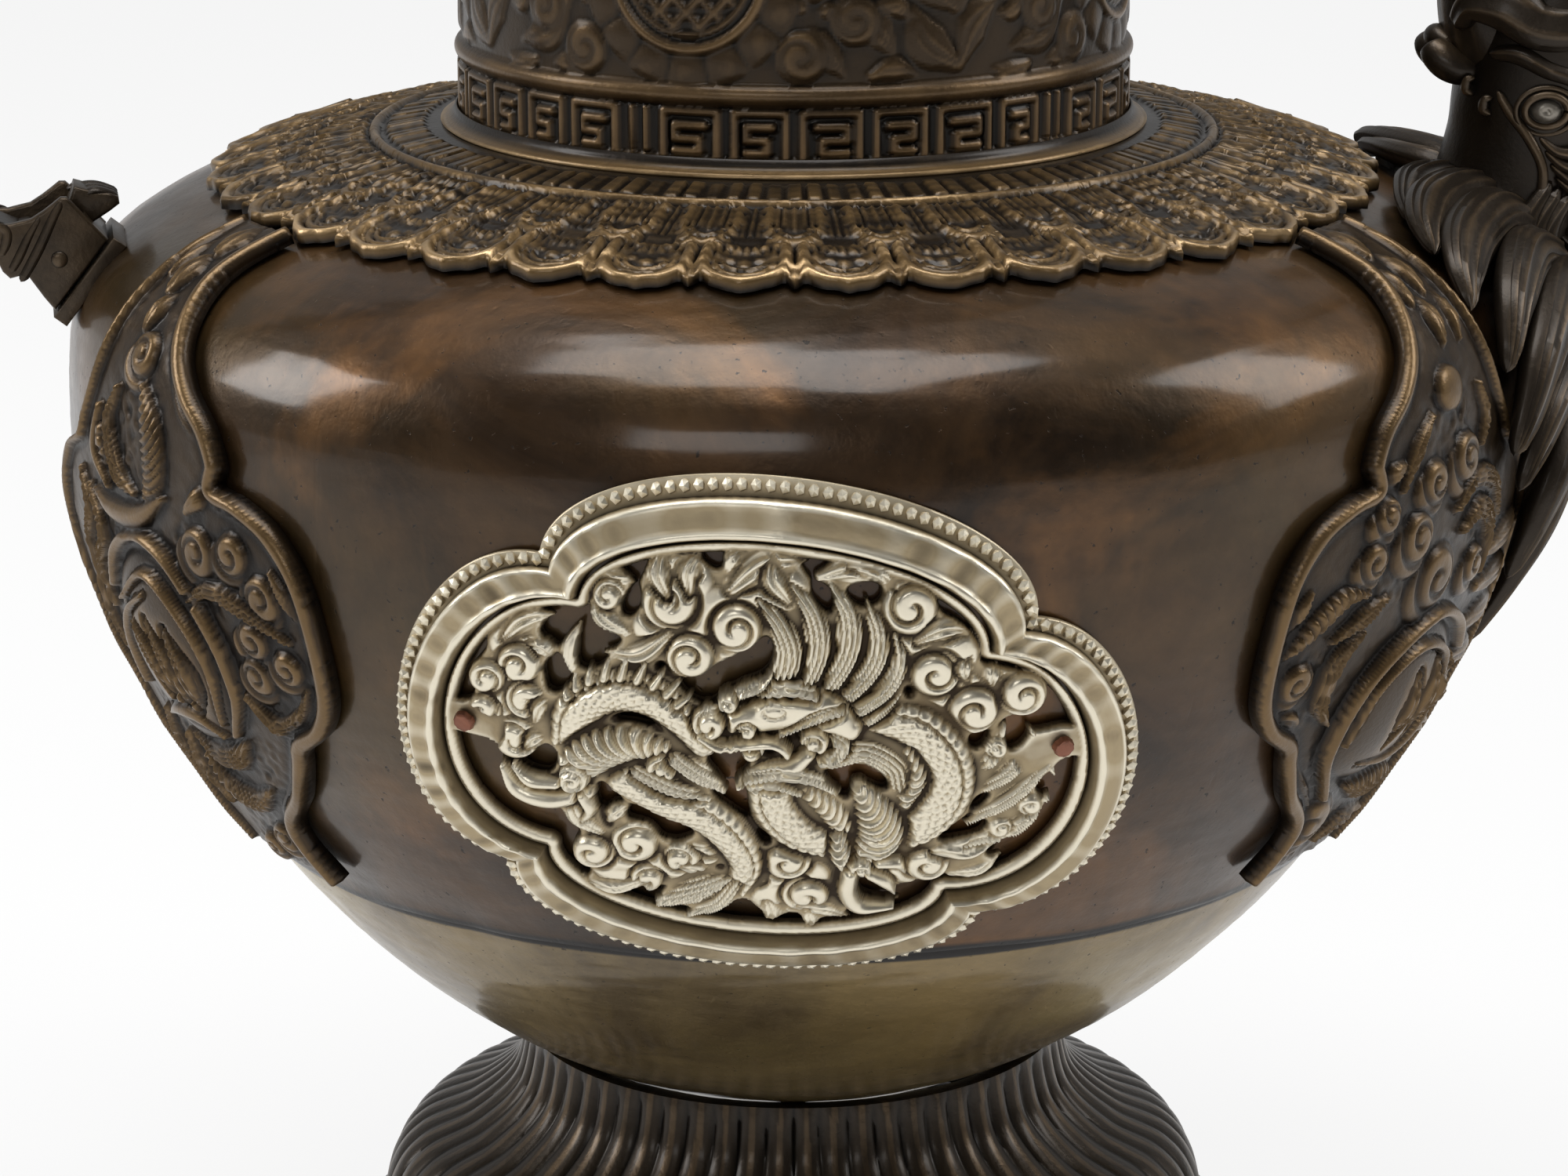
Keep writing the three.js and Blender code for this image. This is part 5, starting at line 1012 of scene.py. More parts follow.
def plaque_beads(face):
    """The beaded wire: facetted beads."""
    bm = bmesh.new()
    tone = bm.verts.layers.float.new("tone")
    count = PLAQUE_BEADS
    line = [o + (i - o) * 0.15 for o, i in zip(FRAME_OUTER, FRAME_INNER)]
    x, y = four_lobes(even_shares(count, *line), *line)
    seat = on_plaque(x, y, 1.75, face)
    above = on_plaque(x, y, 2.75, face)
    for i in range(count):
        out = Vector(above[i] - seat[i]).normalized()
        along = Vector(seat[(i + 1) % count] - seat[i - 1]).normalized()
        across = out.cross(along).normalized()
        along = across.cross(out)
        basis = Matrix((along, across, out)).transposed().to_4x4()
        basis.translation = Vector(seat[i]) * MM
        size = Matrix.Diagonal((0.92 * MM, 1.12 * MM, 0.86 * MM, 1))
        made = bmesh.ops.create_icosphere(bm, subdivisions=1, radius=1, matrix=basis @ size)["verts"]
        for vert in made:
            vert[tone] = 0.55 + 0.5 * max(0.0, (vert.co / MM - Vector(seat[i])).dot(out))
    return finished(bm, f"plaque_bead_{face}_wire", SILVER, replaces=f"plaque_bead_{face}", slot="silver",
        sharp=30)


def scales(s, d, w):
    """Overlapping scales along a dragon's back, and ladder plates down one edge."""
    row = np.floor(s / 1.15)
    a = np.mod(s / 1.15, 1) - 0.5
    b = np.mod(d / 1.3 + 0.5 * np.mod(row, 2), 1) - 0.5
    scale = 0.86 + 0.16 * np.sqrt(np.clip(1 - (2 * b) ** 2 - (a + 0.3) ** 2, 0, 1))
    plates = 0.8 + 0.22 * np.abs(np.sin(math.pi * s / 1.5)) ** 0.5
    groove = 1 - 0.3 * np.exp(-((d / w - 0.42) / 0.06) ** 2)
    return np.where(d / w > 0.42, plates, scale) * groove


def scales_other(s, d, w):
    """The same with the ladder plates on the other edge."""
    return scales(s, -d, w)


def hair(s, d, w):
    """Fine combed lines along a lock."""
    return 0.8 + 0.2 * np.cos(TURN * d / 0.8)


def fur(s, d, w):
    """Curved tufts lying across a leg."""
    return 0.82 + 0.18 * np.cos(TURN * (s + 1.6 * (d / w) ** 2 + d * 0.5) / 1.5)


def cloud(r, height, knobs, links, leaf_height=3.4, leaves=()):
    """A cloud bank: flat links, spiral knobs (x, y, size, hand, start) on them, and leaves round it."""
    for x, y, rx, ry in links:
        r.boss(x, y, rx, ry, height * 0.84, 0.3)
    for x, y, size, hand, start in knobs:
        r.curl(x, y, size, height, hand, start)
    for x0, y0, x1, y1, wide, *bend in leaves:
        r.leaf(x0, y0, x1, y1, wide, leaf_height, *bend)


def cloud_banks(r):
    """The clouds behind the dragon, from above its head round to the left, below and right."""
    cloud(r, 3.9, [(-16.5, 24.3, 4.3, 1, 0.2), (-6.8, 22, 3.9, -1, 0.7), (-12.6, 16.6, 3.7, 1, 0.1)],
        [(-15.5, 27, 5.6, 4.6), (-11, 22, 6.5, 6.5), (-17.5, 20, 4.5, 3.4), (-3.5, 28.5, 6.5, 4.4)], 3.5,
        [(-17, 25, -18.5, 32.3, 2), (-14, 26, -13, 32.5, 1.8), (-16, 19.5, -25.5, 14.6, 2.2),
        (-22, 18.5, -28, 24.5, 2), (-27, 24.5, -21.5, 26.2, 1.8), (-28.8, 10, -29, 19, 1.3),
        (-8, 27.5, 2, 33, 2.8), (0, 27, -3, 33.5, 1.9), (-9, 30, -7, 33.5, 1.5)])
    r.curl(-25.4, 23.8, 2.4, 3.7, -1, 0.4)
    cloud(r, 3.8, [(17.3, 28, 4.3, -1, 0.1), (22.3, 18.3, 3.9, 1, 0.6), (29, 12.6, 4.2, 1, 0.3),
        (35.8, 15.7, 3.9, -1, 0.8)], [(18.5, 24.5, 5.4, 4.2), (24.5, 21.5, 4.2, 4), (26, 15, 5.5, 4.5),
        (32.5, 15.5, 5, 4.2)], 3.4, [(4, 31, 13.5, 31.5, 2.4), (8, 33.2, 15, 30, 1.6), (19, 23, 27, 25, 2),
        (31, 17, 31.5, 20.5, 1.8), (27, 17.5, 27, 21.5, 1.6)])
    cloud(r, 3.7, [(-37.3, 10.2, 3.7, 1, 0.2), (-42.2, 7, 3, -1, 0.6), (-35.7, 4.6, 3.4, -1, 0.1),
        (-42, 1.4, 2.8, 1, 0.5), (-36.7, -2.6, 3.8, 1, 0.8)],
        [(-38.5, 13, 4.6, 3.4), (-39, 7, 6, 5), (-38.5, 2, 5.5, 5)], 3.3,
        [(-40, 14, -33, 19, 2.2), (-36, 14, -32.5, 12, 1.7), (-34, 1, -31, 6, 1.8),
        (-35, -4, -31.5, -1, 1.7)])
    cloud(r, 3.8, [(-16.7, -18.2, 3.9, -1, 0.2), (-22.7, -21.5, 3.5, 1, 0.5), (-9.5, -19.8, 2.9, 1, 0.9),
        (-14, -25, 2.8, -1, 0.3)], [(-19, -22, 5.5, 3.6), (-12, -21.5, 6, 4), (-7, -18.5, 3.5, 3),
        (-18, -25.5, 5, 2.6)], 3.4, [(-22, -17.5, -27.8, -10.5, 2.3), (-21, -15, -18, -11.5, 1.6),
        (-8, -17, -2.5, -19.5, 2), (-14, -26, -25, -28, 1.9), (-10, -22, -4, -23.5, 1.4)])
    cloud(r, 3.8, [(5.8, -18, 3.7, 1, 0.6), (9.4, -24.8, 3.8, -1, 0.1)],
        [(3.5, -21.5, 3.6, 3.6), (5.5, -26, 4.6, 4.2), (9.5, -20.5, 3.4, 3.2)], 3.2,
        [(4, -27, 4.5, -32.5, 1.8), (8, -28, 17, -30.5, 1.8), (1.5, -20, 1, -25, 1.6),
        (10, -28.5, 10.5, -33, 1.5)])
    cloud(r, 3.7, [(26.3, -16.6, 3.6, 1, 0.6)], [(23, -18.5, 4, 3)], 3.6,
        [(27, -14, 37, -10.8, 2.4, -0.12)])
    r.leaf(30, -19, 38, -15, 1.8, 3, -0.1)


def right_blades(r):
    """The pointed blades and small knobs at the panel's right end."""
    for points in ([(43, 1.5), (40.5, 6), (38, 9.5)], [(42, 3), (37, -3), (31, -8.5)],
            [(40, 8), (36, 2), (31.5, -3)], [(34, 10), (33, 5), (31, 1)],
            [(43, -3), (38.5, -9), (31.5, -13)]):
        r.stroke([(x, y, *size) for (x, y), size in zip(points, ((0.6, 2.8), (2, 3.7), (0.4, 2.8)))], hair)
    r.curl(40.2, -4.4, 2.1, 3.3, 1, 0.3)
    r.curl(36.3, -9, 2, 3.2, -1, 0.6)
    r.curl(33.2, 6.3, 1.8, 3.7, 1, 0.2)


def dragon_body(r):
    """The far loops first, then the neck, the belly and the tail."""
    r.stroke([(15.5, 10.2, 3, 3.9), (21, 9, 4, 4.4), (26, 3.6, 4.3, 4.6), (27.2, -3.5, 4.2, 4.5),
        (23.6, -9.8, 3.7, 4.2), (18, -12, 2.8, 3.6)], scales)
    r.stroke([(20, 4.5, 1.6, 3.2), (22.2, 0, 2.1, 3.5), (21, -5, 1.8, 3.2)], fur)
    r.stroke([(9.5, 2.2, 2.2, 3.4), (14, 4.2, 2.6, 3.7), (18.5, 1.8, 2.3, 3.6), (20, -2, 1.2, 3.1)], hair)
    r.stroke([(-28.6, -1, 3.2, 4), (-28, 4.4, 3.7, 4.4), (-23.6, 8.8, 3.9, 4.5), (-17.6, 9.2, 3.7, 4.4),
        (-12.5, 6, 3, 4.2), (-9, 2.2, 2.4, 3.8)], scales)
    for i in range(9):
        angle = math.radians(158 - 15 * i)
        x, y = -20.8 + 9.3 * math.cos(angle), 4 + 7.8 * math.sin(angle)
        r.stroke([(x, y, 1, 3.9), (x + 1.4 * math.cos(angle) + 0.6, y + 2.6 * math.sin(angle), 0.35, 3.3)],
            moat=0.3)
    r.stroke([(1.2, -3.4, 3.4, 4.2), (2.6, -8, 3.6, 4.3), (6.5, -12.2, 3.5, 4.2), (12.5, -14.5, 2.8, 3.8)],
        scales_other)
    r.stroke([(7.5, -4.5, 1.8, 3.4), (11, -7.5, 2.4, 3.7), (13.5, -11.5, 1.8, 3.4)], fur)
    r.stroke([(-19.5, -6.5, 3.2, 3.9), (-13, -9, 3.6, 4.2), (-7, -11, 3.6, 4.3), (-2.5, -15, 3.3, 4.3),
        (0, -20, 2.8, 4.1), (-1, -25.5, 2.2, 3.8)], scales)
    r.stroke([(-1, -23.5, 1.2, 3.6), (-5.5, -26, 3.4, 3.9), (-11.5, -30.5, 1.2, 3.2)], hair)
    r.stroke([(-1, -24, 1, 3.4), (-3, -28.5, 2, 3.7), (-7, -32.3, 0.6, 3)], hair)


def dragon_legs(r):
    """Two legs with curled elbows, three claws each, and the hair at the left shoulder."""
    r.stroke([(-15.5, 0.4, 2.4, 4.1), (-19.5, 0.6, 3.4, 4.6), (-24, -1.8, 4, 4.8), (-26.8, -5.6, 3.6, 4.7),
        (-26.6, -9.2, 2.6, 4.4)], fur)
    r.curl(-27, -7.2, 2.5, 5, 1, 0.3, 2.2)
    for claw in ([(-24.5, -9.6, 1.2, 4), (-30, -12.3, 1.9, 4.4), (-35.5, -11.6, 1.6, 4.2),
            (-38.4, -7.6, 0.4, 3.4)], [(-29.5, -9, 1.1, 4), (-33.5, -9.4, 1.3, 4.1),
            (-36.5, -7.4, 0.4, 3.4)], [(-25.5, -10.5, 1, 3.9), (-24, -13, 1.2, 3.9),
            (-25, -15.5, 0.4, 3.2)]):
        r.stroke(claw)
    r.stroke([(14.2, -2.4, 1.4, 4), (17, -6.5, 3.2, 4.7), (18.6, -11, 3.8, 4.8), (17.4, -15.6, 3.4, 4.7)],
        fur)
    r.stroke([(12.4, -12, 1.4, 4.2), (13.4, -15.6, 2, 4.5), (15.4, -18.6, 1.8, 4.4)], fur)
    r.curl(16.6, -17.2, 2.4, 5, 1, 0.1, 2.2)
    for claw in ([(15.2, -19.4, 1.5, 4.2), (15.4, -23.4, 1.7, 4.4), (17.6, -26.2, 1.5, 4.2),
            (23.2, -25.6, 0.4, 3.4)], [(18, -18.8, 1.2, 4.2), (20.6, -20.4, 1.4, 4.2),
            (22.4, -22.8, 0.4, 3.4)], [(19, -16.4, 1.1, 4.1), (21.6, -16.2, 1.2, 4.1),
            (23, -18, 0.4, 3.4)]):
        r.stroke(claw)
    r.curl(-14.3, -2.9, 2.7, 4.2, -1, 0.4)
    r.stroke([(-12.5, -1, 1.6, 4), (-9, -3, 2, 4.2), (-5, -5.4, 0.6, 3.4)], hair)
    r.stroke([(-18, -4.4, 1.2, 3.8), (-12.5, -6.2, 1.8, 4), (-7, -7.4, 0.5, 3.3)], hair)


def dragon_head(r):
    """The mane first, then the muzzle, the brows, the knobs, the jaws with teeth, and the ringed eye."""
    locks = (((0, 13, 2), (1.2, 19, 2.2), (-0.8, 23.5, 1.7), (-4.3, 26.8, 0.3)),
        ((3.5, 14, 2.1), (4.9, 20.5, 2.3), (3.6, 25.5, 1.7), (0.2, 29.5, 0.3)),
        ((6.5, 14, 2.2), (9, 20.5, 2.4), (8.6, 26, 1.8), (5.6, 30.2, 0.3)),
        ((8.5, 12.5, 2.2), (12.6, 18.5, 2.4), (13.2, 23.5, 1.8), (11, 28.4, 0.3)),
        ((9.5, 10.5, 2.2), (14.6, 15, 2.4), (16.6, 19.5, 1.7), (15.6, 24, 0.3)),
        ((9, 8, 2), (14, 11.4, 2.2), (16.8, 14.6, 1.4), (17.2, 18.4, 0.3)))
    for lock in reversed(locks):
        r.stroke([(x, y, half, 5.3 - 0.5 * k) for k, (x, y, half) in enumerate(lock)], hair, moat=0.7)
    r.stroke([(11, 8.4, 2.2, 4.9), (7, 10.6, 3.6, 5.4), (2, 10.6, 3.6, 5.5), (-2.6, 8.6, 2.6, 5.3),
        (-6, 7.4, 2, 5)], fullness=0.35)
    for points in (((5.5, 13.6, 0.9), (2, 14.2, 1.4), (-2.4, 13.2, 1.2), (-5, 11.4, 0.5)),
            ((9.5, 11.6, 0.8), (6.6, 10.4, 1.3), (4, 8.6, 1), (1.6, 7, 0.5)),
            ((-1, 16, 0.4), (-2.2, 14, 1), (-4.6, 12.6, 1.1), (-6.2, 10.6, 0.8)),
            ((8.5, 7, 1), (10.6, 5.6, 1.3), (9.6, 3.2, 1.2), (6.8, 2.6, 0.6))):
        r.stroke([(x, y, half, 5.7) for x, y, half in points], hair, moat=0.6)
    r.curl(-6.3, 10.8, 1.7, 5.4, 1, 0.3)
    r.curl(-8.6, 6.9, 2.7, 5.5, -1, 0.2)
    r.curl(-3.2, 7, 1.5, 5.8, 1, 0.5, 0.9)
    r.curl(6.6, 6.1, 2.2, 5.6, 1, 0.1)
    r.stroke([(-9.6, 4.6, 0.8, 5), (-6.4, 3.2, 1, 5.2), (-2.6, 4.4, 1.1, 5.3), (1, 5, 1.1, 5.3),
        (3.2, 3, 0.9, 5), (2.4, 0.6, 0.7, 4.8)], moat=0.6)
    r.stroke([(6, 3.6, 1.4, 5), (4, 1, 1.7, 5.1), (0.4, -0.8, 1.5, 4.9), (-2.6, -3.2, 1, 4.6),
        (-3.4, -3.8, 0.5, 4.2)], moat=0.7)
    r.boss(-2, 1.6, 1.7, 1.3, 3.6)
    for x in (-5.8, -4.2, -2.4, -0.6):
        r.stroke([(x, 3.6, 0.45, 5), (x + 0.2, 2.2, 0.15, 4.2)], moat=0.1)
    r.stroke([(-2, -2.6, 0.8, 4.5), (2.5, -0.9, 1.3, 4.8), (7, -1.2, 1.2, 4.6), (11.6, -3.8, 0.3, 3.6)],
        hair, moat=0.7)
    r.stroke([(-1.5, -3.6, 0.7, 4.3), (2, -3, 1, 4.4), (6, -4.4, 0.3, 3.6)], hair, moat=0.5)
    ring = np.hypot((r.X - 0.2 - (r.Y - 10.8) * 0.2) / 1.7, (r.Y - 10.8) / 0.95)
    r.H = np.where(ring < 1.4, 4.7, r.H)
    r.H = np.maximum(r.H, 5.6 * bump(ring, 1.25, 0.3) ** 0.3 * (ring > 0.9) * (ring < 1.55))
    r.H = np.maximum(r.H, np.where(ring < 0.8, 4.9 + 0.7 * np.sqrt(np.clip(1 - (ring / 0.8) ** 2, 0, 1)),
        0))


def dragon_relief():
    """The whole panel's drawing, the low ground between close forms filled in."""
    r = Relief(-49.5, 49.5, -36, 36, PANEL_STEP)
    cloud_banks(r)
    right_blades(r)
    r.stroke([(-49, -1.5, 2.6, 1.9), (-45.5, -1.5, 3, 2), (-41, -2, 2.4, 2)], fullness=0.15)
    r.stroke([(48, 7, 2.6, 1.9), (43, 7, 3, 2), (39, 5, 2.4, 2)], fullness=0.15)
    dragon_body(r)
    dragon_legs(r)
    dragon_head(r)
    near = blurred((r.H > 0.8).astype(float), int(1.3 / r.step))
    r.H = np.maximum(r.H, 1.9 * smooth(near, 0.36, 0.6))
    return r


def plaque_panel(face):
    """The dragon panel, pierced where nothing is drawn, with a narrow border all round."""
    r = dragon_relief()
    share = (np.arange(400) + 0.5) / 400
    x, y = four_lobes(share, *(size - 0.35 for size in FRAME_INNER))
    inside = polygon_distance(r.X, r.Y, np.stack([x, y], -1))
    border = 2.0 * bump(inside, 0.2, 1.5)
    height = np.maximum(r.H * 0.88 * smooth(inside, -0.3, 1.2), border)
    r.H = np.minimum(SKIN_GAP + height, 5.15)
    edge = np.minimum(inside, (height - 0.9) * 0.6)
    tones = np.clip(r.tones(1, 0.5, 0.14) - 0.42 * (1 - smooth(height, 0.9, 2.5)), 0, 1)
    return relief_piece(f"plaque_panel_{face}_pierced", r, edge, lambda px, py,
        lift: on_plaque(px, py, lift, face), SKIN_GAP, SILVER, tones, replaces=f"plaque_panel_{face}",
        slot="silver")


def plaque_rivets(face):
    """Two rough copper rivets through the panel's ends."""
    for i, (x, y) in enumerate(((-44.8, -1.3), (43.3, 7)), 1):
        bm = bmesh.new()
        tone = bm.verts.layers.float.new("tone")
        rng = np.random.default_rng(40 + i)
        bmesh.ops.create_cone(bm, cap_ends=True, segments=9, radius1=1.75 * MM, radius2=1.5 * MM,
            depth=1.2 * MM)
        bmesh.ops.bevel(bm, geom=bm.edges[:], offset=0.25 * MM, segments=2, profile=0.5, affect="EDGES",
            material=-1)
        for vert in bm.verts:
            vert.co *= 1 + rng.uniform(-0.07, 0.07)
            vert[tone] = 0.5 + rng.uniform(-0.2, 0.2)
        seat = on_plaque(np.array([x]), np.array([y]), 3, face)[0]
        above = on_plaque(np.array([x]), np.array([y]), 4, face)[0]
        out = Vector(above - seat).normalized()
        turn = Vector((0, 0, 1)).rotation_difference(out).to_matrix().to_4x4()
        bmesh.ops.transform(bm, verts=bm.verts, matrix=Matrix.Translation(Vector(seat) * MM) @ turn)
        finished(bm, f"plaque_rivet_{face}_{i}_head", RED, replaces=f"plaque_rivet_{face}_{i}",
            slot="red_copper", sharp=35)


# Relief side plates

PLATE_TOP = 75.2
PLATE_FOOT = -40.5
# A plate's two long edges, from the top down and from the foot up
TOWARD_PLAQUE = [(14, 95), (8.5, 80), (7, 70), (7.2, 63), (9.4, 56), (12.4, 50), (17, 45), (22.5, 40.5),
    (25.6, 35), (24.6, 32.2), (30, 31), (37, 27.5), (42, 21), (43.2, 12), (41.5, 1), (37, -6),
    (30.5, -10.5), (28.5, -14), (23.5, -21.5), (16.6, -28.5), (15.6, -34), (18, -42), (20, -60)]
AWAY = [(-8, -60), (-10, -42), (-14, -36), (-18, -30), (-22, -24), (-26, -19), (-28.5, -12), (-34, -6),
    (-37, 3), (-37.5, 12), (-34, 21), (-27.5, 28.5), (-20, 32), (-18.5, 35), (-14, 42), (-10.5, 51),
    (-8.8, 62), (-9, 74), (-12, 95)]


def left_plate_forms(r):
    """The left plates' chasing: a domed shell in double arcs, cloud knobs and combed leaves."""
    r.boss(3, 1, 15.5, 17, 4.4, 0.6)
    for x0, y0, x1, y1 in ((-4, 6, 1, -9), (1.6, 7, 4.4, -9.6), (7, 6.4, 8, -9)):
        r.leaf(x0, y0, x1, y1, 2.8, 5.3, 0.12)
    for points in (((-13, 9, 0.8, 2.4), (-6, 17, 1.1, 3.1), (3, 20.6, 1.2, 3.3), (12, 17.6, 1.2, 3.3),
            (18.6, 8, 1.2, 3.2), (19.2, -2, 1.1, 3), (14, -11, 0.8, 2.6)),
            ((-6, 9, 0.7, 4.2), (4, 15, 1, 4.1), (12, 10.6, 1.1, 4.2), (15.6, 2, 1, 3.9),
            (12.4, -9, 0.7, 3.2)), ((-15, -9, 0.8, 2.6), (-11, 0, 1.2, 3.6), (-5, 7, 1.1, 4.3),
            (3, 11.6, 0.6, 4.4)), ((-7, -12.4, 0.5, 2.8), (-1, -9.8, 1.6, 3.9), (6, -9.4, 1.6, 3.9),
            (11, -12, 0.5, 3))):
        r.stroke(points, moat=0.25)
    for x, y, size, hand in ((19.5, 21, 4.2, 1), (27.6, 22.4, 3.4, -1), (33, 16.4, 3.8, 1),
            (28.4, 9, 3.3, -1), (26.8, 2.4, 3.4, 1), (34.4, 5.4, 3, -1), (2.4, 47.6, 3.6, 1),
            (9.6, -33.4, 3, 1), (3, -36.6, 2.6, -1), (-9, 33, 3, -1)):
        r.boss(x - 1.2, y - 1.6, size * 1.25, size * 1.1, 2, 0.3)
        r.curl(x, y, size, 2.3, hand)
    for points, look in ((((14.5, 12.6, 0.8, 2.4), (21, 15.6, 1.7, 3), (29, 13.6, 1.8, 3),
            (36.5, 10, 0.5, 2.2)), hair), (((22, -2, 0.8, 2.6), (27.4, -6.6, 2.2, 3),
            (33.4, -3.6, 1.9, 2.9), (37, 2, 0.4, 2.2)), hair),
            (((4.6, 43.4, 1, 2.2), (7.6, 37.4, 3.2, 2.8), (8.4, 30.6, 3, 2.8), (5.6, 24, 0.8, 2.2)), fur),
            (((-12, 24.6, 0.5, 2), (-6, 22.8, 1.9, 2.5), (3, 23.4, 2.1, 2.6), (11, 27.6, 0.5, 2)), None),
            (((-10.4, 38, 0.6, 2), (-11.6, 31, 1.6, 2.4), (-7, 26, 0.6, 2)), None),
            (((-4, 42, 0.6, 2), (-6.4, 36, 1.8, 2.5), (-3, 29, 2.2, 2.6), (2.4, 26.6, 0.6, 2.2)), hair),
            (((-17, 4, 0.6, 2.4), (-15.6, 12, 1.8, 3), (-11.6, 18, 1.6, 2.8), (-15.4, 24.6, 0.5, 2)),
            hair), (((-20, 8, 0.6, 2.2), (-20, 15, 1.8, 2.6), (-17, 21, 1.3, 2.5),
            (-19.8, 26.4, 0.4, 1.8)), hair), (((-19.6, -4, 0.6, 2.2), (-22.6, 2, 1.8, 2.5),
            (-22.4, 9, 0.5, 2)), hair), (((-2, -15, 0.6, 2.4), (3, -17.6, 2.6, 3), (10, -16.6, 2.6, 3),
            (15, -12.6, 0.6, 2.4)), hair), (((-3, -20, 0.6, 2.4), (1, -25, 2.4, 3), (8, -26, 2.6, 3),
            (14, -22.6, 0.6, 2.3)), fur), (((-7, -17, 0.8, 2.4), (-8.4, -24, 2.2, 2.7),
            (-4, -30, 0.6, 2.2)), hair), (((-13, -14, 0.8, 2.2), (-15.4, -21, 2, 2.5), (-12, -28, 0.5, 2)),
            hair)):
        r.stroke(points, look, moat=0.4)
    for x0, y0, x1, y1, wide in ((-0.6, 66, -0.6, 75, 3), (-1, 57.4, -1, 66.4, 3),
            (-0.4, 51, 1.2, 57.6, 2.2), (5, 61, 4.6, 69, 1.4), (-5.4, 60, -6, 69, 1.4),
            (17, 27, 24, 31.4, 1.8), (35.6, 21, 39.6, 13, 1.5), (12, 45, 19, 38, 1.6)):
        r.leaf(x0, y0, x1, y1, wide, 2.3, 0.05)


def right_plate_forms(r):
    """The right plates' chasing: a lower shell with a swept rim, a ringed boss and swirling leaves."""
    r.boss(3, -8, 16, 14.5, 4.4, 0.6)
    for x0, y0, x1, y1 in ((-9, -2, -7, -15), (-3, -1, -1.6, -16), (3, -2, 4.4, -15.6)):
        r.leaf(x0, y0, x1, y1, 2.8, 5.3, -0.12)
    for points in (((12, -24, 0.8, 2.8), (19, -13, 1.2, 3.4), (17.4, -2, 1.3, 3.5), (10, 4.6, 1.3, 3.5),
            (0, 7.4, 1.2, 3.4), (-10, 3.6, 1.1, 3.2), (-18, -4, 0.8, 2.6)),
            ((16, -12, 0.7, 3.4), (13.6, -2, 1, 4), (5, 3, 1.1, 4.2), (-5, 0, 1, 4.2),
            (-12, -9, 0.6, 3.4)), ((-14, -14, 0.6, 3), (-8, -16.6, 1.2, 3.8), (0, -18.6, 1.2, 3.8),
            (9, -17.6, 0.5, 3.2))):
        r.stroke(points, moat=0.25)
    for x, y, size, hand in ((8.4, 30, 3.6, -1), (12.6, 22, 4.2, 1), (4.4, 14.2, 5.6, -1),
            (-1.6, 31.6, 4.2, 1), (34.4, 3, 3.4, -1), (33, -6, 3.4, 1), (10, -30, 5.4, -1), (21, 27, 3, 1),
            (23.4, 20.6, 3.2, -1), (-9.4, 13, 3.4, 1)):
        r.boss(x + 1.2, y - 1.6, size * 1.25, size * 1.1, 2, 0.3)
        r.curl(x, y, size, 2.3, hand)
    r.boss(3, 43, 3.8, 3.4, 2.2, 0.25)
    for points, look in ((((38.6, 8, 0.5, 2.2), (34, 12.6, 2.2, 2.8), (28.4, 16, 1.8, 2.7),
            (23, 15.4, 0.5, 2.2)), fur), (((30.6, -9, 0.6, 2.4), (26.6, -15, 2.4, 3),
            (18.4, -22.4, 1.8, 2.8), (14, -25.4, 0.5, 2.2)), hair),
            (((22, 9, 0.6, 2.2), (26.4, 5, 2.2, 2.9), (26.8, -2, 2, 2.9), (22.6, -7, 0.5, 2.3)), hair),
            (((18, 14, 0.5, 2.2), (23, 11.6, 1.9, 2.8), (29.4, 8.8, 0.5, 2.2)), hair),
            (((-2, 20, 0.6, 2.4), (-8, 22.6, 2.2, 2.9), (-12.6, 18.4, 2.2, 2.9), (-13, 11, 0.6, 2.3)),
            hair), (((1, 24, 0.6, 2.3), (-5, 27.6, 1.8, 2.7), (-12, 26, 2, 2.8), (-16.4, 19.6, 0.5, 2.2)),
            hair), (((9, 40, 0.6, 2), (13.6, 35.6, 1.6, 2.4), (17.4, 30, 0.5, 2)), hair),
            (((-7, 42, 0.5, 1.9), (-9, 37, 1.4, 2.3), (-7, 32.6, 0.5, 2)), hair),
            (((5, -24, 0.8, 2.6), (-2, -26, 3, 3.1), (-9, -26, 2.6, 2.9), (-15, -28.4, 0.5, 2.2)), fur),
            (((4, -35.6, 0.8, 2.2), (-2, -33.4, 2.2, 2.7), (-9, -32.6, 0.5, 2.2)), hair)):
        r.stroke(points, look, moat=0.4)
    for y0, y1, x1 in ((13.4, 16.6, -33.6), (7.4, 9, -35.4), (1, 1.6, -34.6), (-5.4, -6, -31),
            (-11.4, -13.6, -26.6), (-17, -20.6, -23)):
        r.leaf(-15.6, y0, x1, y1, 2.9, 2.5, 0.03)
    for x0, y0, x1, y1, wide in ((1, 66, 0.6, 74.6, 2.6), (-2, 57, -1.4, 66, 2), (3.4, 56, 4.2, 65, 2),
            (1, 49.4, 1, 57, 2), (-4.4, 49, -5, 56.4, 1.4), (17, 34, 22, 31.4, 1.6),
            (36.4, 18, 39.4, 12, 1.4)):
        r.leaf(x0, y0, x1, y1, wide, 2.3, 0.05)


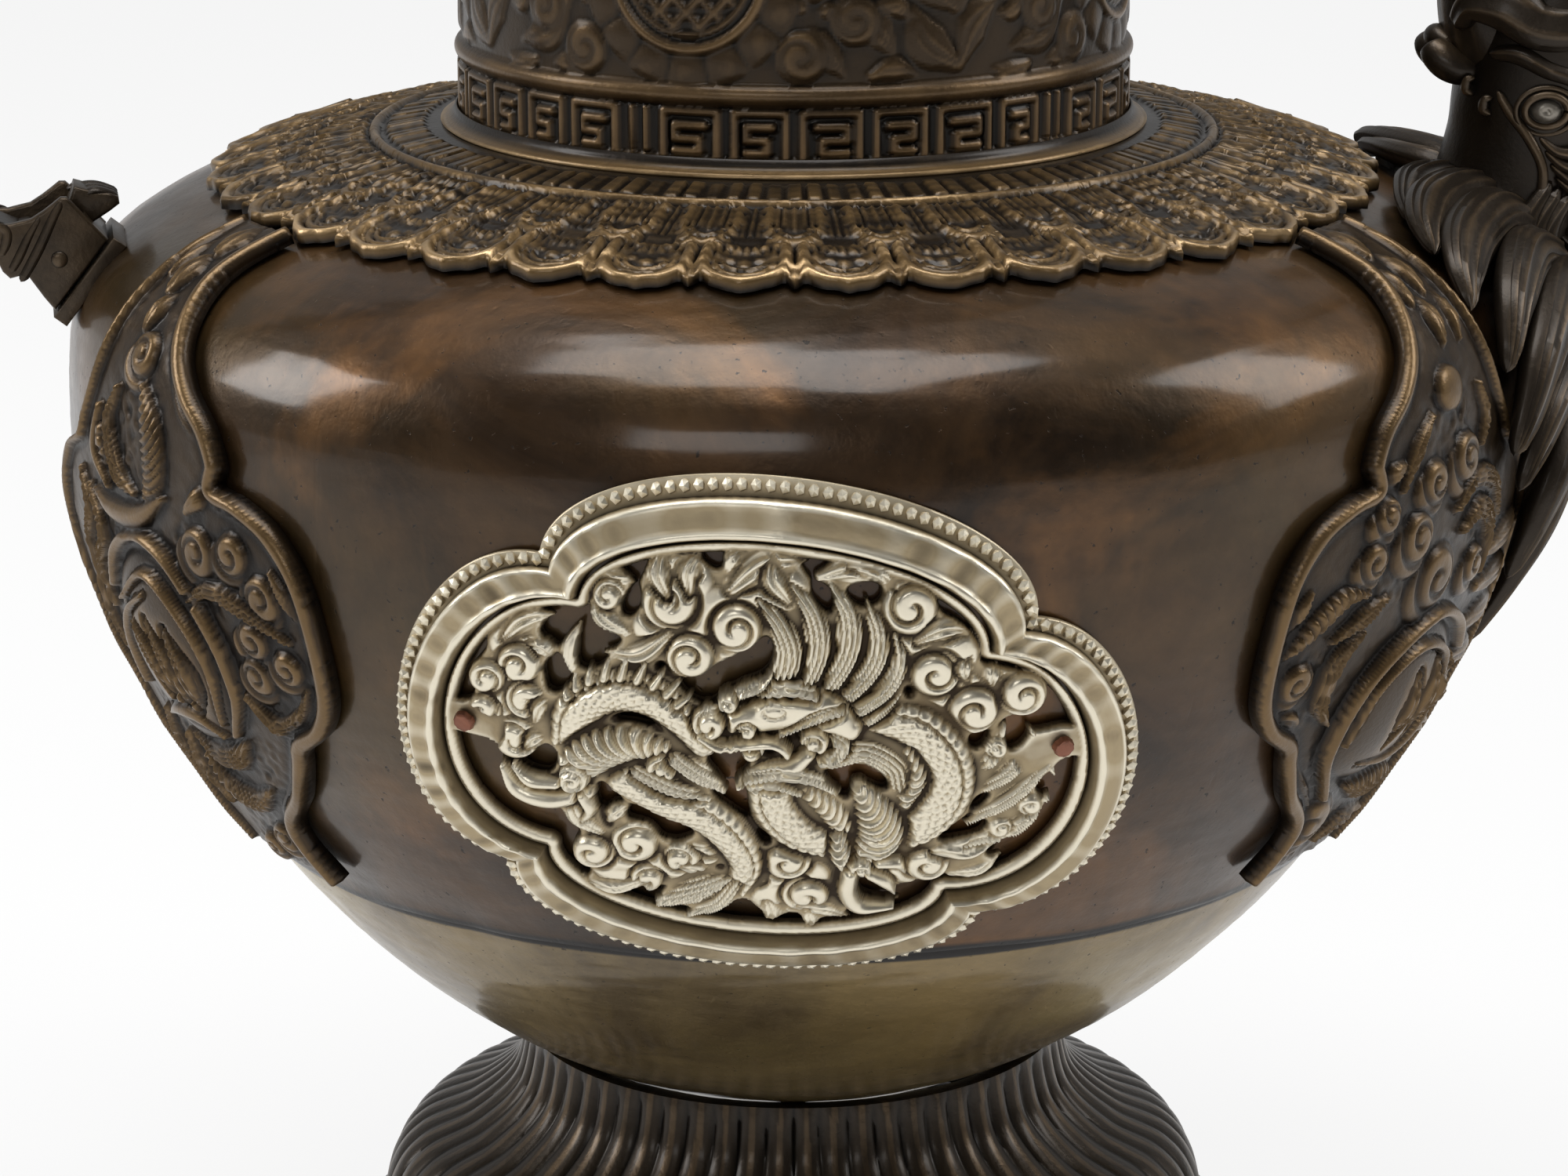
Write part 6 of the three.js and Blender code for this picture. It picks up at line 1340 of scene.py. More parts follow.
def plate_relief(step, right):
    """A plate's drawing with its stippled ground and rolled rim, its cut edge and its tones."""
    r = Relief(-39, 45, PLATE_FOOT - 1, PLATE_TOP + 1, step)
    X, Y = r.X, r.Y
    (right_plate_forms if right else left_plate_forms)(r)
    stipple = blurred(np.random.default_rng(8).normal(0, 1, X.shape), max(1, int(0.4 / step)))
    zones = smooth(np.sin(X * 0.21 + 1) * np.cos(Y * 0.17), 0.1, 0.5)
    stipple = stipple / stipple.std() * (0.03 + 0.09 * zones)
    r.H = np.where(r.H < 0.3, 0.3 + stipple, r.H * 0.8)
    long_edges = curve_points(TOWARD_PLAQUE, 1.2), curve_points(AWAY, 1.2)
    inside = polygon_distance(X, Y, np.vstack(long_edges))
    toward = smooth(X, -2, 3)
    waver = 0.5 * np.sin(X * 0.35 + Y * 0.21) + 0.4 * np.sin(X * 0.13 - Y * 0.37)
    cap = smooth(inside, 1.0 + 1.2 * toward, 3.4 + 2.2 * toward)
    low_end = 1 - 0.35 * smooth(Y, 60, 74)
    rolled = 2.1 * bump(inside, 1.35, 1.4 + 0.25 * waver) ** 0.8 + 0.5 * bump(inside, 3.4, 0.5)
    thin = 1.3 * bump(inside, 0.6, 0.65) + 0.35 * smooth(-inside, -3.2, -1.5)
    rim = (rolled * toward + thin * (1 - toward)) * (1 - 0.12 * waver)
    r.H = np.maximum(r.H * cap + 0.1, rim) * low_end
    worn = 0.2 * np.exp(-((inside - 1.7) / 0.7) ** 2) * toward
    tones = np.clip(r.tones(1.4, 0.6, 0.0) + worn + 0.12 * np.exp(-((inside - 0.8) / 0.5) ** 2), 0, 1)
    return r, np.minimum(inside, np.minimum(PLATE_TOP - Y, Y - PLATE_FOOT)), tones


def side_plates():
    """Four plates, mirrored to the back and, with other forms, to the left."""
    for right in (True, False):
        for front in (True, False):
            base, inside, tones = plate_relief(FRONT_PLATE_STEP if front else BACK_PLATE_STEP, right)
            base.H = np.minimum(1.55 + base.H, 6.2)

            def bend(px, py, lift, right=right, front=front):
                distance = PLATE_S + py
                turn = PLATE_AZIMUTH - px / outline(distance)[0]
                turn = turn if front else math.pi - turn
                return on_body(turn if right else -turn, distance, lift)
            name = f"side_plate_{'front' if front else 'back'}_{'right' if right else 'left'}"
            piece = relief_piece(f"{name}_relief", base, inside, bend, 0.45, PLATEWORK, tones,
                replaces=name, slot="worn_bronze")
            turn_outward(piece)


def turn_outward(piece):
    """A mirrored bend turns a closed piece inside out, so its faces are turned back."""
    bm = bmesh.new()
    bm.from_mesh(piece.data)
    if bm.calc_volume(signed=True) < 0:
        bmesh.ops.reverse_faces(bm, faces=bm.faces)
        bm.to_mesh(piece.data)
    bm.free()


# Cast spout: the beast's head, its mane and the pipe

def along(points, share):
    """A smooth run through points, at shares from 0 to 1."""
    p = with_ends(points)
    last = len(points) - 1
    k = np.clip((share * last).astype(int), 0, last - 1)
    return between(p[k], p[k + 1], p[k + 2], p[k + 3], (share * last - k)[:, None])


def unit(vectors):
    """Vectors cut or drawn out to a length of one."""
    return vectors / np.maximum(np.linalg.norm(vectors, axis=-1, keepdims=True), 1e-9)


def limb(bm, points, up, columns, rows, hairs=0, cut=0.2, base_tone=0.45, rounded=3.0):
    """Adds a closed form along points of (x, y, z, half width, half height). Hair lines run along its top.

    up is the way its top faces: a vector, or a function of the places along it. The top is painted lighter
    and the underside darker: painted light and shade."""
    def place(u, v):
        here = along(points, v)
        ahead = unit(along(points, np.minimum(v + 0.01, 1))[:, :3] - along(points,
            np.maximum(v - 0.01, 0))[:, :3])
        facing = up(here[:, :3]) if callable(up) else np.broadcast_to(np.array(up, float), ahead.shape)
        side = unit(np.cross(ahead, facing))
        lift = np.cross(side, ahead)
        end = np.sqrt(np.clip(np.minimum(v, 1 - v) * rows / rounded, 0, 1))[:, None]
        c, s = np.cos(u * TURN)[:, None], np.sin(u * TURN)[:, None]
        wide, tall = np.maximum(here[:, 3:4], 0.1), np.maximum(here[:, 4:5], 0.1)
        line = np.cos(hairs * math.pi * c + 0.6 * np.sin(7 * v)[:, None]) if hairs else np.zeros_like(c)
        groove = cut * (line - 1) * np.clip(s * 2, 0, 1) * np.minimum(1, wide / 2)
        place_at = here[:, :3] + (side * c * wide + lift * (s * tall + groove)) * end
        # Painted light and shade: the side that faces up is lighter and the underside darker, and the hair
        # lines show only on the top
        tone = base_tone + 0.22 * s + 0.17 * line * np.clip(s, 0, 1)
        return place_at, np.clip(tone[:, 0], 0, 1)
    shape_grid(bm, columns, rows, place)


def on_shell(points):
    """Turns (azimuth in degrees, distance, lift, half width, half height) into places on the body."""
    return [(*on_body(math.radians(turn), distance, lift), wide, tall) for turn, distance, lift, wide,
        tall in points]


def body_facing(places):
    """The way the body faces at the nearest point of its outline."""
    turn = np.arctan2(places[:, 0], -places[:, 1])
    radius = np.hypot(places[:, 0], places[:, 1])
    k = (np.hypot(radius[:, None] - OUT_R, places[:, 2:3] - OUT_Z)).argmin(1)
    nr, nz = OUT_NR[k], OUT_NZ[k]
    return round_axis(turn, nr, nz)


def away_from(x, z):
    """Faces away from an upright line through the head."""
    def facing(places):
        return unit(places - np.stack([np.full(len(places), x), np.zeros(len(places)),
            places[:, 2] * 0.75 + z * 0.25], -1))
    return facing


# Locks of the mane, as (azimuth in degrees, distance, lift, half width, half height)
MANE = [[(88, 212, 5, 3, 3), (88, 221, 5, 4, 3), (84, 227, 3.6, 4.2, 2.2), (77, 228, 2.4, 3, 1.6),
    (71, 226, 1.6, 1, 1)], [(87, 211, 6, 4, 4), (84, 219, 6, 5, 3.6), (77, 224, 4.4, 5, 2.8),
    (70, 223, 3, 4, 2), (66, 219, 1.8, 1, 1)],
    [(86, 209, 7, 4, 4), (80, 216, 6.6, 5, 3.6), (72, 217.5, 4.6, 5, 2.8), (66.5, 214.5, 3, 4, 2),
    (63.5, 209, 2, 1, 1)], [(84, 206, 8, 4, 4), (76, 210.5, 7.4, 4.6, 3.6), (69.5, 208, 5.4, 4.4, 3),
    (66.3, 203, 4.2, 3.2, 2), (64.8, 199, 3.6, 1, 1)],
    [(86, 202, 9, 5, 5), (77, 204.5, 8.4, 5.4, 4.2), (70, 199.5, 6.6, 5.2, 3.4),
    (66.8, 192.5, 5.6, 4.2, 2.4), (64.4, 186.5, 4.8, 1.2, 1.2)],
    [(88, 196, 9, 5, 5), (79, 197, 8.6, 5, 4), (72, 192, 7, 4.6, 3.2), (68.5, 186, 6, 3.4, 2.2),
    (66, 180.5, 5, 0.8, 1)], [(90, 190, 8, 6, 5), (82, 189, 8.4, 6, 4.4), (76, 181, 7, 5.4, 3.6),
    (73.5, 172, 5.6, 4, 2.6), (72, 163, 4.6, 1, 1.2)],
    [(90, 186, 8, 6, 5), (85, 182, 8, 6, 4.4), (81, 170, 6.4, 5, 3.4), (80, 158, 4.6, 3.4, 2.2),
    (79, 146, 2.6, 1, 1)],]


def head_core(bm):
    """The head's mass, its upper and lower jaw, the nostrils and the bridge between them."""
    limb(bm, [(110, 0, 178, 15, 10), (117, 0, 186, 14.6, 13), (121, 0, 198, 14.2, 13.6),
        (122.5, 0, 208, 14.4, 14), (124.5, 0, 218, 14.2, 13.8), (128, 0, 228, 13, 12),
        (131, 0, 235, 11.4, 10.6)], (1, 0, 0.01), 64, 60)
    limb(bm, [(121, 0, 208, 9, 8), (115.5, 0, 216, 9.6, 9), (112.4, 0, 226, 8.6, 7.6),
        (110.5, 0, 236, 7, 5.4), (107, 0, 243.5, 5, 3.4), (102.5, 0, 246.5, 2.6, 1.8)], (-1, 0, 0.2), 48,
        44, 9, 0.16)
    limb(bm, [(134, 0, 204, 10, 7), (141.5, 0, 214, 9, 6), (148, 0, 224, 7.4, 4.4),
        (154.5, 0, 231, 5.4, 3), (160, 0, 233.5, 2.6, 1.6)], (1, 0, -0.4), 40, 40, 7, 0.18)
    for hand in (-1, 1):
        limb(bm, [(112.5, hand * 4.4, 211, 2.6, 2.4), (108, hand * 4.8, 211.6, 3.1, 2.9),
            (105.4, hand * 4.2, 213.4, 2.9, 2.9), (104.2, hand * 2.6, 215.2, 2.2, 2.2)], (0, 0, 1), 24, 24,
            base_tone=0.55)
    limb(bm, [(107.5, -4, 214.6, 1.2, 1.4), (105.4, 0, 216, 2.2, 2.2), (107.5, 4, 214.6, 1.2, 1.4)],
        (0, 0, 1), 20, 24)


def head_side(bm, hand):
    """One side of the head, drawn for the near side and turned over for the far one."""
    out = away_from(121, 205)

    def mirrored(points):
        return [(p[0], p[1] * -hand, *p[2:]) for p in points]

    # Brow folds, ending in the curl over the knob
    limb(bm, mirrored([(107.8, -6.5, 218.2, 1.6, 1.8), (109.8, -9.2, 222.4, 3, 2.6),
        (115, -11.6, 222.6, 4.2, 3), (120, -12.8, 219.6, 4, 2.8), (126, -13, 219.4, 3.6, 2.4),
        (132, -11, 222, 1.4, 1.4)]), out, 30, 48, 8, 0.22)
    limb(bm, mirrored([(108.6, -5, 224.5, 1.2, 1.4), (112.5, -8.4, 227.8, 2.6, 2.2),
        (119, -10.2, 226.4, 3, 2.4), (126.5, -11.4, 225.4, 2.8, 2.2), (134, -10, 229.5, 1, 1.2)]), out, 30,
        44, 6, 0.2)
    limb(bm, mirrored([(112.5, -9.8, 214.6, 1, 1), (117, -12.6, 214.8, 1.6, 1.5),
        (121.6, -14, 212.6, 1.5, 1.5), (126.4, -14, 210.6, 1.3, 1.3), (129, -13, 206, 0.8, 0.9)]), out, 20,
        40, 2, 0.15)
    # Eyelid and the fold round it
    for wide, y, dip, z, tall, lid, tone in ((3.5, -14.6, 0.5, 206, 2.7, (0.62, 0.7), 0.62),
            (4.9, -14.2, 0.4, 205.9, 3.9, (0.5, 0.6), 0.55)):
        ring = [(121.6 + wide * math.cos(a), y - dip * math.sin(a), z + tall * math.sin(a),
            *lid) for a in np.linspace(0, TURN, 25)]
        limb(bm, mirrored(ring), (0, hand, 0), 12, 60, rounded=0.01, base_tone=tone)
    # Cheek ridge, folds and whiskers
    limb(bm, mirrored([(113.8, -12, 209, 0.6, 0.7), (116, -13, 205.4, 0.95, 1),
        (119, -14.2, 201.4, 0.9, 1), (121.4, -14.6, 196.3, 0.85, 0.9), (121, -14.8, 190.6, 0.85, 0.9),
        (119.4, -15, 185.6, 0.6, 0.7)]), out, 16, 44, base_tone=0.62)
    for k in range(4):
        limb(bm, mirrored([(120.6 + k, -14.2, 201.6 - 2.2 * k, 0.5, 0.5),
            (124 + k, -14.6, 199.2 - 2.3 * k, 0.9, 0.9), (129, -13.6, 199.4 - 2.9 * k, 1, 0.9),
            (134, -9.4, 202 - 3.2 * k, 0.6, 0.6)]), out, 16, 36, 2, 0.12, 0.55)
    for k in range(3):
        limb(bm, mirrored([(123 + k * 1.6, -14.2, 194.5 - k, 1, 1),
            (119.4 + k * 1.5, -16, 188 - k, 1.9, 1.9), (120.6 + k * 1.3, -17.6, 181 - k * 1.6, 2.3, 2.1),
            (125.5 + k, -17, 176 - k * 2, 2.2, 2), (131, -12.6, 175 - k * 2.4, 1, 1.1)]), out, 22, 44, 4,
            0.2)
    # Small swirls on the dark cheek
    for x, z in ((112.2, 206.6), (109.6, 209.4)):
        limb(bm, mirrored([(x + 1.2, -11 + (112 - x), z + 1, 0.3, 0.4),
            (x, -10.6 + (112 - x), z + 0.6, 0.8, 0.8), (x - 0.2, -10.4 + (112 - x), z - 1, 0.9, 0.9),
            (x + 1, -11 + (112 - x), z - 1.8, 0.4, 0.5)]), out, 14, 22, base_tone=0.6)
    for faces, fang in ((1, [(121, -6.6, 233, 1.9, 1.7), (123.5, -6.8, 237, 1.5, 1.4),
            (124.6, -6.4, 241.5, 0.4, 0.4)]), (-1,
            [(143.5, -5.6, 219, 1.8, 1.6), (141.8, -5.8, 223.5, 1.3, 1.2), (141.2, -5.4, 228, 0.4, 0.4)])):
        limb(bm, mirrored(fang), (faces, 0, 0), 16, 24, base_tone=0.6)
    # Back mane down the outer side
    for k, (x, z) in enumerate(((133, 222), (136, 213), (136.5, 203), (134, 193), (131, 184))):
        limb(bm, mirrored([(x - 5, -8, z + 3, 3, 3), (x, -9.6, z - 4, 3.8, 3.2),
            (x + 1.6, -9.4, z - 13, 3.2, 2.6), (x + 4.4 - k * 0.4, -7.6, z - 20, 0.8, 1)]), out, 26, 40, 5,
            0.22)


def spout_head():
    """The cast beast's head with its jaws round the pipe, and its mane laid over the shoulder."""
    bm = bmesh.new()
    head_core(bm)
    for hand in (-1, 1):
        head_side(bm, hand)
        for lock in MANE:
            turned = [(turn if hand > 0 else 180 - turn, *rest) for turn, *rest in lock]
            limb(bm, on_shell(turned), body_facing, 34, 46, 7, 0.26)
    for k, z in enumerate((212, 200, 189)):
        limb(bm, [(134, 0, z + 6, 4, 3), (138.4, 0, z - 1, 4.6, 3.2), (138, 0, z - 12, 4, 2.8),
            (140.4 - k, 0, z - 20, 1, 1)], (1, 0, 0), 30, 40, 6, 0.24)
    limb(bm, on_shell([(90, 190, 9, 7, 5), (90, 176, 8.6, 6.4, 4.4), (90, 160, 6, 5, 3),
        (90, 144, 3.6, 3.4, 2), (90, 132, 2, 1, 1)]), body_facing, 34, 44, 7, 0.26)
    finished(bm, "spout_head_cast", DARK, replaces="spout_root", slot="dark_bronze", sharp=50)


def head_eyes():
    """Two dished studs."""
    for hand, face in ((1, "front"), (-1, "back")):
        def place(u, v, hand=hand):
            turn, rise = u * TURN, (v - 0.5) * math.pi
            x, y, z = np.cos(rise) * np.cos(turn), np.sin(rise), np.cos(rise) * np.sin(turn)
            dish = 0.25 * np.exp(-(x ** 2 + z ** 2) / 0.05) * (y < 0)
            return (np.stack([121.6 + 2.7 * x, hand * (-13.6 + 2.1 * (y + dish)), 206 + 2.1 * z], -1),
                0.45 - 0.3 * y)
        wrapped(f"spout_eye_{face}_ball", 32, 20, place, GREY, replaces=f"spout_eye_{face}", slot="silver")


def spout_route(share):
    """Places along the spout's channel in its upright plane, their heading, and the channel's length."""
    radius, z, nr, nz = outline(distance_at(SPOUT_ROOT_Z))
    tip = (SPOUT_TIP_X - LIP_RADIUS * math.sin(SPOUT_LEAN), SPOUT_TIP_Z)

    def back(length):
        return tip[0] - math.cos(SPOUT_LEAN) * length, tip[1] - math.sin(SPOUT_LEAN) * length
    knots = [(radius - nr * 4.8, z - nz * 4.8), (radius + nr * 2.8, z + nz * 2.8),
        (radius + nr * 14, z + nz * 14), (radius + 14, 215.9), (radius + 20.3, 237.6), back(29.4),
        back(11.9), tip]
    line = curve_points(knots, 1.0)
    length = run_lengths(line)
    return (*walked(line, share * length[-1], 0.5), length[-1])


def round_spout(u, share, radius, past=0.0):
    """Places round the spout's channel, past millimetres further on."""
    x, z, dx, dz, _ = spout_route(share)
    turn = u * TURN
    c, s = np.cos(turn) * radius, np.sin(turn) * radius
    return np.stack([x + dx * past - dz * c, s, z + dz * past + dx * c], -1)


def spout_pipe():
    """The hollow pipe with two ringed bands, and the moulded lip on its end."""
    def place(u, v):
        share, radius = stations(v, (0, 0, PIPE_RADIUS), (0.55, 0.94, PIPE_RADIUS), (0.6, 1, PIPE_RADIUS),
            (0.63, 1, PIPE_BORE), (0.995, 0, PIPE_BORE), (1, 0, PIPE_RADIUS))
        length = spout_route(np.zeros(1))[-1]
        at = share * length
        band = 0.0
        for knot in (length - 44, length - 20):
            band = band + 0.9 * bump(at, knot, 1.8) + 0.5 * bump(at, knot - 3.2, 1) + 0.5 * bump(at,
                knot + 3.2, 1)
        hammered = 0.06 * wave_noise(u, at / 30, 51, 10, 2, 9)
        outer = radius > 6
        return round_spout(u, share, radius + np.where(outer, band - 0.1 + hammered * 0.6,
            0)), np.where(outer, 0.45 + 0.35 * np.clip(band, 0, 1), 0.1)
    wrapped("spout_pipe_drawn", 64, 220, place, DARK, replaces="spout_tube", slot="dark_bronze", sharp=50)

    def lip(u, v):
        radius, past, tone = stations(v, (0, 7.7, -5, 0.4), (0.12, 8.5, -5, 0.6), (0.3, 9.1, -3.8, 0.8),
            (0.45, 8.5, -2.6, 0.4), (0.6, 9.2, -1.6, 0.8), (0.75, 9.3, -0.4, 0.9), (0.82, 8.9, 0, 0.8),
            (0.97, 7.7, 0, 0.5), (1, 7.7, -5, 0.4))
        return round_spout(u, np.ones(len(u)), radius, past), tone
    wrapped("spout_lip_turned", 64, 40, lip, DARK, replaces="spout_lip", slot="dark_bronze", sharp=50)


# Handle

def side_form(name, outlines, material, round_over=0.6, segments=3, **rest):
    """Flat forms cut to an outline of (x, z), each from one y to another, with rounded edges."""
    bm = bmesh.new()
    tone = bm.verts.layers.float.new("tone")
    for points, low, high in outlines:
        before = set(bm.verts)
        face = bm.faces.new([bm.verts.new((x * MM, low * MM, z * MM)) for x, z in points])
        made = bmesh.ops.extrude_face_region(bm, geom=[face])["geom"]
        moved = [item for item in made if isinstance(item, bmesh.types.BMVert)]
        bmesh.ops.translate(bm, verts=moved, vec=(0, (high - low) * MM, 0))
        fresh = [vert for vert in bm.verts if vert not in before]
        faces = list({face for vert in fresh for face in vert.link_faces})
        bmesh.ops.recalc_face_normals(bm, faces=faces)
        rims = [edge for edge in {edge for vert in fresh for edge in vert.link_edges}
            if abs(edge.verts[0].co.y - edge.verts[1].co.y) < 1e-7]
        ridge = bmesh.ops.bevel(bm, geom=rims, offset=round_over * MM, segments=segments, profile=0.5,
            affect="EDGES", material=-1, clamp_overlap=True)
        for vert in fresh:
            if vert.is_valid:
                vert[tone] = 0.42
        for vert in ridge["verts"]:
            vert[tone] = 0.72
    bmesh.ops.triangulate(bm, faces=[face for face in bm.faces if len(face.verts) > 4])
    return finished(bm, name, material, **rest)


HANDLE_SWING = math.radians(9)
HANDLE_TILT = math.radians(38)
HANDLE_ROOT_Z = 180.3
SOCKET_FOOT = 1.7
SOCKET_TOP = 10.5
SOCKET_HALF = 7.2
HANDLE_NECK_Z = (UPPER_BAND_Z + NECK_TOP_Z) / 2
SLEEVE_X = -57


def socket_place(rise, along_body):
    """(x, z) in the handle's own upright plane, from the root's seat on the body."""
    radius, z, _, _ = outline(distance_at(HANDLE_ROOT_Z))
    out, up = (-math.cos(HANDLE_TILT), math.sin(HANDLE_TILT)), (math.sin(HANDLE_TILT),
        math.cos(HANDLE_TILT))
    return (float(-radius + out[0] * rise + up[0] * along_body),
        float(z + out[1] * rise + up[1] * along_body))


def swing(piece):
    """Turns a handle piece, drawn in the upright plane on the left, round the pot's axis."""
    piece.data.transform(Matrix.Rotation(HANDLE_SWING, 4, "Z"))
    piece.data.update()


def placed(*points):
    """Outline points of the socket, given as (rise, along the body)."""
    return [socket_place(rise, along_body) for rise, along_body in points]


def socket_chasing(bm):
    """The rolled lines on both cheeks, and three ribs down the curling leaf."""
    low, high, top = -SOCKET_HALF, SOCKET_HALF, SOCKET_TOP

    def spot(rise, along_body, y, wide, tall):
        x, z = socket_place(rise, along_body)
        return x, y, z, wide, tall
    rolls = [[(top - 1.6, low + 0.6, 0.8, 0.3), (top - 1.2, low + 4, 0.9, 0.5),
        (top - 0.6, 0.4, 0.9, 0.55), (top + 0.4, high - 2.2, 0.8, 0.5), (top + 0.8, high + 0.7, 0.6, 0.3)],
        [(top + 0.6, low + 0.8, 0.7, 0.3), (top + 1, low + 3.8, 0.8, 0.5), (top + 1.7, 0.2, 0.7, 0.4),
        (top + 2.1, high - 3.2, 0.4, 0.2)], [(top + 3.4, low + 2, 0.6, 0.3),
        (top + 4, low + 4.4, 0.9, 0.5), (top + 5.2, low + 6, 0.8, 0.4), (top + 7.4, low + 5.4, 0.7, 0.3)]]
    for hand in (-1, 1):
        for roll in rolls:
            limb(bm, [spot(rise, far, hand * 7.9, wide, tall) for rise, far, wide, tall in roll],
                (0, hand, 0), 16, 40, base_tone=0.5)
    for k in (-1, 0, 1):
        limb(bm, [spot(top - 0.7 + k * 0.9, high + 1.4, k * 2.4, 1.2, 0.8),
            spot(top - 3, high + 4.4, k * 2.5, 1.3, 0.9), spot(top - 6.6, high + 6, k * 1.9, 0.9, 0.6)],
            (0.6, 0, 1), 16, 30, base_tone=0.45)


def handle_socket():
    """The box that holds the strap's foot, with ogee cheeks and a curling leaf."""
    low, high, top = -SOCKET_HALF, SOCKET_HALF, SOCKET_TOP
    cheek = placed((1.7, low), (4.4, low + 0.7), (top - 2.4, low + 1.9), (top - 1.2, low + 1.5),
        (top, low), (top + 1.6, low + 0.2), (top + 3.3, low + 1.1), (top + 5.4, low + 1),
        (top + 7.4, low + 2.8), (top + 8.3, low + 5.1), (top + 6.8, low + 5.9), (top + 5.3, low + 7),
        (top + 4, low + 8.6), (top + 3, high - 4.6), (top + 2.2, high - 2.4), (top + 1.7, high - 0.6),
        (top + 1.3, high + 1), (top + 0.5, high + 1.6), (top - 0.5, high + 1.5), (4.9, high + 0.5),
        (1.7, high))
    low_wall = placed((1.75, low + 0.1), (4.4, low + 0.8), (top - 2.4, low + 2), (top - 1.2, low + 1.6),
        (top + 3, low + 1.2), (top + 3, low + 2.6), (top - 1.2, low + 3.4), (1.75, low + 2.8))
    high_wall = placed((1.75, high - 0.1), (4.9, high + 0.4), (top - 3.4, high + 1),
        (top - 3.9, high - 0.6), (4.9, high - 2), (1.75, high - 2.2))
    floor = placed((1.8, low + 2), (4.1, low + 2), (4.1, high - 2), (1.8, high - 2))
    leaf = placed((top + 0.2, high + 3.2), (top - 1.6, high + 3.9), (top - 3.4, high + 4.6),
        (top - 5, high + 5.6), (top - 6.5, high + 6), (top - 7.4, high + 5.2), (top - 6.9, high + 3.4),
        (top - 6.2, high + 1.4), (5, high - 0.4), (4.6, high - 1.8), (top - 2.6, high - 1.2),
        (top - 0.7, high + 0.4))
    piece = side_form("handle_root_cast", [(cheek, -8, -5.9), (cheek, 5.9, 8), (low_wall, -7.7, 7.7),
        (high_wall, -7.7, 7.7), (floor, -7.6, 7.6), (leaf, -3.8, 3.8)], DARK, 0.55, replaces="handle_root",
        slot="dark_bronze", sharp=40)
    bm = bmesh.new()
    bm.from_mesh(piece.data)
    socket_chasing(bm)
    bm.to_mesh(piece.data)
    bm.free()
    swing(piece)


def handle_base():
    """The plate under the socket."""
    low, high = -SOCKET_HALF, SOCKET_HALF
    base = placed((-1.2, low - 0.9), (1.35, low - 0.9), (1.35, high + 0.9), (-1.2, high + 0.9))
    swing(side_form("handle_base_plate", [(base, -8.9, 8.9)], DARK, 0.3, 2, replaces="handle_flange",
        slot="dark_bronze", sharp=40))


def handle_strap():
    """The channelled strap, from the socket out and up to the neck."""
    at = socket_place
    end = SLEEVE_X - 1.8
    reach, rise = HANDLE_FAR_X + 3.2, HANDLE_TOP_Z - HANDLE_ROOT_Z
    run = end - reach
    shares = (0.08, 0.245), (0, 0.49), (0.08, 0.755), (0.36, 0.962), (0.66, 1)
    loop = [(reach + run * across, HANDLE_ROOT_Z + rise * up) for across, up in shares]
    knots = [at(5, 0), at(SOCKET_TOP, -0.9), at(17.5, -4.3), *loop, (end - 14.3, HANDLE_NECK_Z),
        (end, HANDLE_NECK_Z)]
    line = curve_points(knots, 0.8)

    def place(u, v):
        share, close = stations(v, (0, 0, 0), (0.004, 0, 1), (0.996, 1, 1), (1, 1, 0))
        x, z, dx, dz = walked(line, share * run_lengths(line)[-1], 0.6)
        swell = np.minimum(1, np.minimum(share / 0.07, (1 - share) / 0.05))
        wide = 5.4 + 2.5 * smooth(swell, 0.45, 1)
        across, tall, tone = stations(u, (0, -0.7, -1, 0.3), (0.2, 0.7, -1, 0.3),
            (0.25, 0.93, -0.75, 0.45), (0.32, 1, 0.1, 0.55), (0.37, 1, 0.85, 0.85), (0.4, 0.93, 1, 0.95),
            (0.43, 0.84, 0.85, 0.8), (0.48, 0.74, 0.3, 0.35), (0.54, 0.5, 0.08, 0.3),
            (0.64, 0, -0.02, 0.42), (0.74, -0.5, 0.08, 0.3), (0.8, -0.74, 0.3, 0.35),
            (0.85, -0.84, 0.85, 0.8), (0.88, -0.93, 1, 0.95), (0.91, -1, 0.85, 0.85),
            (0.95, -1, 0.1, 0.55), (0.98, -0.93, -0.75, 0.45), (1, -0.7, -1, 0.3))
        thick = 3.1 * (0.84 + 0.16 * swell) * close
        rise_here = -tall * thick
        y = across * wide * close + 0.1 * wave_noise(share, u, 61, 8, 2, 7) * (np.abs(across) < 0.9)
        return np.stack([x + dz * rise_here, y, z - dx * rise_here], -1), tone
    swing(wrapped("handle_strap_channelled", 72, 260, place, DARK, replaces="handle_strap",
        slot="dark_bronze", sharp=60))


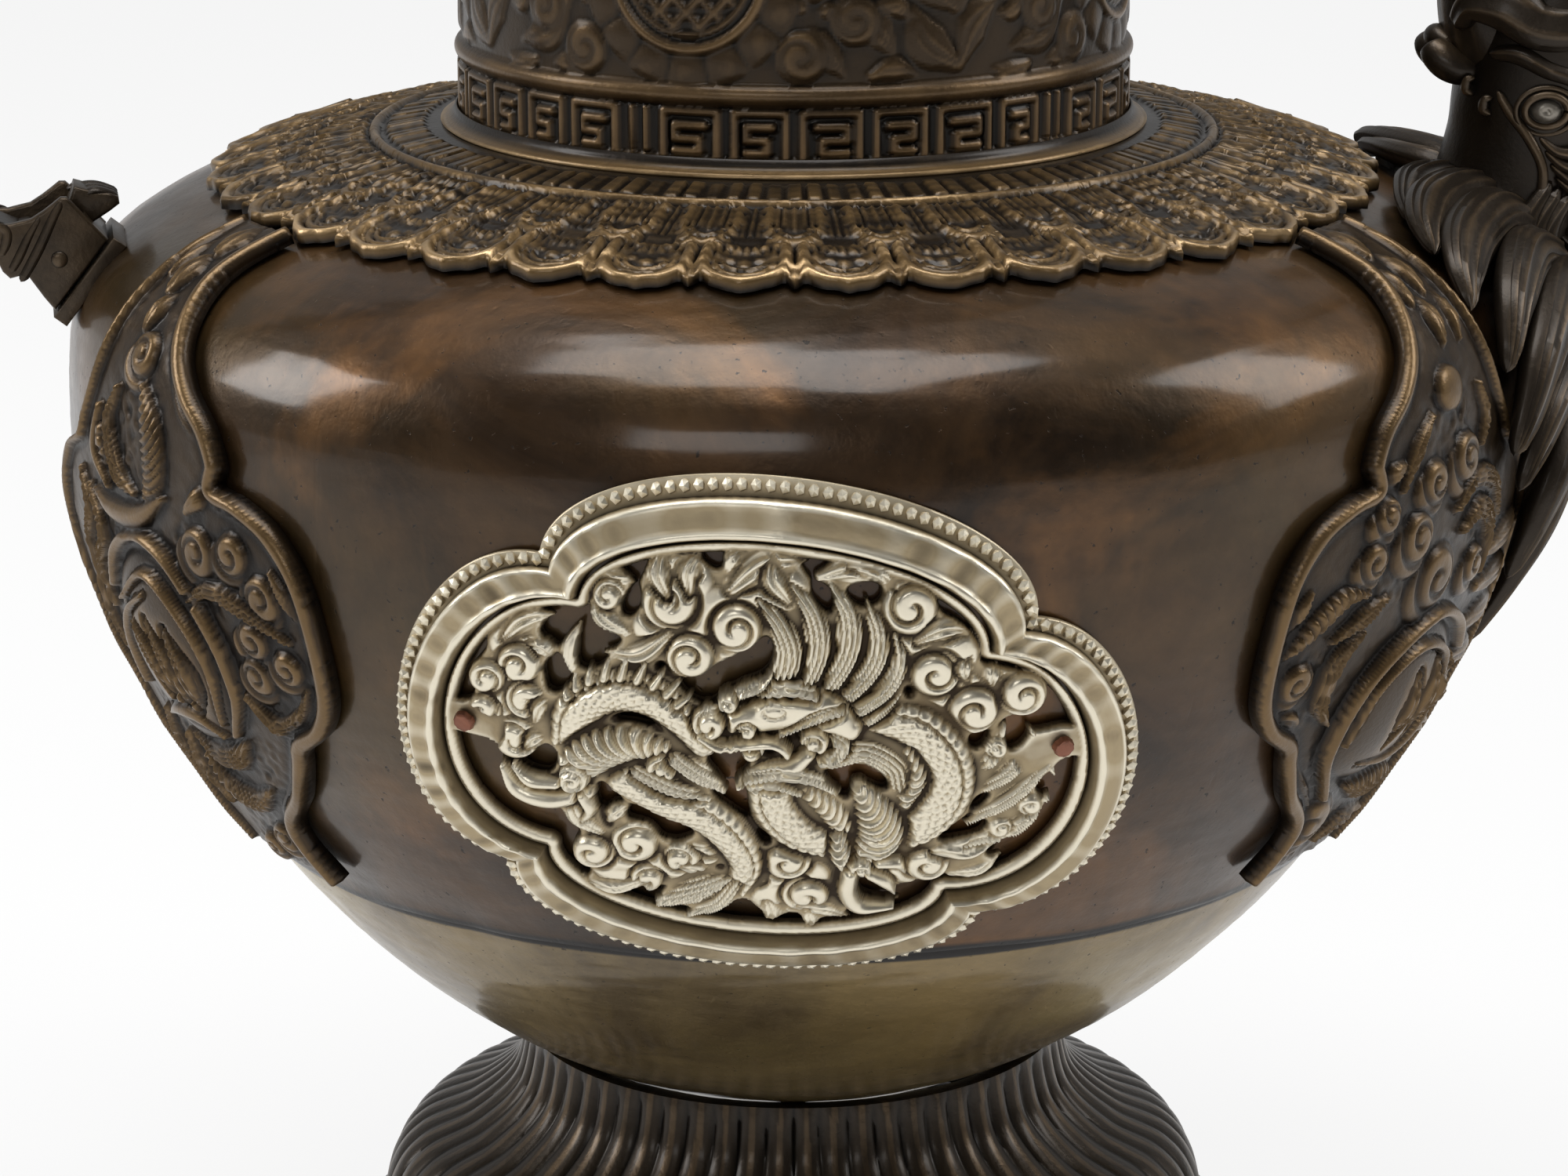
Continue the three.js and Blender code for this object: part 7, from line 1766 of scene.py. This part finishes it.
def handle_top():
    """The neck's socket and plate, and the cross pins of both sockets."""
    z, half = HANDLE_NECK_Z, 5.7
    outer, inner = SLEEVE_X - 13, SLEEVE_X
    wall = [(inner, z + 3.6), (inner, z + half), (outer - 0.8, z + half), (outer - 0.8, z + 3.6)]
    under = [(x, 2 * z - height) for x, height in wall]
    back = [(inner, z - 4), (inner, z + 4), (inner - 1.5, z + 4), (inner - 1.5, z - 4)]
    cheek = [(inner, z - half), (outer, z - half), (outer - 0.8, z - half + 1),
        (outer - 0.8, z + half - 1), (outer, z + half), (inner, z + half)]
    swing(side_form("handle_neck_socket", [(cheek, -8, -5.9), (cheek, 5.9, 8), (wall, -7.8, 7.8),
        (under, -7.8, 7.8), (back, -7.6, 7.6)], DARK, 0.5, replaces="handle_neck_sleeve",
        slot="dark_bronze", sharp=40))

    def pad(u, v):
        across, close = stations(v, (0, -1, 0), (0.03, -1, 1), (0.97, 1, 1), (1, 1, 0))
        lift, up, tone = stations(u, (0, 0.1, -1, 0.3), (0.1, 1.5, -1, 0.5), (0.16, 2, -0.93, 0.8),
            (0.5, 2, 0, 0.45), (0.84, 2, 0.93, 0.8), (0.9, 1.5, 1, 0.5), (0.96, 0.1, 1, 0.3),
            (1, 0.1, -1, 0.3))
        ogee = 1 - 0.14 * np.abs(across) ** 3
        turn = across * 9.8 / 56
        radius = NECK_OPENING + 0.2 + (lift - 0.2) * close
        return np.stack([-radius * np.cos(turn), -radius * np.sin(turn), z + up * 7 * ogee * close],
            -1), tone
    swing(wrapped("handle_neck_plate", 48, 40, pad, DARK, replaces="handle_neck_pad", slot="dark_bronze",
        sharp=50))

    root_x, root_z = socket_place(SOCKET_FOOT + 4.4, 0)
    for name, x, height in (("handle_root_pin", root_x, root_z), ("handle_neck_pin", SLEEVE_X - 7.15, z)):
        def pin(u, v, x=x, height=height):
            y, radius, tone = stations(v, (0, -8.75, 0, 0.8), (0.08, -8.6, 0.9, 0.8),
                (0.16, -8.3, 1.35, 0.6), (0.2, -7.8, 1.38, 0.3), (0.8, 7.8, 1.38, 0.3),
                (0.84, 8.3, 1.35, 0.6), (0.92, 8.6, 0.9, 0.8), (1, 8.75, 0, 0.8))
            turn = u * TURN
            return np.stack([x + radius * np.cos(turn), y, height + radius * np.sin(turn)], -1), tone
        swing(wrapped(name + "_head", 24, 40, pin, RED if name.endswith("neck_pin") else DARK,
            replaces=name, slot="red_copper"))


upper_shell()
lower_bowl()
shoulder_collar()
neck_shell()
plain_rings()
lid_rings()
lid_dome()
lid_finial()
foot_pieces()
for face in ("front", "back"):
    plaque_frame(face)
    plaque_beads(face)
    plaque_panel(face)
    plaque_rivets(face)
side_plates()
spout_head()
head_eyes()
spout_pipe()
handle_socket()
handle_base()
handle_strap()
handle_top()


# Floor, light and camera

CAMERA_RISE = math.radians(15.46)
CAMERA_DISTANCE = 0.8268
SENSOR_WIDTH = 36
PHOTO_WIDTH = 2000
FOCAL_PIXELS = 6239


def pale_floor():
    """A pale floor that the camera and the metal see as white, and that still takes the shadow."""
    f = Finish("pale_floor")
    f.give(Base_Color=(0.86, 0.86, 0.86), Roughness=0.9)
    path = f.node("LightPath", output="Is Camera Ray")
    glossy = f.node("LightPath", output="Is Glossy Ray")
    through = f.node("LightPath", output="Is Transmission Ray")
    glow = f.node("Emission", inputs={"Color": (1, 1, 1), "Strength": 1.0})
    mix = f.node("MixShader", inputs={0: (path * 0.86 + glossy * 0.6 + through * 0.6).clipped(),
        1: Wire(f, f.shader.outputs[0]), 2: glow})
    f.tree.links.new(mix.socket, f.tree.nodes["Material Output"].inputs["Surface"])
    bm = bmesh.new()
    bmesh.ops.create_grid(bm, x_segments=1, y_segments=1, size=5)
    mesh = bpy.data.meshes.new("floor")
    bm.to_mesh(mesh)
    bm.free()
    floor = bpy.data.objects.new("floor", mesh)
    mesh.materials.append(f.material)
    bpy.context.scene.collection.objects.link(floor)


def studio_world():
    """White to the camera, and dim in front and brighter behind for the metal to mirror."""
    world = bpy.data.worlds.new("studio")
    bpy.context.scene.world = world
    world.use_nodes = True
    nodes, links = world.node_tree.nodes, world.node_tree.links
    paths = nodes.new("ShaderNodeLightPath")
    around = nodes.new("ShaderNodeTexCoord")
    split = nodes.new("ShaderNodeSeparateXYZ")
    links.new(around.outputs["Generated"], split.inputs[0])
    behind = nodes.new("ShaderNodeMapRange")
    behind.interpolation_type = "SMOOTHSTEP"
    for key, value in (("From Min", -0.5), ("From Max", 0.8), ("To Min", 0.06), ("To Max", 0.36)):
        behind.inputs[key].default_value = value
    links.new(split.outputs["Y"], behind.inputs["Value"])
    seen = nodes.new("ShaderNodeMix")
    links.new(behind.outputs["Result"], seen.inputs[2])
    seen.inputs[3].default_value = 1.0
    links.new(paths.outputs["Is Camera Ray"], seen.inputs[0])
    links.new(seen.outputs[0], nodes["Background"].inputs["Strength"])
    nodes["Background"].inputs["Color"].default_value = (1, 1, 1, 1)


def lamp(name, place, aim, width, depth, power):
    """A soft rectangular panel, in metres and watts."""
    light = bpy.data.lights.new(name, "AREA")
    light.shape = "RECTANGLE"
    light.size, light.size_y, light.energy = width, depth, power
    holder = bpy.data.objects.new(name, light)
    bpy.context.scene.collection.objects.link(holder)
    holder.location = place
    holder.rotation_euler = (Vector(aim) - Vector(place)).to_track_quat("-Z", "Y").to_euler()


pale_floor()
studio_world()
lamp("overhead_middle", (-0.04, -0.08, 1.35), (0, 0, 0.18), 0.9, 0.66, 11)
lamp("panel_left", (-1.35, -0.02, 0.85), (0, 0, 0.18), 0.5, 0.7, 10)
lamp("panel_right", (1.2, -0.05, 0.98), (0, 0, 0.18), 0.5, 0.8, 7.5)
lamp("front_fill", (-0.4, -1.9, 1.1), (0, 0, 0.15), 0.9, 0.5, 5)

scene = bpy.context.scene
scene.view_settings.view_transform = "Standard"
camera_data = bpy.data.cameras.new("camera")
camera_data.sensor_width = SENSOR_WIDTH
camera_data.lens = FOCAL_PIXELS * SENSOR_WIDTH / PHOTO_WIDTH
camera_data.clip_end = 20
camera = bpy.data.objects.new("camera", camera_data)
aim = Vector((-0.0016, 0, 0.122))
camera.location = aim + CAMERA_DISTANCE * Vector((0, -math.cos(CAMERA_RISE), math.sin(CAMERA_RISE)))
camera.rotation_euler = (aim - camera.location).to_track_quat("-Z", "Y").to_euler()
scene.collection.objects.link(camera)
scene.camera = camera
